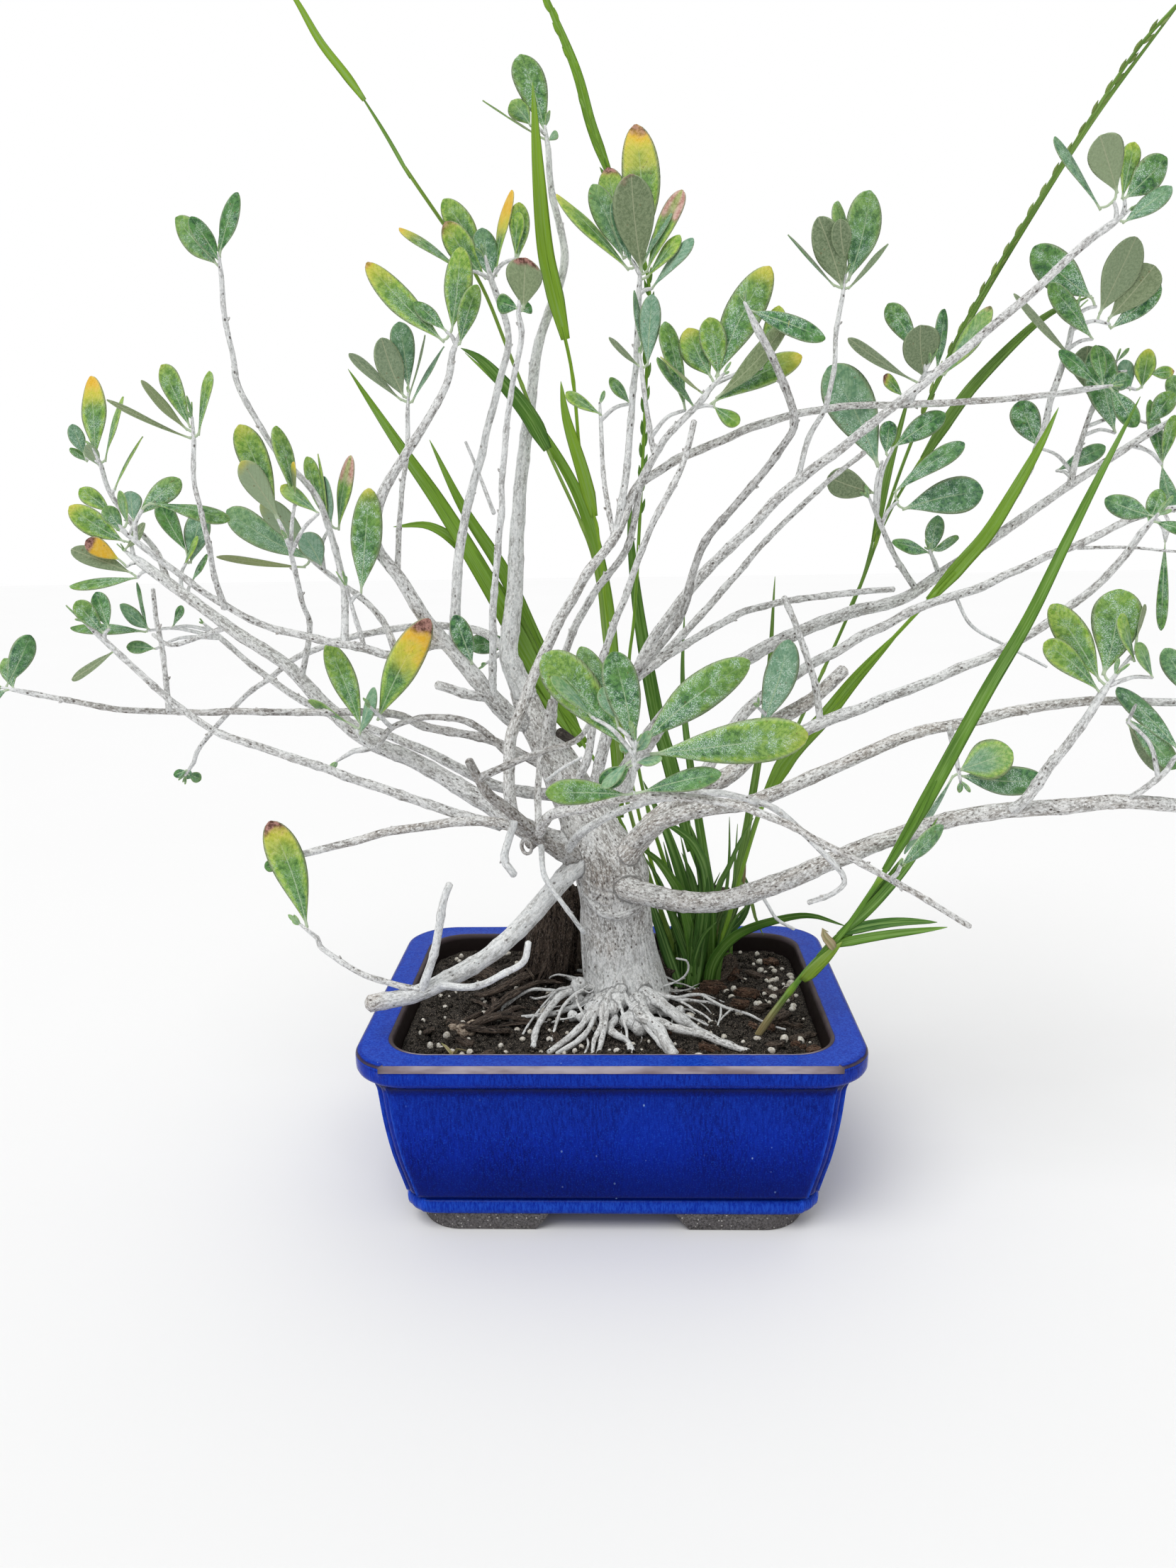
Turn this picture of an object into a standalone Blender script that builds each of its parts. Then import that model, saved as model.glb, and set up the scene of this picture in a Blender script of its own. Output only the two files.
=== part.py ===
"""A small olive tree grown as a bonsai in a blue glazed pot, with grass growing at its foot."""

import math

import bmesh
import bpy
import numpy as np

# Sizes are in millimetres, with x to the right, y away from the viewer and z up.
MM = 0.001
SEED = 11
GAP = 0.35

POT_LENGTH, POT_DEPTH, POT_HEIGHT, RIM_CORNER = 205.0, 162.0, 78.0, 25.0
RIM_FACE, RIM_WIDTH = 8.4, 13.5
FLOOR_UNDER, FLOOR_TOP = 8.0, 15.0
BAND_LENGTH, BAND_DEPTH, BAND_TOP = 169.5, 140.0, 13.6
PANEL_STEP = 1.8
FOOT_LENGTH, FOOT_DEPTH, FOOT_CORNER, FOOT_WIDTH = 158.0, 136.0, 17.0, 11.0
FRONT_FOOT_GAP, SIDE_FOOT_GAP = 52.0, 44.0
DRAIN_X, DRAIN_RADIUS = 36.0, 7.0
INNER_FLOOR_LENGTH, INNER_FLOOR_DEPTH, INNER_FLOOR_CORNER = 155.0, 124.0, 15.0

SOIL_EDGE, SOIL_MOUND, SOIL_BUMP = 69.4, 2.2, 0.5
TRUNK_X, TRUNK_Y, TRUNK_FOOT_RADIUS, TRUNK_FOOT_TOP = 6.0, 4.0, 19.6, 76.0
HOLE_BOTTOM, STEM_BOTTOM = 57.0, 57.4

LIMB_SPACING = 29.0
LEAF_THICKNESS, LEAF_NARROWEST, LEAF_SLENDERNESS, LEAF_WIDEST, SHORTEST_LEAF = 0.75, 4.0, 0.19, 14.0, 13.0
LEAF_STATIONS, LEAF_OUTLINE, STALK_WIDTH = (0.0, 0.3, 0.68, 1.0), (0.1, 0.56, 1.0, 0.34), 1.3
SPRAY_CORE_LENGTH, SPRAY_CORE_RADIUS = 9.0, 1.5
# A leaf leans at most this many degrees towards or away from the viewer, and is tried at these
# changes of lean until it is clear of the wood, of other sprays and of the leaves beside it.
LARGEST_LEAN, LEAN_SHIFTS = 62, (0, 10, -10, 20, -20, 30, -30, 42, -42, 55, -55, 68, -68)
CLEAR_OF_WOOD, CLEAR_OF_SPRAYS, CLEAR_OF_SISTERS, LARGEST_DEPTH = 2.6, 4.2, 3.2, 93.0
BLADE_THICKNESS, GRASS_SPACING = 0.7, 55.0

# The trunk: x, y, z and radius at each point.
TRUNK = [
    (6, 4, 72, 19.4), (5, 4, 84, 17.6), (3, 4, 101, 16.0), (2, 4, 116, 15.7), (-1, 5, 133, 16.0),
    (-8, 6, 149, 12.5), (-19, 10, 171, 9.4), (-30, 14, 191, 7.2), (-39, 17, 211, 5.4),
]

# Each limb: the radius where it grows out, the radius at its end, and its route.
LIMBS = {
    "collar_ridge": (1.9, 1.9, [(-11, -5, 124), (-6, -9, 118), (4, -11, 115), (13, -7, 118), (17, 0, 124)]),
    "front_low": (4.6, 3.4, [(-12, -2, 137), (-19, -8, 133), (-32, -18, 120), (-48, -30, 107),
                             (-63, -40, 100), (-79, -48, 95), (-97, -56, 94)]),
    "front_low_stub": (1.9, 1.5, [(-77, -48, 96), (-70, -50, 116), (-66, -52, 135), (-63, -52, 143)]),
    "front_low_peeled": (1.7, 1.3, [(-70, -46, 98), (-55, -51, 99), (-41, -54, 107), (-34, -56, 112),
                                    (-32, -56, 120)]),
    "front_low_twig": (1.5, 1.0, [(-78, -49, 97), (-92, -52, 102), (-103, -52, 107), (-117, -50, 116),
                                  (-118, -50, 120)]),
    "right_low": (5.4, 2.6, [(-3, -2, 129), (15, -14, 126), (42, -26, 126), (70, -33, 137), (111, -40, 157),
                             (145, -44, 168), (179, -45, 171), (201, -45, 173), (230, -44, 170)]),
    "right_low_fork": (2.4, 1.6, [(156, -44, 169), (161, -50, 175), (169, -53, 190), (179, -56, 207),
                                  (184, -57, 217)]),
    "right_low_spur": (1.5, 1.0, [(201, -45, 173), (212, -50, 184), (215, -52, 191)]),
    "right_main": (6.2, 2.6, [(-4, 1, 134), (6, -3, 140), (19, -6, 155), (32, -6, 166), (53, -3, 177),
                              (64, 1, 188), (71, 3, 197), (87, 4, 207), (100, 5, 219)]),
    "right_main_fork": (3.0, 1.4, [(64, 1, 188), (79, -4, 193), (89, -6, 198), (115, -10, 209),
                                   (132, -14, 217), (160, -18, 230), (187, -22, 250), (200, -24, 264),
                                   (207, -25, 275)]),
    "right_main_spur": (1.4, 1.0, [(71, 3, 197), (66, -5, 202)]),
    "right_second": (4.0, 1.6, [(10, -5, 146), (22, -14, 158), (38, -18, 164), (58, -22, 168),
                                (70, -24, 173), (89, -26, 182), (118, -28, 196), (141, -30, 202),
                                (181, -32, 210), (222, -34, 210)]),
    "right_second_spur": (1.4, 1.0, [(136, -30, 201), (139, -32, 187)]),
    "right_high": (5.0, 1.5, [(-6, 6, 142), (0, 12, 161), (13, 20, 181), (34, 28, 205), (63, 34, 222),
                              (98, 40, 237), (132, 44, 246), (150, 46, 257), (172, 50, 271),
                              (193, 54, 285), (219, 57, 302), (243, 60, 317), (253, 60, 322)]),
    "right_high_spur": (1.3, 1.0, [(149, 46, 256), (145, 41, 262)]),
    "right_high_shoot": (1.5, 1.0, [(139, 45, 249), (125, 38, 268), (117, 33, 283)]),
    "right_high_pale": (2.0, 1.2, [(166, 49, 267), (185, 46, 300), (192, 42, 331), (196, 40, 349),
                                   (197, 38, 358)]),
    "right_high_end": (1.6, 1.0, [(207, 55, 294), (213, 60, 316), (218, 62, 330), (223, 62, 340)]),
    "right_middle": (2.9, 1.4, [(36, -5, 167), (46, 0, 185), (60, 5, 203), (79, 8, 216), (94, 10, 225),
                                (132, 13, 244), (157, 15, 252), (182, 17, 263), (200, 18, 270),
                                (225, 20, 281), (248, 20, 285)]),
    "arch": (2.9, 1.2, [(-33, -8, 150), (-41, -15, 163), (-41, -15, 192), (-36, -13, 206), (-30, -11, 222),
                        (-21, -9, 240), (-9, -7, 260), (4, -3, 277), (13, 4, 296), (35, 14, 309),
                        (57, 22, 318), (79, 28, 325), (101, 32, 328), (131, 36, 329), (161, 38, 330),
                        (190, 38, 332), (206, 36, 334)]),
    "arch_fork": (1.9, 1.2, [(13, 3, 295), (23, -3, 313), (38, -6, 328), (41, -6, 332)]),
    "arch_fork_twig": (1.2, 0.9, [(20, -1, 307), (17, -3, 322), (15, -3, 338)]),
    "arch_riser": (1.7, 1.1, [(4, -3, 276), (8, 1, 300), (10, 3, 320), (12, 4, 337), (13, 4, 353),
                              (14, 4, 372)]),
    "arch_spur": (1.2, 0.9, [(3, -3, 276), (-1, 6, 298), (-2, 10, 321)]),
    "arch_knot": (1.5, 1.0, [(130, 36, 329), (133, 33, 337)]),
    "riser_right": (2.9, 1.5, [(-13, 8, 158), (-7, 4, 169), (-3, 2, 185), (2, 0, 201), (10, -2, 216),
                               (19, -4, 234), (35, -8, 256), (53, -10, 274), (77, -10, 297),
                               (94, -8, 309), (112, -4, 323), (136, 2, 341), (150, 6, 352),
                               (171, 10, 369), (190, 14, 386), (203, 18, 395)]),
    "riser_back": (2.0, 1.0, [(10, -2, 216), (19, 6, 223), (34, 12, 236), (56, 17, 260), (75, 21, 280),
                              (94, 25, 297), (110, 28, 309)]),
    "riser_dead": (1.9, 1.4, [(6, -1, 209), (12, -9, 221), (26, -15, 238), (32, -19, 251), (37, -22, 270),
                              (50, -25, 287), (67, -28, 308), (72, -28, 319), (65, -26, 339),
                              (57, -24, 354)]),
    "riser_low": (1.8, 1.3, [(9, -2, 215), (22, -2, 225), (33, 2, 231), (45, 8, 237), (60, 14, 244),
                             (78, 20, 247), (106, 26, 250), (125, 30, 251)]),
    "crossing_twig": (1.5, 1.2, [(89, -6, 198), (84, -9, 222), (72, -10, 251)]),
    "riser_tip": (1.2, 0.9, [(76, -10, 296), (81, -6, 313), (88, -2, 325), (91, 0, 341), (92, 2, 355),
                             (94, 2, 367)]),
    "thin_riser": (2.0, 1.2, [(-18, 9, 168), (-12, 3, 176), (-8, 2, 188), (-4, -1, 220), (7, -7, 251),
                              (16, -12, 275), (27, -14, 296), (32, -14, 308), (35, -14, 320)]),
    "back_riser": (1.9, 1.4, [(-26, 12, 186), (-23, 3, 208), (-18, 0, 229), (-7, 1, 251), (5, 2, 266),
                              (10, 2, 276), (14, 4, 296)]),
    "dark_front": (4.2, 1.7, [(-14, -2, 139), (-19, -8, 142), (-31, -20, 154), (-39, -30, 166),
                              (-47, -38, 175), (-51, -44, 184), (-54, -48, 192)]),
    "dark_front_twig": (1.7, 1.0, [(-51, -44, 184), (-34, -52, 193), (-15, -58, 200), (-9, -60, 204),
                                   (-5, -60, 211)]),
    "hanging_stub": (1.5, 1.6, [(-38, -29, 165), (-43, -33, 149), (-41, -34, 144), (-39, -34, 141)]),
    "peeled_twig": (1.3, 1.0, [(-29, -18, 152), (-27, -25, 138), (-19, -27, 125), (-11, -24, 112)]),
    "cut_twig": (1.5, 1.3, [(-30, -16, 155), (-30, -9, 172), (-28, -8, 191), (-24, -6, 209)]),
    "whip": (2.4, 1.0, [(-30, -20, 155), (-23, -36, 167), (-9, -54, 174), (3, -68, 181), (21, -76, 184),
                        (46, -80, 181), (63, -80, 175), (80, -80, 166), (98, -79, 156), (115, -78, 146),
                        (135, -76, 133)]),
    "whip_shoot": (1.4, 1.0, [(8, -71, 182), (10, -76, 192), (10, -78, 198)]),
    "whip_tip": (1.1, 0.9, [(105, -79, 152), (105, -84, 156)]),
    "whip_inner": (2.0, 1.0, [(-18, -10, 145), (-11, -26, 157), (3, -38, 168), (21, -50, 177),
                              (41, -56, 180), (61, -60, 176), (74, -62, 166), (90, -62, 149),
                              (87, -62, 142), (77, -62, 138)]),
    "left_front": (3.0, 1.4, [(-14, -1, 137), (-32, -10, 150), (-44, -14, 157), (-61, -18, 160),
                              (-77, -22, 159), (-94, -26, 157), (-112, -30, 153), (-128, -34, 150)]),
    "left_main": (5.0, 2.2, [(-12, 3, 141), (-36, 0, 151), (-56, 2, 164), (-81, 8, 178), (-112, 15, 192),
                             (-144, 24, 221), (-165, 30, 234), (-191, 36, 252), (-212, 40, 267)]),
    "left_back": (3.0, 1.3, [(-20, 12, 163), (-52, 18, 167), (-84, 28, 181), (-121, 40, 193),
                             (-144, 46, 202), (-166, 52, 216), (-185, 56, 232)]),
    "left_upper": (2.2, 1.2, [(-62, 0, 229), (-71, -4, 233), (-89, -8, 229), (-101, -10, 232),
                              (-126, -12, 238), (-145, -14, 244), (-159, -16, 253), (-173, -18, 264),
                              (-187, -20, 276)]),
    "left_rear": (2.0, 1.1, [(-42, 18, 223), (-54, 26, 234), (-76, 36, 237), (-99, 46, 235),
                             (-122, 54, 230), (-146, 60, 222), (-163, 66, 211), (-181, 70, 199),
                             (-204, 74, 176), (-209, 75, 167)]),
    "left_level": (2.2, 1.1, [(-31, 13, 178), (-52, 6, 190), (-79, 2, 197), (-92, 0, 203), (-123, -8, 205),
                              (-153, -16, 207), (-177, -20, 208), (-201, -24, 210), (-220, -26, 214),
                              (-238, -27, 218)]),
    "left_long": (2.4, 1.2, [(-46, -14, 157), (-65, -17, 163), (-77, -19, 168), (-98, -22, 177),
                             (-111, -24, 182), (-133, -28, 191), (-159, -32, 202), (-178, -34, 218),
                             (-200, -36, 241)]),
    "left_long_riser": (1.3, 0.9, [(-181, -21, 208), (-182, -20, 225), (-184, -18, 246), (-185, -16, 258)]),
    "left_main_spur": (1.3, 0.9, [(-172, 31, 238), (-191, 40, 232), (-203, 43, 229), (-211, 44, 234)]),
    "left_main_riser": (1.4, 1.0, [(-137, 22, 216), (-128, 8, 239), (-127, -4, 251), (-127, -16, 270)]),
    "left_main_top": (1.6, 1.0, [(-199, 38, 257), (-207, 45, 273), (-217, 44, 286), (-223, 40, 299),
                              (-224, 37, 309)]),
    "left_arched": (1.8, 1.1, [(-39, 9, 181), (-43, -2, 185), (-49, -4, 192), (-56, -5, 198),
                               (-66, -6, 202), (-78, -6, 202), (-92, -6, 198), (-99, -6, 190),
                               (-109, -6, 188)]),
    "left_arched_spur": (1.1, 0.9, [(-92, -6, 198), (-95, -11, 203)]),
    "left_riser": (4.6, 1.3, [(-34, 15, 196), (-42, 10, 199), (-49, 6, 207), (-56, 2, 217), (-64, -1, 228),
                              (-76, -4, 243), (-85, -8, 260), (-94, -10, 275), (-90, -12, 294),
                              (-73, -14, 318), (-62, -14, 335), (-59, -14, 347)]),
    "left_riser_stub": (2.2, 1.9, [(-51, 5, 209), (-61, -2, 212), (-72, -6, 216)]),
    "crown_left": (2.5, 1.2, [(-65, -1, 230), (-63, 3, 259), (-59, 6, 284), (-52, 8, 309), (-43, 9, 339),
                              (-39, 8, 357), (-45, 5, 377)]),
    "crown_front": (1.8, 1.0, [(-50, 4, 208), (-47, -6, 247), (-44, -8, 272), (-41, -10, 302),
                               (-37, -12, 331), (-32, -12, 352), (-33, -12, 361)]),
    "crown_top": (5.0, 1.2, [(-37, 16, 208), (-42, 18, 220), (-44, 20, 228), (-41, 26, 251),
                             (-39, 32, 287), (-33, 36, 331), (-29, 38, 355), (-23, 38, 372),
                             (-17, 38, 391), (-22, 38, 417), (-23, 38, 433)]),
    "crown_dark": (1.4, 1.0, [(-43, 21, 229), (-50, 28, 224)]),
    "left_tall": (1.7, 1.0, [(-109, -10, 234), (-110, -3, 259), (-117, -6, 292), (-132, -10, 312),
                             (-144, -12, 335), (-146, -12, 348), (-148, -12, 362), (-148, -12, 377)]),
    "left_tall_outer": (1.4, 0.9, [(-156, -16, 250), (-157, -22, 262), (-157, -26, 274), (-158, -28, 289),
                                   (-160, -28, 301), (-159, -27, 315)]),
    "left_upper_fork": (1.7, 1.1, [(-88, -8, 229), (-94, -2, 242), (-104, 4, 252), (-117, 8, 261),
                                   (-122, 8, 265)]),
    "left_upper_spur": (1.1, 0.9, [(-101, -10, 232), (-103, -13, 243), (-104, -15, 250)]),
    "left_inner": (1.3, 0.9, [(-86, -8, 263), (-86, -3, 273), (-85, -1, 288), (-81, -1, 309),
                              (-80, -1, 325)]),
}

# Leaves at the end of each limb named here: the angle from the limb's end to the leaf's tip as seen
# from the front (0 right, 90 up), the distance seen, and how far the blade is turned edge-on.
SPRAYS = {
    "crown_top": [(105, 33, 5), (145, 29, 60), (130, 18, 20), (60, 20, 30)],
    "arch_riser": [(91, 66, 10), (94, 38, 25), (135, 45, 10), (66, 36, 15), (35, 25, 35), (115, 39, 20)],
    "crown_left": [(155, 39, 15), (120, 32, 35), (128, 23, 20), (70, 31, 30), (84, 28, 60), (40, 15, 5)],
    "crown_front": [(95, 24, 10), (60, 17, 30), (140, 16, 30)],
    "left_riser": [(135, 42, 10), (85, 34, 30), (58, 21, 20), (110, 26, 60)],
    "left_inner": [(115, 26, 10), (90, 29, 25), (140, 28, 40), (68, 26, 20), (48, 24, 55)],
    "left_tall": [(130, 31, 10), (112, 22, 30), (98, 20, 50), (70, 29, 15)],
    "left_main_top": [(92, 34, 10), (65, 27, 35), (30, 21, 20), (145, 24, 15), (175, 24, 50)],
    "left_tall_outer": [(110, 27, 10), (132, 27, 40), (72, 25, 15), (152, 27, 50)],
    "left_main": [(85, 30, 30), (60, 22, 20), (135, 38, 10), (165, 44, 20), (200, 59, 30), (50, 40, 15)],
    "left_upper": [(55, 19, 30), (30, 28, 15), (105, 30, 20), (170, 26, 25)],
    "left_upper_fork": [(118, 62, 15), (135, 50, 10), (146, 44, 30), (100, 33, 20), (172, 42, 60)],
    "left_main_riser": [(92, 49, 10), (75, 38, 25), (58, 36, 15), (40, 45, 40)],
    "left_upper_spur": [(86, 43, 10)],
    "left_arched": [(100, 43, 15), (88, 38, 25), (72, 26, 50)],
    "left_arched_spur": [(60, 48, 10)],
    "whip_shoot": [(135, 49, 10), (100, 38, 20), (35, 53, 10), (5, 62, 15), (205, 36, 15), (-20, 27, 40),
                   (122, 28, 60), (72, 33, 50)],
    "dark_front_twig": [(140, 22, 15), (75, 16, 20), (98, 24, 60)],
    "riser_tip": [(110, 28, 10), (72, 37, 15), (94, 33, 60), (135, 30, 45), (45, 23, 60)],
    "riser_right": [(135, 38, 15), (105, 28, 20), (80, 27, 40), (45, 29, 20), (22, 27, 50)],
    "arch_knot": [(115, 33, 10), (95, 24, 20), (75, 28, 15), (48, 37, 30), (150, 37, 20), (172, 18, 40)],
    "right_high_pale": [(124, 42, 20), (70, 38, 15), (50, 33, 40), (38, 31, 20), (136, 28, 30),
                        (-78, 33, 10), (-116, 24, 15)],
    "right_high_end": [(112, 25, 45), (85, 30, 10), (66, 32, 20), (42, 30, 25), (-20, 24, 15)],
    "arch": [(130, 20, 30), (80, 18, 15), (10, 18, 20), (-40, 24, 15)],
    "right_low_fork": [(125, 38, 15), (142, 28, 10), (85, 37, 20), (72, 29, 50), (20, 26, 20)],
    "front_low_twig": [(112, 49, 20)],
    "right_high_shoot": [(115, 54, 10), (160, 24, 40), (5, 42, 20), (30, 39, 45), (192, 24, 30)],
    "right_high_spur": [(85, 20, 10), (155, 22, 30), (40, 14, 50)],
    "right_second_spur": [(25, 26, 20), (-5, 36, 15), (-125, 27, 60)],
    "whip_tip": [(45, 24, 30)],
    "arch_fork": [(60, 50, 5), (38, 39, 20), (20, 37, 15), (95, 27, 20), (118, 26, 15), (145, 24, 30),
                  (78, 34, 60)],
    "riser_dead": [(-8, 27, 20)],
    "arch_fork_twig": [(80, 30, 10), (135, 30, 30), (108, 25, 60)],
    "arch_spur": [(145, 19, 20), (60, 17, 30)],
    "right_high": [(35, 16, 15), (-30, 18, 20), (90, 20, 30)],
    "right_middle": [(25, 18, 20), (100, 24, 30), (-45, 18, 15)],
    "right_main_spur": [(70, 37, 15)],
    "right_main_fork": [(65, 18, 15), (5, 18, 30), (130, 17, 20)],
    "right_second": [(45, 17, 20), (-25, 17, 30), (100, 20, 15)],
    "right_low": [(35, 15, 20), (-20, 15, 30)],
    "right_low_spur": [(122, 30, 15), (85, 26, 10), (30, 22, 30)],
    "left_level": [(125, 15, 20), (190, 18, 15), (85, 22, 30)],
    "left_long": [(128, 19, 15), (188, 18, 30), (75, 20, 20)],
    "left_rear": [(-120, 20, 15), (-160, 18, 30), (-60, 16, 20)],
    "left_back": [(125, 20, 15), (188, 18, 25)],
    "left_front": [(150, 17, 20), (198, 18, 15)],
    "crown_dark": [(152, 17, 10)],
}

# Each grass node: stems as radius and route, and blades as width and route.
GRASS = {
    "grass_tall_left": {
        "stems": [(1.3, [(34, 26, 58), (34, 26, 70), (17, 30, 122), (6, 28, 164), (2, 26, 196),
                         (-2, 26, 232), (-7, 26, 269), (-25, 22, 312), (-40, 20, 351), (-53, 18, 382),
                         (-79, 14, 421)])],
        "blades": [(6.0, [(-74, 15, 413), (-84, 14, 430), (-94, 12, 447), (-119, 10, 480), (-124, 9, 489)])],
    },
    "grass_tall_middle": {
        "stems": [(1.3, [(40, 34, 58), (40, 34, 70), (22, 36, 114), (11, 36, 158), (3, 36, 205),
                         (-4, 34, 273), (-6, 34, 284), (-11, 32, 304), (-14, 30, 341), (-18, 29, 362)])],
        "blades": [(6.0, [(-6, 34, 284), (-11, 30, 304), (-17, 28, 325), (-19, 26, 340)]),
                   (7.4, [(-17, 29, 357), (-22, 28, 378), (-25, 27, 394), (-27, 26, 425), (-28, 25, 454)])],
    },
    "grass_tall_back": {
        "stems": [(1.3, [(46, 42, 58), (46, 42, 70), (29, 45, 111), (14, 46, 163), (9, 46, 213),
                         (12, 45, 246), (17, 42, 336), (18, 40, 384), (4, 36, 416), (-2, 36, 431)])],
        "blades": [(4.6, [(3, 36, 420), (-5, 35, 440), (-11, 34, 461), (-22, 32, 486), (-26, 31, 497)])],
    },
    "grass_left_tuft": {
        "stems": [(1.5, [(30, 33, 58), (30, 33, 70), (21, 34, 107), (3, 31, 150), (-5, 30, 172),
                         (-17, 30, 190)])],
        "blades": [(7.0, [(-12, 30, 183), (-28, 31, 206), (-39, 34, 231), (-49, 34, 250), (-63, 33, 270),
                          (-78, 32, 281), (-94, 30, 281)]),
                   (6.0, [(-26, 31, 203), (-42, 30, 234), (-53, 31, 255), (-72, 31, 288), (-91, 30, 317),
                          (-110, 30, 347)]),
                   (5.5, [(-14, 30, 186), (-34, 37, 230), (-47, 40, 260), (-64, 40, 288), (-78, 40, 318)]),
                   (5.0, [(4, 32, 148), (2, 40, 200), (-2, 44, 250), (-12, 47, 290), (-30, 49, 322),
                          (-46, 49, 340), (-62, 48, 355)])],
    },
    "grass_seed_stalk": {
        "stems": [(1.4, [(50, 31, 58), (50, 31, 70), (56, 46, 98), (75, 62, 152), (95, 72, 193),
                         (120, 80, 249), (140, 84, 309), (160, 86, 358), (180, 86, 395), (205, 86, 436),
                         (231, 84, 477), (248, 84, 496)]),
                  (1.2, [(128, 82, 274), (140, 84, 296), (154, 84, 318)]),
                  (1.1, [(116, 79, 240), (123, 86, 255), (131, 90, 288)])],
        "blades": [(3.2, [(150, 85, 335), (166, 86, 369), (192, 86, 414), (218, 85, 455), (254, 84, 503)]),
                   (6.0, [(148, 84, 308), (160, 83, 328), (173, 82, 345), (198, 80, 369), (219, 78, 378)]),
                   (4.0, [(127, 88, 270), (134, 91, 305), (139, 92, 325), (143, 92, 341)]),
                   (4.0, [(55, 43, 92), (65, 50, 142), (73, 52, 200), (76, 53, 256)])],
    },
    "grass_bright": {
        "stems": [(1.5, [(46, 20, 58), (46, 20, 70), (60, 25, 124), (72, 27, 163), (81, 28, 178),
                         (96, 28, 195), (110, 28, 213), (129, 28, 234), (151, 30, 258)])],
        "blades": [(8.0, [(70, 27, 158), (81, 28, 178), (96, 28, 195), (110, 28, 213), (129, 28, 234)]),
                   (6.5, [(140, 29, 246), (154, 30, 262), (166, 30, 277), (183, 30, 308), (191, 30, 326)])],
    },
    "grass_behind_trunk": {
        "stems": [(1.6, [(54, 44, 58), (54, 44, 70), (44, 50, 110), (33, 54, 140)])],
        "blades": [(7.5, [(38, 52, 126), (28, 54, 168), (22, 54, 190), (14, 54, 237), (10, 54, 277),
                          (11, 54, 297)]),
                   (4.5, [(52, 46, 80), (44, 56, 126), (36, 59, 180), (34, 59, 210), (35, 59, 241)])],
    },
    "grass_by_trunk": {
        "stems": [(1.6, [(38, 18, 58), (38, 18, 70), (38, 19, 84)])],
        "blades": [(5.0, [(38, 19, 74), (39, 20, 100), (42, 22, 119), (37, 24, 139)]),
                   (5.0, [(38, 18, 76), (31, 22, 95), (25, 22, 112), (22, 23, 122)]),
                   (3.2, [(38, 18, 74), (45, 17, 90), (52, 15, 98), (67, 10, 109), (87, 6, 114),
                          (108, 0, 107)]),
                   (6.0, [(38, 19, 76), (36, 25, 105), (27, 28, 138), (15, 34, 165)])],
    },
    "grass_right_shoot": {
        "stems": [(1.8, [(62, -34, 58), (62, -34, 70), (81, -40, 102), (94, -47, 121), (115, -55, 162),
                         (124, -58, 185)])],
        "blades": [(6.0, [(108, -52, 148), (120, -57, 175), (139, -62, 218), (152, -66, 246),
                          (162, -70, 273), (170, -72, 293), (182, -74, 321)]),
                   (4.0, [(90, -45, 114), (97, -47, 117), (110, -51, 121), (122, -55, 124),
                          (132, -57, 126)])],
    },
    "grass_sprout": {
        "stems": [(0.9, [(-64, -56, 58), (-64, -56, 70), (-64, -56, 73)])],
        "blades": [(2.4, [(-64, -56, 71), (-65, -56, 76), (-68, -56, 80)]),
                   (2.4, [(-64, -56, 71), (-63, -57, 75), (-60, -58, 78)])],
    },
}

# Roots that show on the soil: the way each runs from the trunk in degrees, its reach and its radius.
ROOTS = [(-158, 44, 2.2), (-141, 58, 1.7), (-126, 50, 2.0), (-108, 40, 1.6), (-92, 56, 1.8),
         (-74, 47, 1.6), (-52, 66, 2.6), (-34, 46, 1.8), (-16, 62, 1.9), (162, 42, 1.8), (128, 38, 2.0)]

GLAZE_BLUE = (0.008, 0.028, 0.33)
SOIL_BROWN = (0.045, 0.033, 0.026)
BARK_GREY = (0.36, 0.33, 0.29)
LEAF_GREENS = [(0.09, 0.17, 0.075), (0.13, 0.21, 0.09), (0.07, 0.14, 0.085), (0.17, 0.24, 0.07)]
GRASS_GREENS = [(0.10, 0.24, 0.03), (0.16, 0.33, 0.03), (0.08, 0.18, 0.04)]


def clear_scene():
    for obj in list(bpy.data.objects):
        bpy.data.objects.remove(obj, do_unlink=True)


def add_material(obj, colour, roughness):
    mat = bpy.data.materials.new(obj.name)
    mat.use_nodes = True
    shader = mat.node_tree.nodes["Principled BSDF"]
    shader.inputs["Base Color"].default_value = (*colour, 1.0)
    shader.inputs["Roughness"].default_value = roughness
    shader.inputs["Metallic"].default_value = 0.0
    mat.diffuse_color = (*colour, 1.0)
    obj.data.materials.clear()
    obj.data.materials.append(mat)


def add_object(name, bm):
    """Turns the mesh built in millimetres into an object in metres."""
    bmesh.ops.remove_doubles(bm, verts=bm.verts, dist=0.0001)
    bmesh.ops.recalc_face_normals(bm, faces=bm.faces)
    bmesh.ops.scale(bm, vec=(MM, MM, MM), verts=bm.verts)
    mesh = bpy.data.meshes.new(name)
    bm.to_mesh(mesh)
    bm.free()
    obj = bpy.data.objects.new(name, mesh)
    bpy.context.scene.collection.objects.link(obj)
    return obj


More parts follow.
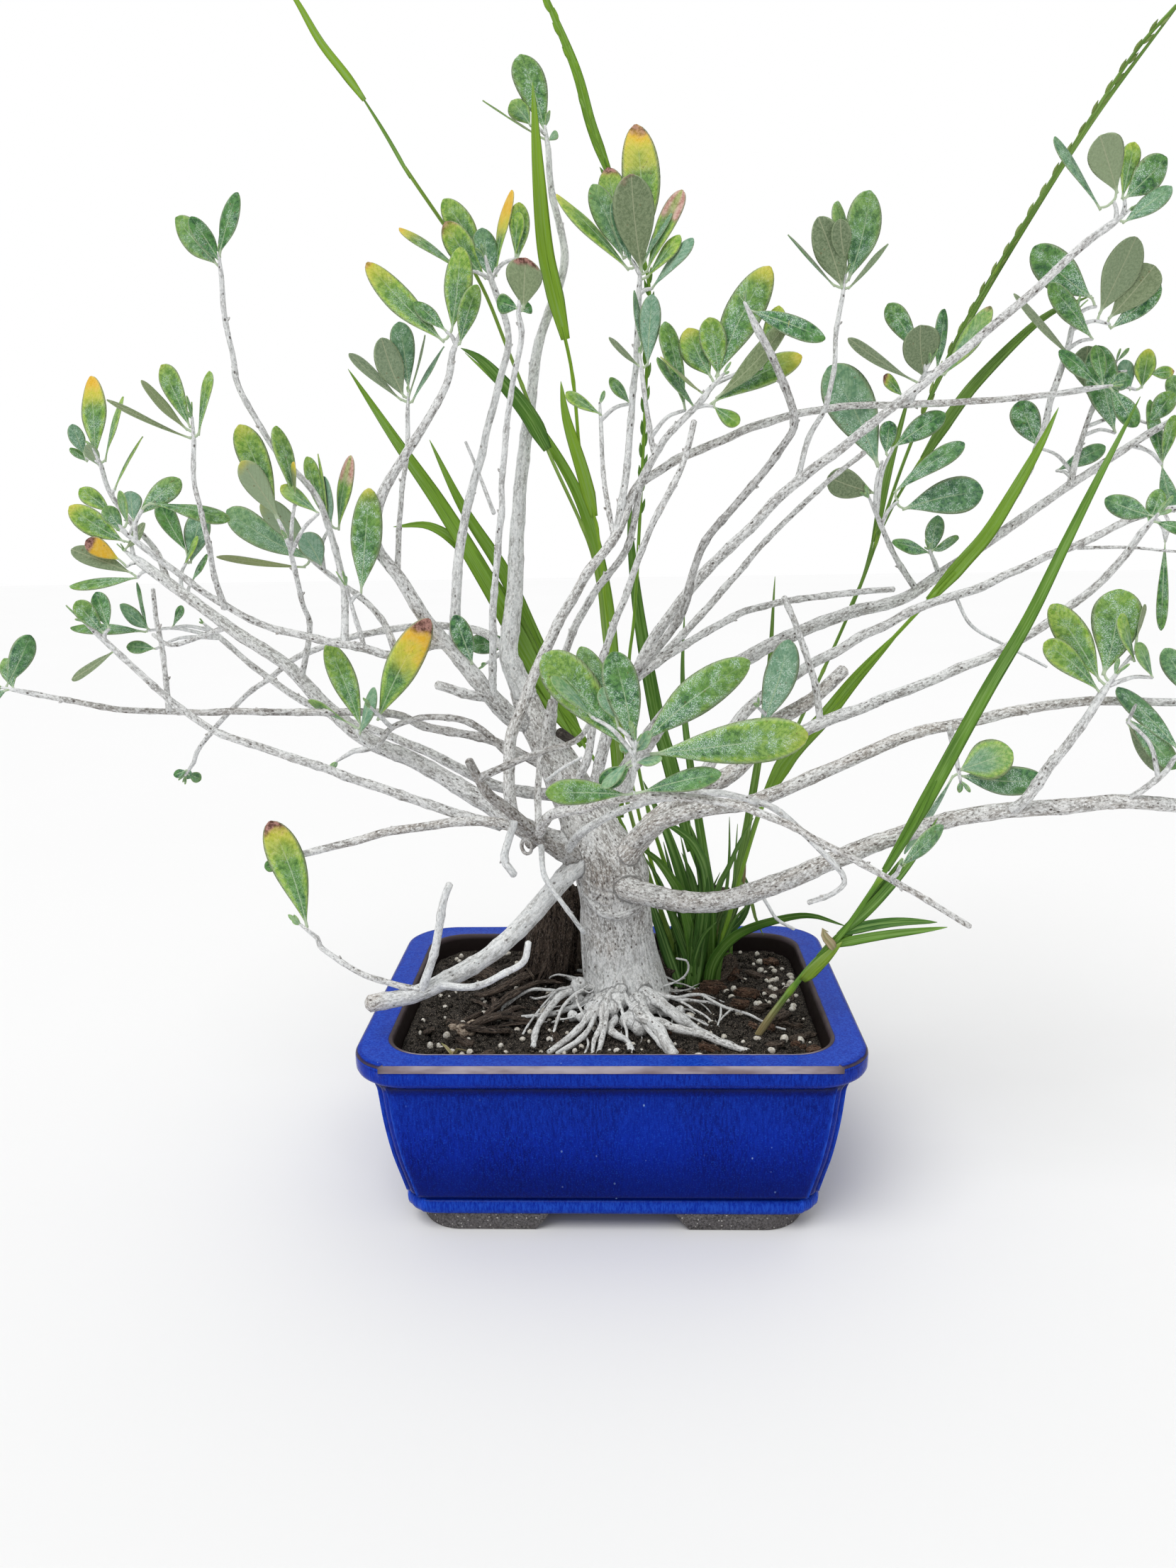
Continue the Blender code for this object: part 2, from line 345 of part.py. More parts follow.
def combine(obj, others, operation):
    """Joins the other objects to obj, or cuts them out of it, and removes them."""
    tools = bpy.data.collections.new("tools")
    bpy.context.scene.collection.children.link(tools)
    for other in others:
        bpy.context.scene.collection.objects.unlink(other)
        tools.objects.link(other)
    step = obj.modifiers.new("combine", "BOOLEAN")
    step.operation = operation
    step.operand_type = "COLLECTION"
    step.collection = tools
    step.solver = "MANIFOLD"
    bpy.ops.object.select_all(action="DESELECT")
    bpy.context.view_layer.objects.active = obj
    obj.select_set(True)
    bpy.ops.object.modifier_apply(modifier=step.name)
    for other in others:
        bpy.data.objects.remove(other, do_unlink=True)
    bpy.data.collections.remove(tools)


def curve_points(points, spacing):
    """A smooth curve through the points, with an added point for about every spacing of length."""
    pts = [np.array(p, float) for p in points]
    ends = [2 * pts[0] - pts[1]] + pts + [2 * pts[-1] - pts[-2]]
    out = []
    for a, b, c, d in zip(ends, ends[1:], ends[2:], ends[3:]):
        count = max(1, round(float(np.linalg.norm((c - b)[:3])) / spacing))
        for t in np.arange(count) / count:
            out.append(0.5 * (2 * b + (c - a) * t + (2 * a - 5 * b + 4 * c - d) * t**2
                              + (3 * b - a - 3 * c + d) * t**3))
    out.append(pts[-1])
    return np.array(out)


def even_points(path, spacing):
    """The same path with points an even distance apart."""
    steps = np.concatenate([[0], np.cumsum(np.linalg.norm(np.diff(path, axis=0), axis=1))])
    count = max(2, math.ceil(steps[-1] / spacing) + 1)
    wanted = np.linspace(0.0, steps[-1], count)
    return np.array([np.interp(wanted, steps, path[:, i]) for i in range(path.shape[1])]).T


def loft(bm, rings):
    """Bridges closed rings of points and caps both ends."""
    loops = [[bm.verts.new(p) for p in ring] for ring in rings]
    for lower, upper in zip(loops, loops[1:]):
        for i in range(len(lower)):
            j = (i + 1) % len(lower)
            bm.faces.new((lower[i], lower[j], upper[j], upper[i]))
    bm.faces.new(loops[0][::-1])
    bm.faces.new(loops[-1])


def frames_along(path, start_side):
    """Directions and side vectors along a path, carried from point to point without twist."""
    tangents = np.gradient(path, axis=0)
    tangents /= np.linalg.norm(tangents, axis=1)[:, None]
    sides = []
    side = np.array(start_side, float)
    for tangent in tangents:
        side = side - tangent * (side @ tangent)
        side = side / np.linalg.norm(side)
        sides.append(side)
    return tangents, np.array(sides)


def add_tube(bm, path, radii, sides):
    tangents, across = frames_along(path, (0.31, 0.83, 0.46))
    rings = []
    for point, tangent, side, radius in zip(path, tangents, across, radii):
        other = np.cross(tangent, side)
        angles = [2 * math.pi * i / sides for i in range(sides)]
        rings.append([point + radius * (math.cos(a) * side + math.sin(a) * other) for a in angles])
    loft(bm, rings)


def add_strip(bm, path, widths, thickness, facing):
    """A flat blade along the path, its broad side towards facing."""
    tangents, _ = frames_along(path, facing)
    rings = []
    for point, tangent, width in zip(path, tangents, widths):
        side = np.cross(tangent, facing)
        side = side / np.linalg.norm(side) * width / 2
        normal = np.cross(side, tangent)
        normal = normal / np.linalg.norm(normal) * thickness / 2
        rings.append([point - side - normal, point + side - normal, point + side + normal,
                      point - side + normal])
    loft(bm, rings)


def limb_path(name):
    """The points and radii of one limb."""
    root, tip, route = LIMBS[name]
    path = even_points(curve_points(route, 6.0), LIMB_SPACING)
    part = np.linspace(0.0, 1.0, len(path))
    return path, root + (tip - root) * part**0.8


def trunk_path():
    full = curve_points(TRUNK, 14.0)
    return full[:, :3], full[:, 3]


def soil_height(x, y):
    """Height of the soil, which rises gently to the trunk."""
    away = math.hypot(x - TRUNK_X, y - TRUNK_Y)
    return SOIL_EDGE + SOIL_MOUND * math.exp(-((away / 55.0) ** 2))


def root_paths():
    """The exposed roots, which leave the trunk's foot and run out just over the soil."""
    paths = []
    for k, (heading, reach, radius) in enumerate(ROOTS):
        path = []
        for step in range(6):
            part = step / 5
            away = 13.0 + (reach - 13.0) * part
            turn = math.radians(heading + 9.0 * math.sin(2.6 * part + k) - 9.0 * math.sin(k))
            x = TRUNK_X + away * math.cos(turn)
            y = TRUNK_Y + away * math.sin(turn)
            thin = radius * (1.0 - 0.62 * part)
            rest = soil_height(x, y) + SOIL_BUMP + thin + 0.6
            path.append((x, y, rest + 3.2 * (1.0 - part) ** 2 + 0.9 * math.sin(3.1 * part + 2 * k) ** 2, thin))
        paths.append(np.array(path))
    return paths


def pot_ring(length, depth, corner, z, step=0.0):
    """A rounded rectangle whose corners are set back from its four flat panels by step."""
    ring = []
    for turn, (sx, sy) in enumerate([(1, 1), (-1, 1), (-1, -1), (1, -1)]):
        cx, cy = sx * (length / 2 - corner), sy * (depth / 2 - corner)
        before = (sx * length / 2, sy * (depth / 2 - corner - 1.2))
        after = (sx * (length / 2 - corner - 1.2), sy * depth / 2)
        if turn % 2:
            before, after = after, before
        ring.append((*before, z))
        for part in range(5):
            angle = math.radians(90 * turn + 22.5 * part)
            reach = corner - step
            ring.append((cx + reach * math.cos(angle), cy + reach * math.sin(angle), z))
        ring.append((*after, z))
    return ring


def inner_size(z):
    """Length, depth and corner of the pot's inside at height z."""
    part = min(1.0, (z - FLOOR_TOP) / (POT_HEIGHT - FLOOR_TOP))
    mouth = (POT_LENGTH - 2 * RIM_WIDTH, POT_DEPTH - 2 * RIM_WIDTH, RIM_CORNER - 7.0)
    floor = (INNER_FLOOR_LENGTH, INNER_FLOOR_DEPTH, INNER_FLOOR_CORNER)
    return [a + (b - a) * part for a, b in zip(floor, mouth)]


def make_pot():
    rings = [pot_ring(BAND_LENGTH - 1.6, BAND_DEPTH - 1.6, 19, FLOOR_UNDER),
             pot_ring(BAND_LENGTH, BAND_DEPTH, 20, FLOOR_UNDER + 0.8),
             pot_ring(BAND_LENGTH, BAND_DEPTH, 20, BAND_TOP),
             pot_ring(BAND_LENGTH - 2.4, BAND_DEPTH - 2.4, 19, BAND_TOP + 0.9)]
    body = [(16.5, 171.4, 141.6), (29, 176.9, 143.7), (45, 183.0, 145.6), (63, 188.0, 147.0)]
    rings += [pot_ring(length, depth, 22, z, PANEL_STEP) for z, length, depth in body]
    rings.append(pot_ring(187.0, 146.4, 22, 66.4, 0.9))
    rim_under = POT_HEIGHT - RIM_FACE
    rings += [pot_ring(POT_LENGTH - 3.4, POT_DEPTH - 3.4, RIM_CORNER - 1.4, rim_under - 0.5),
              pot_ring(POT_LENGTH, POT_DEPTH, RIM_CORNER, rim_under + 0.9),
              pot_ring(POT_LENGTH, POT_DEPTH, RIM_CORNER, POT_HEIGHT - 0.9),
              pot_ring(POT_LENGTH - 1.6, POT_DEPTH - 1.6, RIM_CORNER - 0.8, POT_HEIGHT)]
    for z in (POT_HEIGHT, FLOOR_TOP):
        rings.append(pot_ring(*inner_size(z), z))
    bm = bmesh.new()
    loft(bm, rings)
    pot = add_object("pot", bm)

    foot_top = FLOOR_UNDER + 2.0
    bm = bmesh.new()
    inner_length, inner_depth = FOOT_LENGTH - 2 * FOOT_WIDTH, FOOT_DEPTH - 2 * FOOT_WIDTH
    outer = [pot_ring(FOOT_LENGTH - 1.2, FOOT_DEPTH - 1.2, FOOT_CORNER, 0.0),
             pot_ring(FOOT_LENGTH, FOOT_DEPTH, FOOT_CORNER, 0.8),
             pot_ring(FOOT_LENGTH + 1.6, FOOT_DEPTH + 1.6, FOOT_CORNER, foot_top)]
    loft(bm, outer)
    feet = add_object("feet", bm)
    bm = bmesh.new()
    loft(bm, [pot_ring(inner_length, inner_depth, FOOT_CORNER - 6, -1.0),
              pot_ring(inner_length, inner_depth, FOOT_CORNER - 6, foot_top + 1.0)])
    cuts = [add_object("under", bm)]
    for gap, reach, along_x in ((FRONT_FOOT_GAP, FOOT_DEPTH, True), (SIDE_FOOT_GAP, FOOT_LENGTH, False)):
        bm = bmesh.new()
        low, high, far = gap / 2, gap / 2 - 3.0, reach / 2 + 5.0
        ring = []
        for side in (-far, far):
            corners = [(-low - 0.8, -1.0), (low + 0.8, -1.0), (high, foot_top + 1.0), (-high, foot_top + 1.0)]
            if along_x:
                ring.append([(u, side, z) for u, z in corners])
            else:
                ring.append([(side, u, z) for u, z in corners])
        loft(bm, ring)
        cuts.append(add_object("foot_gap", bm))
    combine(feet, cuts, "DIFFERENCE")
    combine(pot, [feet], "UNION")

    drains = []
    for side in (-1, 1):
        bm = bmesh.new()
        add_prism(bm, side * DRAIN_X, 0.0, DRAIN_RADIUS, FLOOR_UNDER - 2.0, FLOOR_TOP + 2.0, 12)
        drains.append(add_object("drain", bm))
    combine(pot, drains, "DIFFERENCE")
    add_material(pot, GLAZE_BLUE, 0.16)


def add_prism(bm, x, y, radius, bottom, top, sides):
    angles = [2 * math.pi * i / sides for i in range(sides)]
    ring = [(x + radius * math.cos(a), y + radius * math.sin(a)) for a in angles]
    loft(bm, [[(u, v, z) for u, v in ring] for z in (bottom, top)])


def grass_feet():
    """Where each grass stem stands in the soil, and its radius there."""
    for parts in GRASS.values():
        radius, route = parts["stems"][0]
        yield route[0][0], route[0][1], radius


def make_soil():
    """Soil that fills the pot, with a plain hole for the trunk and for each stem."""
    rng = np.random.default_rng(SEED)
    rings = []
    for z in (FLOOR_TOP + GAP, SOIL_EDGE):
        length, depth, corner = inner_size(z)
        rings.append(pot_ring(length - 2 * GAP - 0.4, depth - 2 * GAP - 0.4, corner, z))
    bm = bmesh.new()
    loops = [[bm.verts.new(p) for p in ring] for ring in rings]
    edge = np.array(rings[-1])[:, :2]
    for part in (0.8, 0.6, 0.36):
        loop = []
        for x, y in edge * part:
            bump = SOIL_BUMP * float(rng.uniform(-1.0, 1.0))
            loop.append(bm.verts.new((x, y, soil_height(x, y) + bump)))
        loops.append(loop)
    for lower, upper in zip(loops, loops[1:]):
        for i in range(len(lower)):
            j = (i + 1) % len(lower)
            bm.faces.new((lower[i], lower[j], upper[j], upper[i]))
    bm.faces.new(loops[0][::-1])
    middle = bm.verts.new((0.0, 0.0, soil_height(0.0, 0.0)))
    last = loops[-1]
    for i in range(len(last)):
        bm.faces.new((last[i], last[(i + 1) % len(last)], middle))
    bmesh.ops.triangulate(bm, faces=bm.faces)
    soil = add_object("soil", bm)
    holes = []
    bm = bmesh.new()
    add_prism(bm, TRUNK_X, TRUNK_Y, TRUNK_FOOT_RADIUS + 0.6, HOLE_BOTTOM, SOIL_EDGE + 12.0, 12)
    holes.append(add_object("hole", bm))
    for x, y, radius in grass_feet():
        bm = bmesh.new()
        add_prism(bm, x, y, radius + 0.7, HOLE_BOTTOM, SOIL_EDGE + 12.0, 8)
        holes.append(add_object("hole", bm))
    combine(soil, holes, "DIFFERENCE")
    add_material(soil, SOIL_BROWN, 0.95)


def make_wood():
    """Trunk, limbs and exposed roots, grown together as one body."""
    bm = bmesh.new()
    path, radii = trunk_path()
    add_tube(bm, path, radii, 12)
    trunk = add_object("olive_wood", bm)
    pieces = []
    bm = bmesh.new()
    add_prism(bm, TRUNK_X, TRUNK_Y, TRUNK_FOOT_RADIUS, STEM_BOTTOM, TRUNK_FOOT_TOP, 12)
    pieces.append(add_object("foot", bm))
    for name, (root, _, _) in LIMBS.items():
        bm = bmesh.new()
        path, radii = limb_path(name)
        add_tube(bm, path, radii, 7 if root > 3.5 else 5 if root > 1.9 else 4)
        pieces.append(add_object(name, bm))
    for run in root_paths():
        bm = bmesh.new()
        add_tube(bm, run[:, :3], run[:, 3], 5)
        pieces.append(add_object("root", bm))
    combine(trunk, pieces, "UNION")
    add_material(trunk, BARK_GREY, 0.85)


def leaf_direction(angle, lean):
    """Unit vector for an angle seen from the front and a lean towards the viewer."""
    a, b = math.radians(angle), math.radians(lean)
    return np.array([math.cos(a) * math.cos(b), -math.sin(b), math.sin(a) * math.cos(b)])


def leaf_facing(direction, turn):
    """The way the broad side faces: the viewer at turn 0, edge-on at turn 90."""
    front = np.array([0.0, -1.0, 0.12])
    face = front - direction * (front @ direction)
    face = face / np.linalg.norm(face)
    t = math.radians(turn)
    return face * math.cos(t) + np.cross(direction, face) * math.sin(t)


def leaf_curve(base, direction, face, length, bend, count):
    """The midrib, which arches away from the side that the leaf shows."""
    parts = np.linspace(0.0, 1.0, count)
    return np.array([base + direction * length * t - face * bend * length * t * t for t in parts])


def leaf_width(part):
    """Outline of an olive leaf: a narrow stalk, widest past the middle, and a blunt tip."""
    return np.interp(part, [0.0, 0.1, 0.3, 0.6, 0.85, 1.0], [0.12, 0.16, 0.62, 1.0, 0.74, 0.18])


def obstacles():
    """Points and radii along the trunk, the limbs and the grass, for leaves to keep clear of."""
    points, radii = [], []

    def add(path, radius):
        for a, b, ra, rb in zip(path, path[1:], radius, radius[1:]):
            count = max(1, int(np.linalg.norm(b - a) / 3.0))
            for t in np.arange(count) / count:
                points.append(a + (b - a) * t)
                radii.append(ra + (rb - ra) * t)
        points.append(path[-1])
        radii.append(radius[-1])

    add(*trunk_path())
    for name in LIMBS:
        add(*limb_path(name))
    for parts in GRASS.values():
        for radius, route in parts["stems"]:
            path = curve_points(route, 12.0)
            add(path, [radius] * len(path))
        for width, route in parts["blades"]:
            path = curve_points(route, 12.0)
            add(path, [width / 2] * len(path))
    return np.array(points), np.array(radii)


def leaf_samples(leaf):
    """Points spread over a blade."""
    curve = leaf_curve(leaf["base"], leaf["direction"], leaf["face"], leaf["length"], leaf["bend"], 10)[1:]
    side = np.cross(leaf["direction"], leaf["face"]) * leaf["width"] / 2
    spread = [curve + side * leaf_width(np.linspace(0.1, 1, 9))[:, None] * k for k in (-1.0, 0.0, 1.0)]
    return np.concatenate(spread)


def clearance(points, others, radii=0.0):
    """The smallest distance from the points to the others, less their radii."""
    if not len(points) or not len(others):
        return 1000.0
    return float((np.linalg.norm(points[:, None] - others[None], axis=2) - radii).min())


def place_leaves():
    """Every leaf of every spray, turned nearer or further where it would touch something else."""
    rng = np.random.default_rng(SEED)
    wood_points, wood_radii = obstacles()
    placed = {}
    taken = np.zeros((0, 3))
    for name, leaves in SPRAYS.items():
        path, _ = limb_path(name)
        along = path[-1] - path[-2]
        along = along / np.linalg.norm(along)
        start = path[-1] + along * GAP
        placed[name] = {"start": start, "along": along, "leaves": []}
        own = np.zeros((0, 3))
        for k, (angle, seen, turn) in enumerate(leaves):
            joint = start + along * SPRAY_CORE_LENGTH * (0.25 + 0.65 * (k + 0.5) / len(leaves))
            tip = path[-1] + seen * leaf_direction(angle, 0.0)
            reach = math.hypot(tip[0] - joint[0], tip[2] - joint[2])
            heading = math.degrees(math.atan2(tip[2] - joint[2], tip[0] - joint[0]))
            sign = 1 if k % 2 else -1
            wish = sign * rng.uniform(10.0, 30.0)
            bend = rng.uniform(0.04, 0.13)
            spin = turn * (1 if rng.random() < 0.5 else -1)
            best = None
            for shift in LEAN_SHIFTS:
                lean = wish + shift
                if abs(lean) > LARGEST_LEAN:
                    continue
                direction = leaf_direction(heading, lean)
                length = max(SHORTEST_LEAF, reach) / max(0.72, math.cos(math.radians(lean)))
                width = min(LEAF_WIDEST, LEAF_NARROWEST + length * LEAF_SLENDERNESS)
                leaf = {"base": joint + direction * 0.5, "direction": direction, "length": length,
                        "face": leaf_facing(direction, spin), "width": width, "bend": bend}
                points = leaf_samples(leaf)
                far = np.linalg.norm(points - start, axis=1) > 5.5
                room = clearance(points[far], wood_points, wood_radii) - CLEAR_OF_WOOD
                room = min(room, clearance(points, taken) - CLEAR_OF_SPRAYS)
                room = min(room, LARGEST_DEPTH - float(np.abs(points[:, 1]).max()))
                beyond = np.linalg.norm(points - start, axis=1) > SPRAY_CORE_LENGTH + 5.0
                spread = clearance(points[beyond], own) - CLEAR_OF_SISTERS
                score = 100.0 * min(0.0, room) + min(0.0, spread)
                if best is None or score > best[0]:
                    best = (score, leaf, points)
                if score == 0.0:
                    break
            placed[name]["leaves"].append(best[1])
            own = np.concatenate([own, best[2]])
        taken = np.concatenate([taken, own])
    return placed


def make_sprays():
    for number, (name, spray) in enumerate(place_leaves().items()):
        bm = bmesh.new()
        start, along = spray["start"], spray["along"]
        core = np.array([start, start + along * SPRAY_CORE_LENGTH])
        add_tube(bm, core, [SPRAY_CORE_RADIUS, SPRAY_CORE_RADIUS * 0.85], 5)
        obj = add_object("leaves_" + name, bm)
        blades = []
        for leaf in spray["leaves"]:
            bm = bmesh.new()
            curve = leaf_curve(leaf["base"], leaf["direction"], leaf["face"], leaf["length"],
                               leaf["bend"], 6)
            curve = np.array([np.interp(LEAF_STATIONS, np.linspace(0, 1, 6), line) for line in curve.T]).T
            widths = np.maximum(STALK_WIDTH, leaf["width"] * np.array(LEAF_OUTLINE))
            add_strip(bm, curve, widths, LEAF_THICKNESS, leaf["face"])
            blades.append(add_object("leaf", bm))
        combine(obj, blades, "UNION")
        add_material(obj, LEAF_GREENS[number % len(LEAF_GREENS)], 0.55)


def make_grass():
    for number, (name, parts) in enumerate(GRASS.items()):
        pieces = []
        for radius, route in parts["stems"]:
            bm = bmesh.new()
            path = curve_points(route, GRASS_SPACING)
            add_tube(bm, path, np.linspace(radius, radius * 0.7, len(path)), 4)
            pieces.append(add_object(name, bm))
        for width, route in parts["blades"]:
            bm = bmesh.new()
            path = curve_points(route, GRASS_SPACING)
            t = np.linspace(0.0, 1.0, len(path))
            widths = np.maximum(0.9, width * np.interp(t, [0, 0.25, 0.6, 1.0], [0.35, 1.0, 0.85, 0.1]))
            facing = np.array([0.25, -0.95, 0.2])
            add_strip(bm, path, widths, BLADE_THICKNESS, facing)
            pieces.append(add_object("blade", bm))
        combine(pieces[0], pieces[1:], "UNION")
        add_material(pieces[0], GRASS_GREENS[number % len(GRASS_GREENS)], 0.5)


def main():
    clear_scene()
    make_pot()
    make_soil()
    make_wood()
    make_sprays()
    make_grass()


main()
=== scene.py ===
"""Looks of the olive bonsai: fine bark, leaves, grass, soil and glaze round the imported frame."""

import math

import bpy
import numpy as np
from mathutils import Matrix, Vector


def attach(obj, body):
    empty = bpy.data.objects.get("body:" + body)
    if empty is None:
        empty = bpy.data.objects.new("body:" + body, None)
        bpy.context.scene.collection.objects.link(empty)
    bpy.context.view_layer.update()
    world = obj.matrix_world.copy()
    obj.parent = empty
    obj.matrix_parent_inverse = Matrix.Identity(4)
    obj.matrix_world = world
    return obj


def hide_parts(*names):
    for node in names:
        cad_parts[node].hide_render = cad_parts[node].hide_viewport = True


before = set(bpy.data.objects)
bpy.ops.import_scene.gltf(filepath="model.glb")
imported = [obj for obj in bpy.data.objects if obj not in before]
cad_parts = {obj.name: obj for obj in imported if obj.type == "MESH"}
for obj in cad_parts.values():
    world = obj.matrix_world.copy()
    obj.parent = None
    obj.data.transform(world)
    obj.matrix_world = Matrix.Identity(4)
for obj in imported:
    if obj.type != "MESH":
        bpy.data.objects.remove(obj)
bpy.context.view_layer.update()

# Sizes are in millimetres, with x to the right, y away from the viewer and z up.
MM = 0.001
SEED = 11
GAP = 0.35

POT_LENGTH, POT_DEPTH, POT_HEIGHT, RIM_CORNER, RIM_WIDTH = 205.0, 162.0, 78.0, 25.0, 13.5
FLOOR_TOP = 15.0
PANEL_STEP, RIM_TURN, BODY_TURN = 0.7, 22.0, 9.5
FOOT_LENGTH, FOOT_DEPTH, FOOT_CORNER, FOOT_WIDTH = 158.0, 136.0, 17.0, 11.0
FRONT_FOOT_GAP, SIDE_FOOT_GAP = 52.0, 44.0
DRAIN_X, DRAIN_RADIUS = 36.0, 7.0
INNER_FLOOR_LENGTH, INNER_FLOOR_DEPTH, INNER_FLOOR_CORNER = 155.0, 124.0, 15.0
SOIL_EDGE, SOIL_MOUND, SOIL_BUMP = 69.4, 2.2, 0.5
TRUNK_X, TRUNK_Y = 6.0, 4.0

LIMB_SPACING = 29.0
SPRAY_CORE_LENGTH = 9.0

# The camera, fitted to the pot's edges in the photograph.
LENS, CAMERA_PLACE, CAMERA_PITCH, CAMERA_YAW, CAMERA_ROLL = 27.2, (7.7, -499.0, 285.2), 12.84, -1.95, -0.89

# The trunk: x, y, z and radius at each point.
TRUNK = [
    (6, 4, 72, 19.4), (5, 4, 84, 17.6), (3, 4, 101, 16.0), (2, 4, 116, 15.7), (-1, 5, 133, 16.0),
    (-8, 6, 149, 12.5), (-19, 10, 171, 9.4), (-30, 14, 191, 7.2), (-39, 17, 211, 5.4),
]

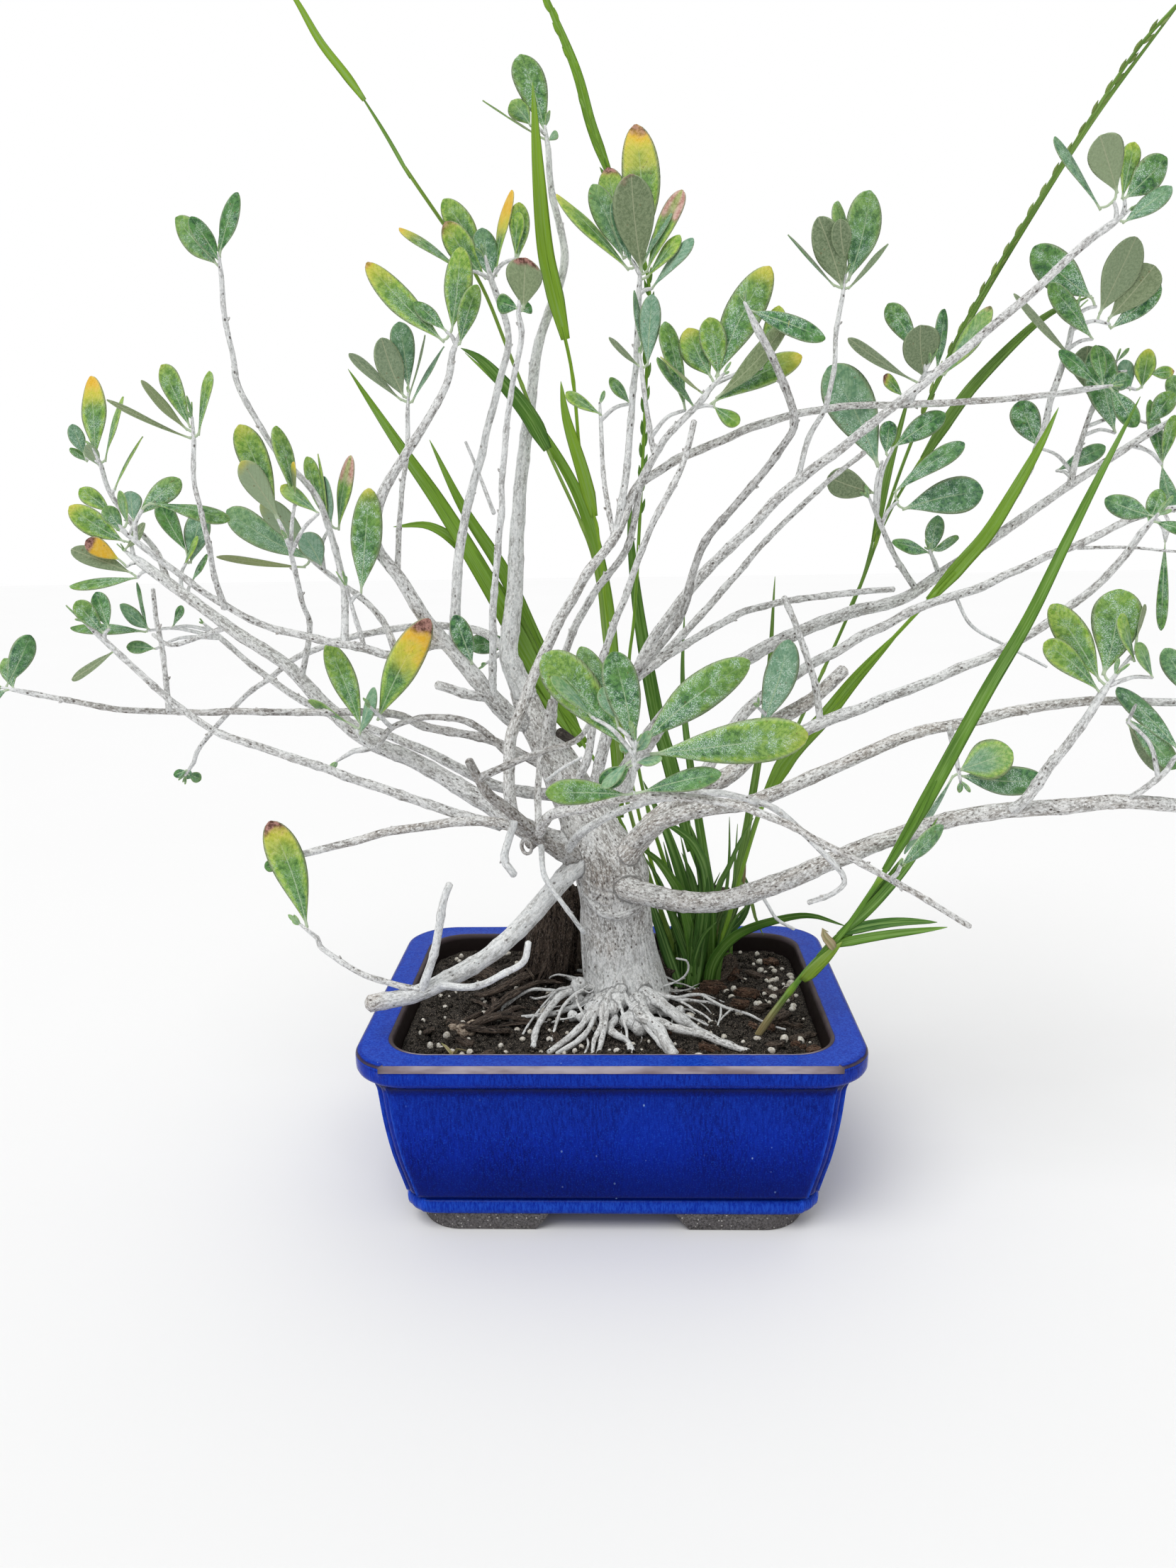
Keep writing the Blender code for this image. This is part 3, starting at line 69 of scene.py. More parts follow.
# Each limb: the radius where it grows out, the radius at its end, and its route.
LIMBS = {
    "collar_ridge": (1.9, 1.9, [(-11, -5, 124), (-6, -9, 118), (4, -11, 115), (13, -7, 118), (17, 0, 124)]),
    "front_low": (4.6, 3.4, [(-12, -2, 137), (-19, -8, 133), (-32, -18, 120), (-48, -30, 107),
        (-63, -40, 100), (-79, -48, 95), (-97, -56, 94)]),
    "front_low_stub": (1.9, 1.5, [(-77, -48, 96), (-70, -50, 116), (-66, -52, 135), (-63, -52, 143)]),
    "front_low_peeled": (1.7, 1.3, [(-70, -46, 98), (-55, -51, 99), (-41, -54, 107), (-34, -56, 112),
        (-32, -56, 120)]),
    "front_low_twig": (1.5, 1.0, [(-78, -49, 97), (-92, -52, 102), (-103, -52, 107), (-117, -50, 116),
        (-118, -50, 120)]),
    "right_low": (5.4, 2.6, [(-3, -2, 129), (15, -14, 126), (42, -26, 126), (70, -33, 137), (111, -40, 157),
        (145, -44, 168), (179, -45, 171), (201, -45, 173), (230, -44, 170)]),
    "right_low_fork": (2.4, 1.6, [(156, -44, 169), (161, -50, 175), (169, -53, 190), (179, -56, 207),
        (184, -57, 217)]),
    "right_low_spur": (1.5, 1.0, [(201, -45, 173), (212, -50, 184), (215, -52, 191)]),
    "right_main": (6.2, 2.6, [(-4, 1, 134), (6, -3, 140), (19, -6, 155), (32, -6, 166), (53, -3, 177),
        (64, 1, 188), (71, 3, 197), (87, 4, 207), (100, 5, 219)]),
    "right_main_fork": (3.0, 1.4, [(64, 1, 188), (79, -4, 193), (89, -6, 198), (115, -10, 209),
        (132, -14, 217), (160, -18, 230), (187, -22, 250), (200, -24, 264), (207, -25, 275)]),
    "right_main_spur": (1.4, 1.0, [(71, 3, 197), (66, -5, 202)]),
    "right_second": (4.0, 1.6, [(10, -5, 146), (22, -14, 158), (38, -18, 164), (58, -22, 168), (70, -24, 173),
        (89, -26, 182), (118, -28, 196), (141, -30, 202), (181, -32, 210), (222, -34, 210)]),
    "right_second_spur": (1.4, 1.0, [(136, -30, 201), (139, -32, 187)]),
    "right_high": (5.0, 1.5, [(-6, 6, 142), (0, 12, 161), (13, 20, 181), (34, 28, 205), (63, 34, 222),
        (98, 40, 237), (132, 44, 246), (150, 46, 257), (172, 50, 271), (193, 54, 285), (219, 57, 302),
        (243, 60, 317), (253, 60, 322)]),
    "right_high_spur": (1.3, 1.0, [(149, 46, 256), (145, 41, 262)]),
    "right_high_shoot": (1.5, 1.0, [(139, 45, 249), (125, 38, 268), (117, 33, 283)]),
    "right_high_pale": (2.0, 1.2, [(166, 49, 267), (185, 46, 300), (192, 42, 331), (196, 40, 349),
        (197, 38, 358)]),
    "right_high_end": (1.6, 1.0, [(207, 55, 294), (213, 60, 316), (218, 62, 330), (223, 62, 340)]),
    "right_middle": (2.9, 1.4, [(36, -5, 167), (46, 0, 185), (60, 5, 203), (79, 8, 216), (94, 10, 225),
        (132, 13, 244), (157, 15, 252), (182, 17, 263), (200, 18, 270), (225, 20, 281), (248, 20, 285)]),
    "arch": (2.9, 1.2, [(-33, -8, 150), (-41, -15, 163), (-41, -15, 192), (-36, -13, 206), (-30, -11, 222),
        (-21, -9, 240), (-9, -7, 260), (4, -3, 277), (13, 4, 296), (35, 14, 309), (57, 22, 318),
        (79, 28, 325), (101, 32, 328), (131, 36, 329), (161, 38, 330), (190, 38, 332), (206, 36, 334)]),
    "arch_fork": (1.9, 1.2, [(13, 3, 295), (23, -3, 313), (38, -6, 328), (41, -6, 332)]),
    "arch_fork_twig": (1.2, 0.9, [(20, -1, 307), (17, -3, 322), (15, -3, 338)]),
    "arch_riser": (1.7, 1.1, [(4, -3, 276), (8, 1, 300), (10, 3, 320), (12, 4, 337), (13, 4, 353),
        (14, 4, 372)]),
    "arch_spur": (1.2, 0.9, [(3, -3, 276), (-1, 6, 298), (-2, 10, 321)]),
    "arch_knot": (1.5, 1.0, [(130, 36, 329), (133, 33, 337)]),
    "riser_right": (2.9, 1.5, [(-13, 8, 158), (-7, 4, 169), (-3, 2, 185), (2, 0, 201), (10, -2, 216),
        (19, -4, 234), (35, -8, 256), (53, -10, 274), (77, -10, 297), (94, -8, 309), (112, -4, 323),
        (136, 2, 341), (150, 6, 352), (171, 10, 369), (190, 14, 386), (203, 18, 395)]),
    "riser_back": (2.0, 1.0, [(10, -2, 216), (19, 6, 223), (34, 12, 236), (56, 17, 260), (75, 21, 280),
        (94, 25, 297), (110, 28, 309)]),
    "riser_dead": (1.9, 1.4, [(6, -1, 209), (12, -9, 221), (26, -15, 238), (32, -19, 251), (37, -22, 270),
        (50, -25, 287), (67, -28, 308), (72, -28, 319), (65, -26, 339), (57, -24, 354)]),
    "riser_low": (1.8, 1.3, [(9, -2, 215), (22, -2, 225), (33, 2, 231), (45, 8, 237), (60, 14, 244),
        (78, 20, 247), (106, 26, 250), (125, 30, 251)]),
    "crossing_twig": (1.5, 1.2, [(89, -6, 198), (84, -9, 222), (72, -10, 251)]),
    "riser_tip": (1.2, 0.9, [(76, -10, 296), (81, -6, 313), (88, -2, 325), (91, 0, 341), (92, 2, 355),
        (94, 2, 367)]),
    "thin_riser": (2.0, 1.2, [(-18, 9, 168), (-12, 3, 176), (-8, 2, 188), (-4, -1, 220), (7, -7, 251),
        (16, -12, 275), (27, -14, 296), (32, -14, 308), (35, -14, 320)]),
    "back_riser": (1.9, 1.4, [(-26, 12, 186), (-23, 3, 208), (-18, 0, 229), (-7, 1, 251), (5, 2, 266),
        (10, 2, 276), (14, 4, 296)]),
    "dark_front": (4.2, 1.7, [(-14, -2, 139), (-19, -8, 142), (-31, -20, 154), (-39, -30, 166),
        (-47, -38, 175), (-51, -44, 184), (-54, -48, 192)]),
    "dark_front_twig": (1.7, 1.0, [(-51, -44, 184), (-34, -52, 193), (-15, -58, 200), (-9, -60, 204),
        (-5, -60, 211)]),
    "hanging_stub": (1.5, 1.6, [(-38, -29, 165), (-43, -33, 149), (-41, -34, 144), (-39, -34, 141)]),
    "peeled_twig": (1.3, 1.0, [(-29, -18, 152), (-27, -25, 138), (-19, -27, 125), (-11, -24, 112)]),
    "cut_twig": (1.5, 1.3, [(-30, -16, 155), (-30, -9, 172), (-28, -8, 191), (-24, -6, 209)]),
    "whip": (2.4, 1.0, [(-30, -20, 155), (-23, -36, 167), (-9, -54, 174), (3, -68, 181), (21, -76, 184),
        (46, -80, 181), (63, -80, 175), (80, -80, 166), (98, -79, 156), (115, -78, 146), (135, -76, 133)]),
    "whip_shoot": (1.4, 1.0, [(8, -71, 182), (10, -76, 192), (10, -78, 198)]),
    "whip_tip": (1.1, 0.9, [(105, -79, 152), (105, -84, 156)]),
    "whip_inner": (2.0, 1.0, [(-18, -10, 145), (-11, -26, 157), (3, -38, 168), (21, -50, 177), (41, -56, 180),
        (61, -60, 176), (74, -62, 166), (90, -62, 149), (87, -62, 142), (77, -62, 138)]),
    "left_front": (3.0, 1.4, [(-14, -1, 137), (-32, -10, 150), (-44, -14, 157), (-61, -18, 160),
        (-77, -22, 159), (-94, -26, 157), (-112, -30, 153), (-128, -34, 150)]),
    "left_main": (5.0, 2.2, [(-12, 3, 141), (-36, 0, 151), (-56, 2, 164), (-81, 8, 178), (-112, 15, 192),
        (-144, 24, 221), (-165, 30, 234), (-191, 36, 252), (-212, 40, 267)]),
    "left_back": (3.0, 1.3, [(-20, 12, 163), (-52, 18, 167), (-84, 28, 181), (-121, 40, 193), (-144, 46, 202),
        (-166, 52, 216), (-185, 56, 232)]),
    "left_upper": (2.2, 1.2, [(-62, 0, 229), (-71, -4, 233), (-89, -8, 229), (-101, -10, 232),
        (-126, -12, 238), (-145, -14, 244), (-159, -16, 253), (-173, -18, 264), (-187, -20, 276)]),
    "left_rear": (2.0, 1.1, [(-42, 18, 223), (-54, 26, 234), (-76, 36, 237), (-99, 46, 235), (-122, 54, 230),
        (-146, 60, 222), (-163, 66, 211), (-181, 70, 199), (-204, 74, 176), (-209, 75, 167)]),
    "left_level": (2.2, 1.1, [(-31, 13, 178), (-52, 6, 190), (-79, 2, 197), (-92, 0, 203), (-123, -8, 205),
        (-153, -16, 207), (-177, -20, 208), (-201, -24, 210), (-220, -26, 214), (-238, -27, 218)]),
    "left_long": (2.4, 1.2, [(-46, -14, 157), (-65, -17, 163), (-77, -19, 168), (-98, -22, 177),
        (-111, -24, 182), (-133, -28, 191), (-159, -32, 202), (-178, -34, 218), (-200, -36, 241)]),
    "left_long_riser": (1.3, 0.9, [(-181, -21, 208), (-182, -20, 225), (-184, -18, 246), (-185, -16, 258)]),
    "left_main_spur": (1.3, 0.9, [(-172, 31, 238), (-191, 40, 232), (-203, 43, 229), (-211, 44, 234)]),
    "left_main_riser": (1.4, 1.0, [(-137, 22, 216), (-128, 8, 239), (-127, -4, 251), (-127, -16, 270)]),
    "left_main_top": (1.6, 1.0, [(-199, 38, 257), (-207, 45, 273), (-217, 44, 286), (-223, 40, 299),
        (-224, 37, 309)]),
    "left_arched": (1.8, 1.1, [(-39, 9, 181), (-43, -2, 185), (-49, -4, 192), (-56, -5, 198), (-66, -6, 202),
        (-78, -6, 202), (-92, -6, 198), (-99, -6, 190), (-109, -6, 188)]),
    "left_arched_spur": (1.1, 0.9, [(-92, -6, 198), (-95, -11, 203)]),
    "left_riser": (4.6, 1.3, [(-34, 15, 196), (-42, 10, 199), (-49, 6, 207), (-56, 2, 217), (-64, -1, 228),
        (-76, -4, 243), (-85, -8, 260), (-94, -10, 275), (-90, -12, 294), (-73, -14, 318), (-62, -14, 335),
        (-59, -14, 347)]),
    "left_riser_stub": (2.2, 1.9, [(-51, 5, 209), (-61, -2, 212), (-72, -6, 216)]),
    "crown_left": (2.5, 1.2, [(-65, -1, 230), (-63, 3, 259), (-59, 6, 284), (-52, 8, 309), (-43, 9, 339),
        (-39, 8, 357), (-45, 5, 377)]),
    "crown_front": (1.8, 1.0, [(-50, 4, 208), (-47, -6, 247), (-44, -8, 272), (-41, -10, 302),
        (-37, -12, 331), (-32, -12, 352), (-33, -12, 361)]),
    "crown_top": (5.0, 1.2, [(-37, 16, 208), (-42, 18, 220), (-44, 20, 228), (-41, 26, 251), (-39, 32, 287),
        (-33, 36, 331), (-29, 38, 355), (-23, 38, 372), (-17, 38, 391), (-22, 38, 417), (-23, 38, 433)]),
    "crown_dark": (1.4, 1.0, [(-43, 21, 229), (-50, 28, 224)]),
    "left_tall": (1.7, 1.0, [(-109, -10, 234), (-110, -3, 259), (-117, -6, 292), (-132, -10, 312),
        (-144, -12, 335), (-146, -12, 348), (-148, -12, 362), (-148, -12, 377)]),
    "left_tall_outer": (1.4, 0.9, [(-156, -16, 250), (-157, -22, 262), (-157, -26, 274), (-158, -28, 289),
        (-160, -28, 301), (-159, -27, 315)]),
    "left_upper_fork": (1.7, 1.1, [(-88, -8, 229), (-94, -2, 242), (-104, 4, 252), (-117, 8, 261),
        (-122, 8, 265)]),
    "left_upper_spur": (1.1, 0.9, [(-101, -10, 232), (-103, -13, 243), (-104, -15, 250)]),
    "left_inner": (1.3, 0.9, [(-86, -8, 263), (-86, -3, 273), (-85, -1, 288), (-81, -1, 309),
        (-80, -1, 325)]),
}

# Each grass node: stems as radius and route, and blades as width and route.
GRASS = {
    "grass_tall_left": {
        "stems": [(1.3, [(34, 26, 58), (34, 26, 70), (17, 30, 122), (6, 28, 164), (2, 26, 196), (-2, 26, 232),
            (-7, 26, 269), (-25, 22, 312), (-40, 20, 351), (-53, 18, 382), (-79, 14, 421)])],
        "blades": [],
    },
    "grass_tall_middle": {
        "stems": [(1.3, [(40, 34, 58), (40, 34, 70), (22, 36, 114), (11, 36, 158), (3, 36, 205),
            (-4, 34, 273), (-6, 34, 284), (-11, 32, 304), (-14, 30, 341), (-18, 29, 362)])],
        "blades": [(6.0, [(-6, 34, 284), (-11, 30, 304), (-17, 28, 325), (-19, 26, 340)]),
            (7.4, [(-17, 29, 357), (-22, 28, 378), (-25, 27, 394), (-27, 26, 425), (-28, 25, 454)])],
    },
    "grass_tall_back": {
        "stems": [(1.3, [(46, 42, 58), (46, 42, 70), (29, 45, 111), (14, 46, 163), (9, 46, 213),
            (12, 45, 246), (17, 42, 336), (18, 40, 384), (4, 36, 416), (-2, 36, 431)])],
        "blades": [(4.6, [(3, 36, 420), (-5, 35, 440), (-11, 34, 461), (-22, 32, 486), (-26, 31, 497)])],
    },
    "grass_left_tuft": {
        "stems": [(1.5, [(30, 33, 58), (30, 33, 70), (21, 34, 107), (3, 31, 150), (-5, 30, 172),
            (-17, 30, 190)])],
        "blades": [(9.5, [(-12, 30, 183), (-28, 31, 206), (-39, 34, 231), (-49, 34, 250), (-63, 33, 270),
            (-78, 32, 281), (-94, 30, 281)]), (8.6, [(-26, 31, 203), (-42, 30, 234), (-53, 31, 255),
            (-72, 31, 288), (-91, 30, 317), (-110, 30, 347)]), (7.6, [(-14, 30, 186), (-34, 37, 230),
            (-47, 40, 260), (-64, 40, 288), (-78, 40, 318)]), (7.0, [(4, 32, 148), (2, 40, 200),
            (-2, 44, 250), (-12, 47, 290), (-30, 49, 322), (-46, 49, 340), (-62, 48, 355)])],
    },
    "grass_seed_stalk": {
        "stems": [(1.4, [(50, 31, 58), (50, 31, 70), (56, 46, 98), (75, 62, 152), (95, 72, 193),
            (120, 80, 249), (140, 84, 309), (160, 86, 358), (180, 86, 395), (205, 86, 436), (231, 84, 477),
            (248, 84, 496)]), (1.2, [(128, 82, 274), (140, 84, 296), (154, 84, 318)]), (1.1, [(116, 79, 240),
            (123, 86, 255), (131, 90, 288)])],
        "blades": [(3.2, [(150, 85, 335), (166, 86, 369), (192, 86, 414), (218, 85, 455), (254, 84, 503)]),
            (6.0, [(148, 84, 308), (160, 83, 328), (173, 82, 345), (198, 80, 369), (219, 78, 378)]),
            (4.0, [(127, 88, 270), (134, 91, 305), (139, 92, 325), (143, 92, 341)]), (4.0, [(55, 43, 92),
            (65, 50, 142), (73, 52, 200), (76, 53, 256)])],
    },
    "grass_bright": {
        "stems": [(1.5, [(46, 20, 58), (46, 20, 70), (60, 25, 124), (72, 27, 163), (81, 28, 178),
            (96, 28, 195), (110, 28, 213), (129, 28, 234), (151, 30, 258)])],
        "blades": [(8.0, [(70, 27, 158), (81, 28, 178), (96, 28, 195), (110, 28, 213), (129, 28, 234)]),
            (6.5, [(140, 29, 246), (154, 30, 262), (166, 30, 277), (183, 30, 308), (191, 30, 326)])],
    },
    "grass_behind_trunk": {
        "stems": [(1.6, [(54, 44, 58), (54, 44, 70), (44, 50, 110), (33, 54, 140)])],
        "blades": [(7.5, [(38, 52, 126), (28, 54, 168), (22, 54, 190), (14, 54, 237), (10, 54, 277),
            (11, 54, 297)]), (4.5, [(52, 46, 80), (44, 56, 126), (36, 59, 180), (34, 59, 210),
            (35, 59, 241)])],
    },
    "grass_by_trunk": {
        "stems": [(1.6, [(38, 18, 58), (38, 18, 70), (38, 19, 84)])],
        "blades": [(5.0, [(38, 19, 74), (39, 20, 100), (42, 22, 119), (37, 24, 139)]), (5.0, [(38, 18, 76),
            (31, 22, 95), (25, 22, 112), (22, 23, 122)]), (6.0, [(38, 19, 76), (36, 25, 105), (27, 28, 138),
            (15, 34, 165)])],
    },
    "grass_right_shoot": {
        "stems": [(1.8, [(62, -34, 58), (62, -34, 70), (81, -40, 102), (94, -47, 121), (115, -55, 162),
            (124, -58, 185)])],
        "blades": [(6.0, [(108, -52, 148), (120, -57, 175), (139, -62, 218), (152, -66, 246), (162, -70, 273),
            (170, -72, 293), (182, -74, 321)]), (4.0, [(90, -45, 114), (97, -47, 117), (110, -51, 121),
            (122, -55, 124), (132, -57, 126)])],
    },
    "grass_sprout": {
        "stems": [(0.9, [(-64, -56, 68), (-64, -56, 71), (-64, -56, 73)])],
        "blades": [(1.3, [(-64, -56, 71), (-66, -55, 74), (-69, -53, 75.5)]), (1.3, [(-64, -56, 71),
            (-62, -57, 75), (-58, -57, 74)])],
    },
}

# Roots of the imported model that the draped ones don't stand in for, by the number that sets how each bends:
# the way it runs from the trunk in degrees, its reach and its radius.
ROOTS = {1: (-141, 58, 1.7), 9: (162, 42, 1.8), 10: (128, 38, 2.0)}

def curve_points(points, spacing):
    """A smooth curve through the points, with an added point for about every spacing of length."""
    pts = [np.array(p, float) for p in points]
    ends = [2 * pts[0] - pts[1]] + pts + [2 * pts[-1] - pts[-2]]
    out = []
    for a, b, c, d in zip(ends, ends[1:], ends[2:], ends[3:]):
        count = max(1, round(float(np.linalg.norm((c - b)[:3])) / spacing))
        for t in np.arange(count) / count:
            out.append(0.5 * (2 * b + (c - a) * t + (2 * a - 5 * b + 4 * c - d) * t**2
                              + (3 * b - a - 3 * c + d) * t**3))
    out.append(pts[-1])
    return np.array(out)


def even_points(path, spacing):
    """The same path with points an even distance apart."""
    steps = length_along(path)
    count = max(2, math.ceil(steps[-1] / spacing) + 1)
    wanted = np.linspace(0.0, steps[-1], count)
    return np.array([np.interp(wanted, steps, path[:, i]) for i in range(path.shape[1])]).T


def smooth_path(route, knots, spacing):
    """A smooth way along a route, with points an even distance apart."""
    return even_points(curve_points(route, knots), spacing)

def length_along(path):
    """How far along the path each of its points lies."""
    return np.concatenate([[0.0], np.cumsum(np.linalg.norm(np.diff(path, axis=0), axis=1))])

def directions(path):
    """The way the path runs at each of its points."""
    tangents = np.gradient(path, axis=0)
    return tangents / np.linalg.norm(tangents, axis=1)[:, None]

def frames_along(path, start_side):
    """Directions and side vectors along a path, carried from point to point without twist."""
    tangents = directions(path)
    sides = []
    side = np.array(start_side, float)
    for tangent in tangents:
        side = side - tangent * (side @ tangent)
        side = side / np.linalg.norm(side)
        sides.append(side)
    return tangents, np.array(sides)


def limb_end(name):
    """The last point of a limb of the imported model, and its last step."""
    _, _, route = LIMBS[name]
    path = smooth_path(route, 6.0, LIMB_SPACING)
    return path[-1], path[-1] - path[-2]


def soil_height(x, y):
    """Height of the soil, which rises gently to the trunk."""
    away = math.hypot(x - TRUNK_X, y - TRUNK_Y)
    return SOIL_EDGE + SOIL_MOUND * math.exp(-((away / 55.0) ** 2))


def root_paths():
    """The exposed roots, which leave the trunk's foot and run out just over the soil."""
    paths = []
    for k, (heading, reach, radius) in ROOTS.items():
        path = []
        for step in range(6):
            part = step / 5
            away = 13.0 + (reach - 13.0) * part
            turn = math.radians(heading + 9.0 * math.sin(2.6 * part + k) - 9.0 * math.sin(k))
            x = TRUNK_X + away * math.cos(turn)
            y = TRUNK_Y + away * math.sin(turn)
            thin = radius * (1.0 - 0.62 * part)
            rest = soil_height(x, y) + SOIL_BUMP + thin + 0.6
            height = rest + 3.2 * (1.0 - part) ** 2 + 0.9 * math.sin(3.1 * part + 2 * k) ** 2
            path.append((x, y, height, thin))
        paths.append(np.array(path))
    return paths


def inner_size(z):
    """Length, depth and corner of the pot's inside at height z."""
    part = min(1.0, (z - FLOOR_TOP) / (POT_HEIGHT - FLOOR_TOP))
    mouth = (POT_LENGTH - 2 * RIM_WIDTH, POT_DEPTH - 2 * RIM_WIDTH, RIM_CORNER - 7.0)
    floor = (INNER_FLOOR_LENGTH, INNER_FLOOR_DEPTH, INNER_FLOOR_CORNER)
    return [a + (b - a) * part for a, b in zip(floor, mouth)]


def leaf_facing(direction, turn):
    """The way the broad side faces: the viewer at turn 0, edge-on at turn 90."""
    front = np.array([0.0, -1.0, 0.12])
    face = front - direction * (front @ direction)
    face = face / np.linalg.norm(face)
    t = math.radians(turn)
    return face * math.cos(t) + np.cross(direction, face) * math.sin(t)

class Shape:
    """Points, faces and named point values of one piece, gathered part by part in millimetres."""

    def __init__(self):
        self.points, self.faces, self.values, self.count = [], [], {}, 0

    def add(self, points, faces, **values):
        for key, value in values.items():
            value = np.asarray(value, float)
            if value.shape[:1] != (len(points),):
                value = np.broadcast_to(value, (len(points), *value.shape))
            self.values.setdefault(key, []).append(value)
        self.points.append(points)
        self.faces += [[i + self.count for i in face] for face in faces]
        self.count += len(points)

    def mesh(self, name):
        mesh = bpy.data.meshes.new(name)
        mesh.from_pydata((np.concatenate(self.points) * MM).tolist(), [], self.faces)
        for key, parts in self.values.items():
            set_value(mesh, key, np.concatenate(parts))
        mesh.shade_smooth()
        return mesh


def set_value(mesh, key, data):
    """Stores a number or a vector for each point of the mesh, for its material to read."""
    kind, field = ("FLOAT", "value") if data.ndim == 1 else ("FLOAT_VECTOR", "vector")
    layer = mesh.attributes.get(key) or mesh.attributes.new(key, kind, "POINT")
    layer.data.foreach_set(field, np.ascontiguousarray(data, np.float32).ravel())


def add_object(name, data):
    """A new object in the scene."""
    made = bpy.data.objects.new(name, data)
    bpy.context.scene.collection.objects.link(made)
    return made

def make_piece(name, form, material, replaces, crease=None):
    """Makes a shape or a mesh one piece of the scene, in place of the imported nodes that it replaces."""
    mesh = form.mesh(name) if isinstance(form, Shape) else form
    if crease:
        mesh.set_sharp_from_angle(angle=math.radians(crease))
    mesh.materials.clear()
    mesh.materials.append(material)
    piece = add_object(name, mesh)
    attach(piece, "root")
    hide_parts(*replaces)


def read_vectors(mesh, field):
    """One vector for each point of a mesh."""
    data = np.zeros(len(mesh.vertices) * 3, np.float32)
    mesh.vertices.foreach_get(field, data)
    return data.reshape(-1, 3).astype(float)


def after_modifier(mesh, kind, **settings):
    """The mesh that one modifier makes of this one."""
    holder = add_object("holder", mesh)
    step = holder.modifiers.new("step", kind)
    for key, value in settings.items():
        setattr(step, key, value)
    graph = bpy.context.evaluated_depsgraph_get()
    result = bpy.data.meshes.new_from_object(holder.evaluated_get(graph))
    bpy.data.objects.remove(holder, do_unlink=True)
    return result


def noise(points, size, seed=0):
    """Smooth noise from -1 to 1 at each point, with features of the given size."""
    scaled = np.asarray(points, float) / size + 17.3 * seed
    cell = np.floor(scaled).astype(np.int64)
    part = scaled - cell
    part = part * part * (3.0 - 2.0 * part)
    total = np.zeros(len(scaled))
    for corner in range(8):
        step = np.array([corner & 1, corner >> 1 & 1, corner >> 2])
        x, y, z = (cell + step).T
        mixed = (x * 73856093) ^ (y * 19349663) ^ (z * 83492791) ^ (seed * 2654435)
        mixed = (mixed ^ (mixed >> 13)) * 1274126177
        value = ((mixed ^ (mixed >> 16)) & 0xFFFF) / 32767.5 - 1.0
        total += value * np.where(step == 1, part, 1.0 - part).prod(axis=1)
    return total


def layered(points, size, seed):
    """Noise with two finer layers laid over it."""
    return sum(noise(points, size / 2**k, seed + k) / 2**k for k in range(3))


def smoothstep(low, high, value):
    """A smooth rise from 0 at the low value to 1 at the high one."""
    t = np.clip((value - low) / (high - low), 0.0, 1.0)
    return t * t * (3.0 - 2.0 * t)


def bell(value, width):
    """A soft hump: 1 at zero, and less the farther away."""
    return np.exp(-((value / width) ** 2))


def grid_faces(rows, columns):
    """Faces between rows of points that each close on themselves, with a lid on both ends."""
    faces = []
    for i in range(rows - 1):
        for j in range(columns):
            k = (j + 1) % columns
            faces.append([i * columns + j, i * columns + k, (i + 1) * columns + k, (i + 1) * columns + j])
    last = (rows - 1) * columns
    return faces + [list(range(columns))[::-1], list(range(last, last + columns))]


def add_tube(shape, path, radii, sides, start=0.0, **values):
    """A tube with rounded ends; bark holds the place round and along it."""
    tangents, across = frames_along(path, (0.31, 0.83, 0.46))
    rows = np.concatenate([[0], np.arange(len(path)), [len(path) - 1]])
    radii = np.asarray(radii, float)[rows]
    radii[[0, -1]] *= 0.45
    path = np.asarray(path, float)[rows]
    path[0] -= tangents[0] * radii[0]
    path[-1] += tangents[-1] * radii[-1]
    tangents, across = tangents[rows], across[rows]
    turn = np.arange(sides) * 2.0 * math.pi / sides
    out = (np.cos(turn)[None, :, None] * across[:, None]
           + np.sin(turn)[None, :, None] * np.cross(tangents, across)[:, None])
    points = path[:, None] + out * radii[:, None, None]
    bark = np.stack([np.outer(radii, np.cos(turn)).ravel(), np.outer(radii, np.sin(turn)).ravel(),
                     np.repeat(length_along(path) + start, sides)], axis=1)
    spread = {}
    for key, value in values.items():
        varies = len(np.shape(value)) and len(value) == len(path) - 2
        spread[key] = np.repeat(value[rows], sides, axis=0) if varies else value
    shape.add(points.reshape(-1, 3), grid_faces(len(path), sides), bark=bark, **spread)


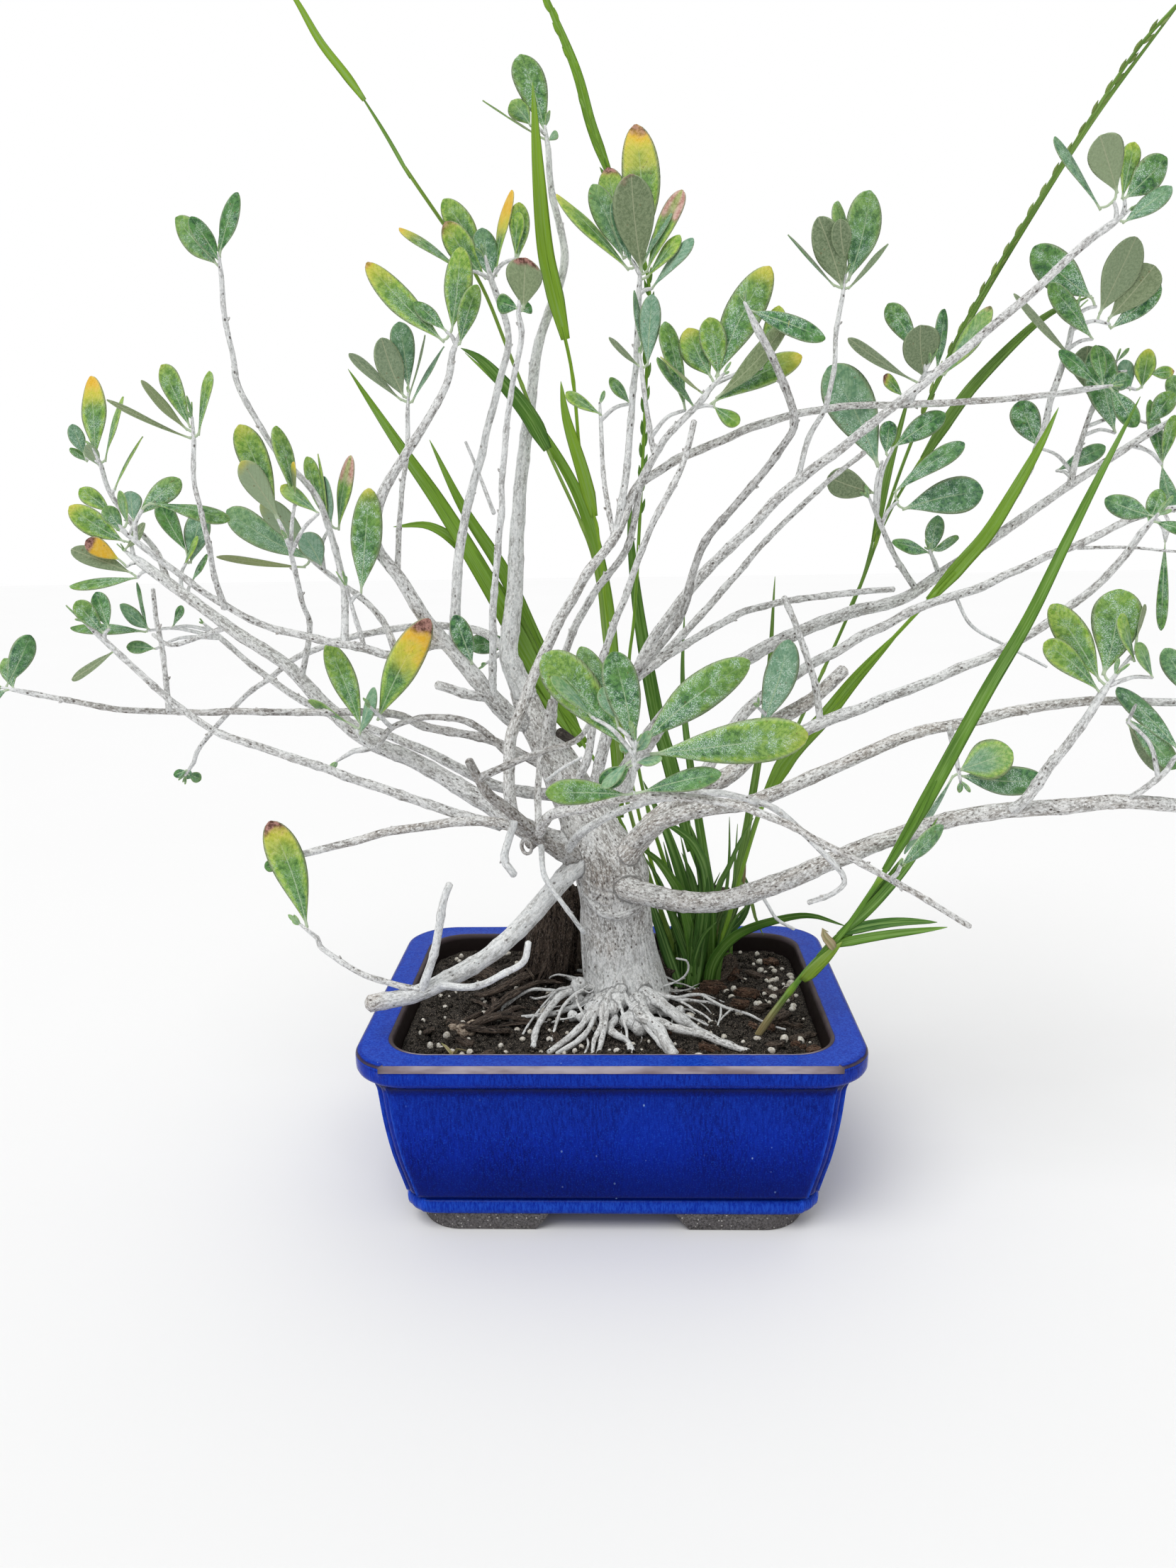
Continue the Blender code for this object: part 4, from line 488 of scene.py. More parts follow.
class Paint:
    """One material, with short names for the shader nodes that it is made of. Sizes are in millimetres."""

    def __init__(self, name, roughness, specular, **sockets):
        self.material = bpy.data.materials.new(name)
        self.material.use_nodes = True
        self.tree = self.material.node_tree
        self.shader = self.tree.nodes["Principled BSDF"]
        for key, value in {"Roughness": roughness, "Specular IOR Level": specular, **sockets}.items():
            self.shader.inputs[key.replace("_", " ")].default_value = value
        place = self.tree.nodes.new("ShaderNodeTexCoord").outputs["Object"]
        self.place = self.scaled(place, 1.0 / MM, 1.0 / MM, 1.0 / MM)

    def node(self, kind, inputs, output=0, **settings):
        made = self.tree.nodes.new(kind)
        for key, value in settings.items():
            setattr(made, key, value)
        for key, value in inputs.items():
            if isinstance(value, bpy.types.NodeSocket):
                self.tree.links.new(value, made.inputs[key])
            else:
                made.inputs[key].default_value = value
        return made.outputs[output]

    def vector(self, name):
        return self.node("ShaderNodeAttribute", {}, "Vector", attribute_name=name)

    def scaled(self, vector, x, y, z):
        return self.node("ShaderNodeVectorMath", {0: vector, 1: (x, y, z)}, operation="MULTIPLY")

    def split(self, vector):
        made = self.tree.nodes.new("ShaderNodeSeparateXYZ")
        self.tree.links.new(vector, made.inputs[0])
        return made.outputs

    def noise(self, vector, size, detail=3.0, rough=0.55):
        return self.node("ShaderNodeTexNoise",
                         {"Vector": vector, "Scale": 1.0 / size, "Detail": detail, "Roughness": rough})

    def cells(self, vector, size):
        return self.node("ShaderNodeTexVoronoi", {"Vector": vector, "Scale": 1.0 / size}, "Distance")

    def ramp(self, value, low, high, start=0.0, end=1.0):
        """Carries low..high of a value to start..end, smoothly and never beyond."""
        return self.node("ShaderNodeMapRange", {0: value, 1: low, 2: high, 3: start, 4: end},
                         interpolation_type="SMOOTHSTEP")

    def maths(self, operation, a, b=0.0):
        return self.node("ShaderNodeMath", {0: a, 1: b}, operation=operation)

    def plus(self, a, b):
        return self.maths("ADD", a, b)

    def minus(self, a, b):
        return self.maths("SUBTRACT", a, b)

    def times(self, a, b):
        return self.maths("MULTIPLY", a, b)

    def mix(self, share, a, b):
        a, b = [(*c, 1.0) if isinstance(c, tuple) else c for c in (a, b)]
        return self.node("ShaderNodeMix", {0: share, 6: a, 7: b}, 2, data_type="RGBA")

    def bump(self, height, depth):
        return self.node("ShaderNodeBump", {"Height": height, "Distance": depth * MM})

    def finish(self, **links):
        for key, socket in links.items():
            self.tree.links.new(socket, self.shader.inputs[key.replace("_", " ")])
        return self.material


def bark_material():
    """Pale, speckled olive bark; tone holds how white, how brown and how dark a place is."""
    p = Paint("olive_bark", 0.85, 0.15)
    bark = p.vector("bark")
    pale, brown, dark = p.split(p.vector("tone"))
    speckle = p.noise(p.scaled(bark, 1.0, 1.0, 0.6), 0.85, 4.0, 0.72)
    calm = p.ramp(pale, 0.86, 1.0, 1.0, 0.12)
    patches = p.noise(p.scaled(bark, 1.0, 1.0, 0.45), 3.2, 4.0, 0.66)
    streaks = p.noise(p.scaled(bark, 1.0, 1.0, 0.17), 1.1, 4.0, 0.7)
    grey = p.mix(p.ramp(patches, 0.38, 0.60), (0.27, 0.255, 0.235), (0.78, 0.775, 0.755))
    tan = p.mix(p.ramp(streaks, 0.32, 0.68), (0.25, 0.19, 0.145), (0.56, 0.48, 0.41))
    worn = p.ramp(p.noise(p.scaled(bark, 1.0, 1.0, 0.25), 3.6), 0.3, 0.66)
    colour = p.mix(p.times(brown, worn), grey, tan)
    white = p.mix(p.ramp(streaks, 0.32, 0.7), (0.66, 0.685, 0.69), (0.93, 0.95, 0.955))
    colour = p.mix(p.times(pale, p.ramp(patches, 0.2, 0.62, 0.4, 1.0)), colour, white)
    colour = p.mix(p.times(p.ramp(streaks, 0.45, 0.32, 0.0, 0.5), calm), colour, (0.17, 0.15, 0.13))
    dots = p.times(p.ramp(speckle, 0.46, 0.37, 0.0, 0.8), p.ramp(pale, 0.5, 0.9, 1.0, 0.4))
    colour = p.mix(dots, colour, (0.12, 0.104, 0.09))
    colour = p.mix(p.times(p.ramp(speckle, 0.52, 0.60), 0.92), colour, (0.95, 0.955, 0.945))
    pores = p.ramp(p.cells(p.scaled(bark, 1.0, 1.0, 0.62), 2.7), 0.18, 0.1)
    colour = p.mix(p.times(p.times(pores, 0.85), calm), colour, (0.075, 0.058, 0.048))
    # The dark share of tone, given for some limbs in TONES, also carries painted shade in the trunk's crease,
    # grooves and cracks.
    gloom = p.mix(p.ramp(streaks, 0.35, 0.7), (0.035, 0.030, 0.026), (0.13, 0.115, 0.10))
    colour = p.mix(dark, colour, gloom)
    height = p.plus(p.times(streaks, 1.2), p.times(speckle, 0.8))
    height = p.minus(height, p.times(pores, 0.35))
    return p.finish(Base_Color=colour, Normal=p.bump(height, 0.5))


def leaf_material():
    """Leathery olive leaf: scurfy green above, grey-green beneath, some with lime edges and burnt tips."""
    p = Paint("olive_leaf", 0.5, 0.22)
    blade = p.vector("blade")
    across, part, side = p.split(p.vector("form"))
    tip, burnt, lime = p.split(p.vector("tint"))
    scurf, mint, worn = p.split(p.vector("coat"))
    u, along, _ = p.split(blade)
    mottle = p.noise(blade, 1.9, 4.0, 0.7)
    drift = p.noise(blade, 8.0, 2.0)
    green = p.mix(p.ramp(mottle, 0.38, 0.62), (0.014, 0.082, 0.030), (0.105, 0.290, 0.080))
    green = p.mix(p.ramp(drift, 0.4, 0.66, 0.0, 0.6), green, (0.125, 0.30, 0.050))
    green = p.mix(mint, green, p.mix(p.ramp(mottle, 0.35, 0.65), (0.16, 0.34, 0.21), (0.31, 0.47, 0.34)))
    edge = p.ramp(p.plus(across, p.times(drift, 0.5)), 0.6, 1.06)
    sunny = p.times(lime, p.maths("MAXIMUM", edge, p.ramp(part, 0.35, 1.05, 0.12, 0.9)))
    green = p.mix(sunny, green, p.mix(p.ramp(mottle, 0.38, 0.62), (0.24, 0.46, 0.035), (0.50, 0.66, 0.12)))
    flecks = p.ramp(p.noise(blade, 0.42, 2.0, 0.7), 0.50, 0.59)
    cloud = p.ramp(p.minus(p.noise(blade, 4.0, 2.0), p.times(part, 0.26)), 0.24, 0.46, 0.08, 1.0)
    silver = p.times(p.times(flecks, cloud), scurf)
    green = p.mix(p.times(p.times(cloud, scurf), 0.3), green, (0.20, 0.42, 0.26))
    green = p.mix(silver, green, (0.60, 0.74, 0.64))
    vein = p.ramp(p.maths("ABSOLUTE", u), 0.36, 0.08)
    slant = p.minus(along, p.times(p.maths("ABSOLUTE", u), 1.5))
    wave = p.maths("SINE", p.times(p.plus(slant, p.times(drift, 2.2)), 2.3))
    ribs = p.ramp(wave, 0.72, 1.0)
    top = p.mix(p.times(vein, p.ramp(part, 0.5, 0.95, 0.8, 0.1)), green, (0.42, 0.56, 0.34))
    top = p.mix(p.times(ribs, 0.2), top, (0.022, 0.085, 0.03))
    under = p.ramp(p.noise(blade, 0.9, 3.0, 0.7), 0.34, 0.66)
    under = p.mix(under, (0.135, 0.195, 0.10), (0.275, 0.345, 0.205))
    under = p.mix(p.times(mint, 0.9), under, (0.36, 0.50, 0.36))
    under = p.mix(p.times(lime, 0.5), under, (0.34, 0.35, 0.08))
    under = p.mix(p.times(vein, 0.75), under, (0.42, 0.46, 0.29))
    under = p.mix(p.times(ribs, 0.3), under, (0.33, 0.39, 0.24))
    colour = p.mix(p.ramp(side, 0.35, 0.6), under, top)
    colour = p.mix(p.ramp(part, 0.13, 0.03), colour, (0.50, 0.60, 0.42))
    place = p.plus(part, p.times(p.minus(drift, 0.5), 0.34))
    reach = p.minus(1.0, tip)
    golden = p.ramp(p.minus(place, reach), -0.14, 0.22)
    golden = p.times(golden, p.ramp(tip, 0.01, 0.04))
    gold = p.mix(p.ramp(p.minus(place, reach), 0.1, 0.3), (0.62, 0.60, 0.06), (0.80, 0.47, 0.03))
    gold = p.mix(p.ramp(mottle, 0.38, 0.62, 0.0, 0.35), gold, (0.86, 0.66, 0.20))
    colour = p.mix(golden, colour, gold)
    end = p.minus(1.0, burnt)
    char = p.times(p.ramp(p.minus(place, end), -0.03, 0.09), p.ramp(burnt, 0.01, 0.04))
    brown = p.mix(p.ramp(mottle, 0.40, 0.58), (0.115, 0.048, 0.035), (0.44, 0.23, 0.19))
    rosy = p.ramp(burnt, 0.32, 0.36)
    brown = p.mix(rosy, brown, p.mix(p.ramp(mottle, 0.36, 0.6), (0.50, 0.25, 0.20), (0.74, 0.50, 0.43)))
    char = p.times(char, p.mix(rosy, (1.0, 1.0, 1.0), p.ramp(across, 0.1, 0.6, 0.3, 1.0)))
    colour = p.mix(char, colour, brown)
    colour = p.mix(p.ramp(across, 0.80, 0.95, 0.0, 0.6), colour, (0.50, 0.62, 0.36))
    spots = p.ramp(p.cells(blade, 3.2), 0.15, 0.09)
    colour = p.mix(p.times(spots, worn), colour, (0.17, 0.12, 0.045))
    height = p.minus(p.noise(blade, 0.5, 3.0), p.times(p.plus(ribs, vein), 0.35))
    rough = p.ramp(mottle, 0.3, 0.7, 0.42, 0.62)
    return p.finish(Base_Color=colour, Roughness=rough, Normal=p.bump(height, 0.18))


def grass_material():
    """Grass: parallel veins, brighter towards some tips, dry and straw-coloured where dry says so."""
    p = Paint("grass", 0.45, 0.2)
    blade = p.vector("blade")
    fresh, dry, deep = p.split(p.vector("tint"))
    veins = p.noise(p.scaled(blade, 1.0, 0.02, 1.0), 0.8, 3.0, 0.7)
    drift = p.noise(p.scaled(blade, 1.0, 0.3, 1.0), 6.0, 3.0)
    green = p.mix(p.ramp(drift, 0.3, 0.7), (0.055, 0.165, 0.022), (0.125, 0.285, 0.036))
    green = p.mix(fresh, green, (0.25, 0.43, 0.03))
    green = p.mix(deep, green, (0.016, 0.066, 0.017))
    green = p.mix(p.ramp(veins, 0.48, 0.66, 0.0, 0.6), green, (0.26, 0.44, 0.13))
    green = p.mix(p.ramp(veins, 0.46, 0.28, 0.0, 0.6), green, (0.03, 0.10, 0.012))
    straw = p.mix(p.ramp(veins, 0.35, 0.65), (0.25, 0.17, 0.085), (0.52, 0.42, 0.26))
    colour = p.mix(dry, green, straw)
    middle = p.ramp(p.maths("ABSOLUTE", p.split(blade)[0]), 0.34, 0.12)
    colour = p.mix(p.times(middle, 0.3), colour, (0.27, 0.42, 0.12))
    return p.finish(Base_Color=colour, Normal=p.bump(veins, 0.2))


def glaze_material():
    """Cobalt glaze, run thin and pale at the edges, partly as painted highlight; painted darker low down and
    in the hollows, partly as painted shade; bare is where the clay shows through.
    """
    p = Paint("cobalt_glaze", 0.2, 0.05, Coat_Weight=0.03, Coat_Roughness=0.08)
    bare, thin, pool_and_shade = p.split(p.vector("glaze"))
    streaks = p.noise(p.scaled(p.place, 1.0, 1.0, 0.2), 0.8, 4.0, 0.7)
    drift = p.noise(p.scaled(p.place, 1.0, 1.0, 0.5), 26.0, 3.0)
    grain = p.noise(p.place, 0.6, 2.0, 0.6)
    colour = p.mix(p.ramp(streaks, 0.34, 0.66), (0.0002, 0.0060, 0.155), (0.0006, 0.016, 0.320))
    colour = p.mix(p.ramp(drift, 0.38, 0.66, 0.0, 0.45), colour, (0.0010, 0.022, 0.38))
    colour = p.mix(p.times(p.ramp(grain, 0.54, 0.68), 0.5), colour, (0.008, 0.070, 0.52))
    # Painted shade: the glaze is painted darker towards the bottom of the bowl, as under light from above.
    painted_low_shade = p.ramp(p.split(p.place)[2], 46.0, 18.0, 0.0, 0.6)
    colour = p.mix(painted_low_shade, colour, (0.0003, 0.0035, 0.07))
    bright = p.mix(p.ramp(streaks, 0.36, 0.64), (0.003, 0.030, 0.38), (0.016, 0.085, 0.56))
    colour = p.mix(thin, colour, bright)
    # Darker where glaze pools in hollows, and painted shade under the rim, above the foot band and inside the
    # mouth.
    colour = p.mix(pool_and_shade, colour, (0.0002, 0.0012, 0.022))
    specks = p.ramp(p.cells(p.scaled(p.place, 1.0, 1.0, 0.7), 6.5), 0.075, 0.04)
    colour = p.mix(p.times(specks, p.ramp(drift, 0.42, 0.6, 0.0, 0.75)), colour, (0.25, 0.40, 0.72))
    wander = p.minus(p.noise(p.place, 5.0, 4.0), 0.5)
    wander = p.plus(bare, p.times(wander, 0.35))
    some = p.ramp(bare, 0.02, 0.1)
    clay = p.mix(p.ramp(p.noise(p.scaled(p.place, 0.25, 0.5, 1.0), 5.0, 3.0), 0.3, 0.7),
                 (0.20, 0.155, 0.175), (0.40, 0.355, 0.40))
    # Bare clay away from the front face, mostly the inner walls under the rim, is painted darker: partly soil
    # stain, partly painted shade.
    round_side = p.ramp(p.maths("ABSOLUTE", p.split(p.place)[0]), 84.0, 92.0)
    behind = p.maths("MAXIMUM", round_side, p.ramp(p.split(p.place)[1], -70.0, -60.0))
    clay = p.mix(p.times(behind, 0.88), clay, (0.045, 0.031, 0.032))
    colour = p.mix(p.times(p.times(p.ramp(wander, 0.2, 0.5), some), 0.85), colour,
                   (0.020, 0.013, 0.030))
    shown = p.times(p.ramp(wander, 0.42, 0.66), some)
    colour = p.mix(shown, colour, clay)
    # The inner wall just under the lip is painted near black: partly soil stain, partly painted shade inside
    # the mouth.
    stain_and_shade = p.times(p.ramp(p.split(p.place)[2], 77.0, 75.6), p.ramp(bare, 0.55, 0.7))
    inside = p.times(p.ramp(p.maths("ABSOLUTE", p.split(p.place)[0]), 92.5, 90.5),
                     p.ramp(p.maths("ABSOLUTE", p.split(p.place)[1]), 71.0, 69.0))
    colour = p.mix(p.times(p.times(stain_and_shade, inside), 0.93), colour, (0.014, 0.010, 0.009))
    rough = p.ramp(shown, 0.0, 1.0, 0.18, 0.4)
    ripple = p.plus(p.noise(p.place, 9.0, 2.0), p.times(streaks, 0.1))
    return p.finish(Base_Color=colour, Roughness=rough, Normal=p.bump(ripple, 0.3))


def clay_material():
    """Unglazed stoneware with pale grit."""
    p = Paint("bare_clay", 0.85, 0.15)
    grain = p.noise(p.place, 0.9, 4.0, 0.75)
    colour = p.mix(p.ramp(grain, 0.32, 0.68), (0.035, 0.032, 0.032), (0.19, 0.18, 0.18))
    colour = p.mix(p.ramp(p.noise(p.place, 14.0), 0.4, 0.65, 0.0, 0.5), colour, (0.11, 0.10, 0.10))
    grit = p.ramp(p.cells(p.place, 2.2), 0.2, 0.11)
    colour = p.mix(p.times(grit, 0.85), colour, (0.62, 0.60, 0.57))
    return p.finish(Base_Color=colour, Normal=p.bump(p.plus(grain, grit), 0.3))


def ground_material(name, low, high, size, roughness, fleck, relief):
    """Soil, grit or dead wood: two colours that run into each other, with flecks of a third."""
    p = Paint(name, roughness, 0.15)
    grain = p.noise(p.vector("bark"), size, 5.0, 0.7)
    fine = p.noise(p.vector("bark"), size * 0.3, 2.0, 0.7)
    colour = p.mix(p.ramp(grain, 0.36, 0.64), low, high)
    colour = p.mix(p.ramp(fine, 0.56, 0.66, 0.0, 0.85), colour, fleck)
    return p.finish(Base_Color=colour, Normal=p.bump(p.plus(grain, fine), relief))


# How white, how brown and how dark the bark of a limb is, where it isn't the usual grey.
USUAL_TONE = (0.62, 0.26, 0.0)
TONES = {
    "front_low": (0.9, 0.2, 0.0), "front_low_stub": (0.95, 0.1, 0.0), "front_low_peeled": (1.0, 0.0, 0.0),
    "peeled_twig": (1.0, 0.0, 0.0), "hanging_stub": (1.0, 0.0, 0.0), "whip_inner": (0.85, 0.1, 0.0),
    "dark_front": (0.12, 0.5, 0.34), "dark_front_twig": (0.2, 0.4, 0.3), "cut_twig": (0.5, 0.35, 0.0),
    "arch": (0.5, 0.5, 0.0), "crown_top": (0.92, 0.1, 0.0), "crown_left": (0.9, 0.1, 0.0),
    "arch_riser": (0.85, 0.1, 0.0), "left_tall": (0.8, 0.1, 0.0), "riser_tip": (0.8, 0.1, 0.0),
    "whip": (0.45, 0.75, 0.0), "right_low": (0.35, 0.55, 0.0), "right_main": (0.25, 0.7, 0.0),
    "right_second": (0.3, 0.6, 0.0), "collar_ridge": (0.6, 0.3, 0.0), "riser_dead": (0.5, 0.1, 0.3),
    "left_front": (0.3, 0.6, 0.0), "left_level": (0.35, 0.4, 0.12), "left_arched": (0.3, 0.3, 0.25),
    "crown_front": (0.85, 0.1, 0.0), "right_high_pale": (0.75, 0.1, 0.0),
}
TWIG_NODE_GAP = (10.0, 19.0)
TIP_LENGTH = 9.0


def fine_limb(name):
    """A limb's route in small steps with its radii, swollen at its root and at each node."""
    root, tip, route = LIMBS[name]
    path = smooth_path(route, 3.0, 2.0)
    along = length_along(path)
    part = along / along[-1]
    number = list(LIMBS).index(name)
    rng = np.random.default_rng(SEED + number)
    probe = np.stack([along, along * 0.0, along * 0.0 + 3.7 * number], axis=1)
    radii = (root + (tip - root) * part**0.65) * (1.0 + 0.07 * noise(probe, 8.0, 1))
    radii *= 1.0 + 0.12 * np.exp(-along / (2.4 * root))
    nodes = np.cumsum(rng.uniform(*TWIG_NODE_GAP, 60))
    nodes = nodes[nodes < along[-1] - 3.0]
    for place in nodes:
        radii *= 1.0 + (0.18 if root < 2.5 else 0.08) * bell(along - place, 1.4)
    for axis in range(3):
        path[:, axis] += 0.55 * noise(probe + 40.0 * axis, 11.0, 2) * np.sin(math.pi * part)
    if name in LEAVES:
        steps = np.linspace(0.0, TIP_LENGTH, 6)[1:]
        _, ahead = limb_end(name)
        path = np.concatenate([path, path[-1] + steps[:, None] * ahead / np.linalg.norm(ahead)])
        radii = np.concatenate([radii, radii[-1] + (0.55 - radii[-1]) * steps / TIP_LENGTH])
    return path, radii, nodes, 137.0 * number


def limb_tone(name, path):
    """Bark colours along a limb: its own, paler and younger towards a leafy tip."""
    pale, brown, dark = TONES.get(name, USUAL_TONE)
    along = length_along(path)
    young = smoothstep(along[-1] - 34.0, along[-1] - 4.0, along) if name in LEAVES else along * 0.0
    cut = smoothstep(along[-1] - 9.0, along[-1] - 2.0, along) if name == "front_low" else along * 0.0
    return np.stack([pale + (0.85 - pale) * young - 0.6 * cut, brown * (1.0 - young) + 0.8 * cut,
                     dark * (1.0 - young)], axis=1)


# A leaf whose foot is farther than the first from its limb gets a short twig; feet nearer than the second
# share one.
LEAF_REACH, TWIG_GROUP = 4.5, 9.0


def leaf_twigs(name):
    """Routes of the short twigs that carry leaves which stand off their limb."""
    path, _, _, _ = fine_limb(name)
    feet = [np.array(leaf[:3], float) for leaf in LEAVES[name]]
    feet = [foot for foot in feet if np.linalg.norm(path - foot, axis=1).min() > LEAF_REACH]
    routes = []
    while feet:
        near = [foot for foot in feet if np.linalg.norm(foot - feet[0]) < TWIG_GROUP]
        feet = [foot for foot in feet if np.linalg.norm(foot - feet[0]) >= TWIG_GROUP]
        end = np.mean(near, axis=0)
        gaps = np.linalg.norm(path - end, axis=1)
        row = max(1, int(gaps.argmin() - 0.2 * gaps.min()))
        bow = (path[row] - path[row - 1]) * 0.08 * gaps.min()
        routes.append([path[row], path[row] + 0.5 * (end - path[row]) + bow, end])
    return routes


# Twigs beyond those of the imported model: first and last radius, colours and route.
LOOSE_TWIGS = [
    (0.9, 0.6, (0.8, 0.1, 0.0), [(-46, -3, 286), (-54, 8, 305), (-58, 8, 315)]),
    (0.8, 0.5, (0.6, 0.2, 0.0), [(199, 18, 268), (220, 18, 268), (241, 18, 266), (249, 18, 268)]),
    (0.8, 0.6, (1.0, 0.0, 0.0), [(148, 14, 248), (155, 12, 236), (171, 10, 227), (186, 8, 219)]),
    (0.8, 0.7, (1.0, 0.0, 0.0), [(65, -8, 124), (68, -8, 119), (72, -10, 113), (79, -13, 109.5)]),
    (0.8, 0.6, (1.0, 0.0, 0.0), [(-26, -18, 177), (-19, -21, 183), (-11, -24, 188)]),
    (0.9, 0.7, (0.7, 0.2, 0.0), [(236, 60, 312), (244, 60, 308), (249, 60, 303)]),
    (0.8, 0.6, (0.8, 0.1, 0.0), [(204, -40, 210), (200, -46, 207), (199, -46, 204)]),
    (0.8, 0.6, (0.8, 0.1, 0.0), [(234, 20, 283), (237, 20, 277), (236, 20, 270)]),
    (2.6, 2.9, (0.1, 0.8, 0.5), [(-28, -10, 153), (-32, -12, 150), (-34.5, -13.2, 148.2)]),
    (2.2, 2.3, (0.0, 0.0, 1.0), [(-16, 6, 189), (-19, 3, 192), (-21, 0, 194)]),
]
KNOT_PLACE, KNOT_RADIUS = (-35.4, -13.8, 147.4), 3.0


def make_limbs(material):
    """Every limb and twig, with small buds at their nodes."""
    shape = Shape()
    for number, (first, last, tone, route) in enumerate(LOOSE_TWIGS):
        path = smooth_path(route, 2.0, 1.5)
        add_tube(shape, path, np.linspace(first, last, len(path)), 9, 5000.0 + 70.0 * number, tone=tone)
    turn = np.linspace(0.0, 2.0 * math.pi, 26)[:, None]
    ring = (np.array(KNOT_PLACE) + KNOT_RADIUS * np.cos(turn) * np.array([0.55, -0.4, 0.73])
            + KNOT_RADIUS * np.sin(turn) * np.array([-0.52, 0.36, 0.77]))
    add_tube(shape, ring, 0.85 + 0.25 * noise(ring, 1.6, 15), 10, 7000.0, tone=(0.35, 0.6, 0.15))
    for name in LEAVES:
        for route in leaf_twigs(name):
            path = smooth_path(route, 2.0, 1.5)
            add_tube(shape, path, np.linspace(1.0, 0.65, len(path)), 8, 40.0 * route[0][0],
                     tone=(0.85, 0.05, 0.0))
    for number, (name, (root, _, _)) in enumerate(LIMBS.items()):
        path, radii, nodes, start = fine_limb(name)
        sides = 18 if root > 3.5 else 14 if root > 1.9 else 10
        add_tube(shape, path, radii, sides, start, tone=limb_tone(name, path))
        rng = np.random.default_rng(SEED + 500 + number)
        along = length_along(path)
        for place in nodes[along[-1] - nodes < 110.0]:
            row = int(np.searchsorted(along, place))
            if row < 3 or radii[row] > 2.4 or rng.random() < 0.3:
                continue
            ahead = path[row] - path[row - 1]
            out = np.cross(ahead, rng.normal(size=3))
            out /= np.linalg.norm(out)
            foot = path[row] + out * radii[row] * 0.6
            lean = ahead / np.linalg.norm(ahead) * 0.9 + out
            bud = [foot + lean * reach for reach in (0.0, 0.45, 0.9, 1.2)]
            add_tube(shape, bud, (0.55, 0.62, 0.45, 0.2), 6, start + place, tone=(0.35, 0.6, 0.12))
    make_piece("fine_limbs", shape, material, ["olive_wood"])


def nearest_axis(points, axes):
    """For each point the nearest limb's number, and its place round and along that limb."""
    rows = []
    for number, (path, radii, start) in enumerate(axes):
        tangents, across = frames_along(path, (0.31, 0.83, 0.46))
        rows.append(np.column_stack([path, radii, tangents, across, length_along(path) + start,
                                     np.full(len(path), number)]))
    table = np.concatenate(rows)
    bark, owner = np.zeros((len(points), 3)), np.zeros(len(points), int)
    for first in range(0, len(points), 4000):
        chunk = points[first:first + 4000]
        gaps = np.linalg.norm(chunk[:, None] - table[None, :, :3], axis=2) - table[:, 3]
        best = table[gaps.argmin(axis=1)]
        away = chunk - best[:, :3]
        tangent, across = best[:, 4:7], best[:, 7:10]
        other = np.cross(tangent, across)
        bark[first:first + 4000] = np.column_stack([(away * across).sum(1), (away * other).sum(1),
                                                    best[:, 10] + (away * tangent).sum(1)])
        owner[first:first + 4000] = best[:, 11]
    return bark, owner


def wrinkle_rolls(points):
    """Height of the sagging rolls of bark on the trunk's front, under the right low limb's root."""
    x, y, z = points.T
    front = smoothstep(2.0, -6.0, y) * smoothstep(24.0, 17.0, np.abs(x - 3.0))
    sag = 11.0 * ((x + 1.0) / 18.0) ** 2
    total = np.zeros(len(points))
    wander = z - sag + 0.9 * noise(points, 6.0, 31)
    for low, height in ((118.0, 0.5), (121.5, 1.1), (124.6, 0.8), (127.8, 0.6), (130.6, 0.5), (133.4, 0.4)):
        total += height * (bell(wander - low, 1.1) - 0.9 * bell(wander - low - 1.7, 0.6))
    return total * front * (0.75 + 0.5 * noise(points, 9.0, 33))


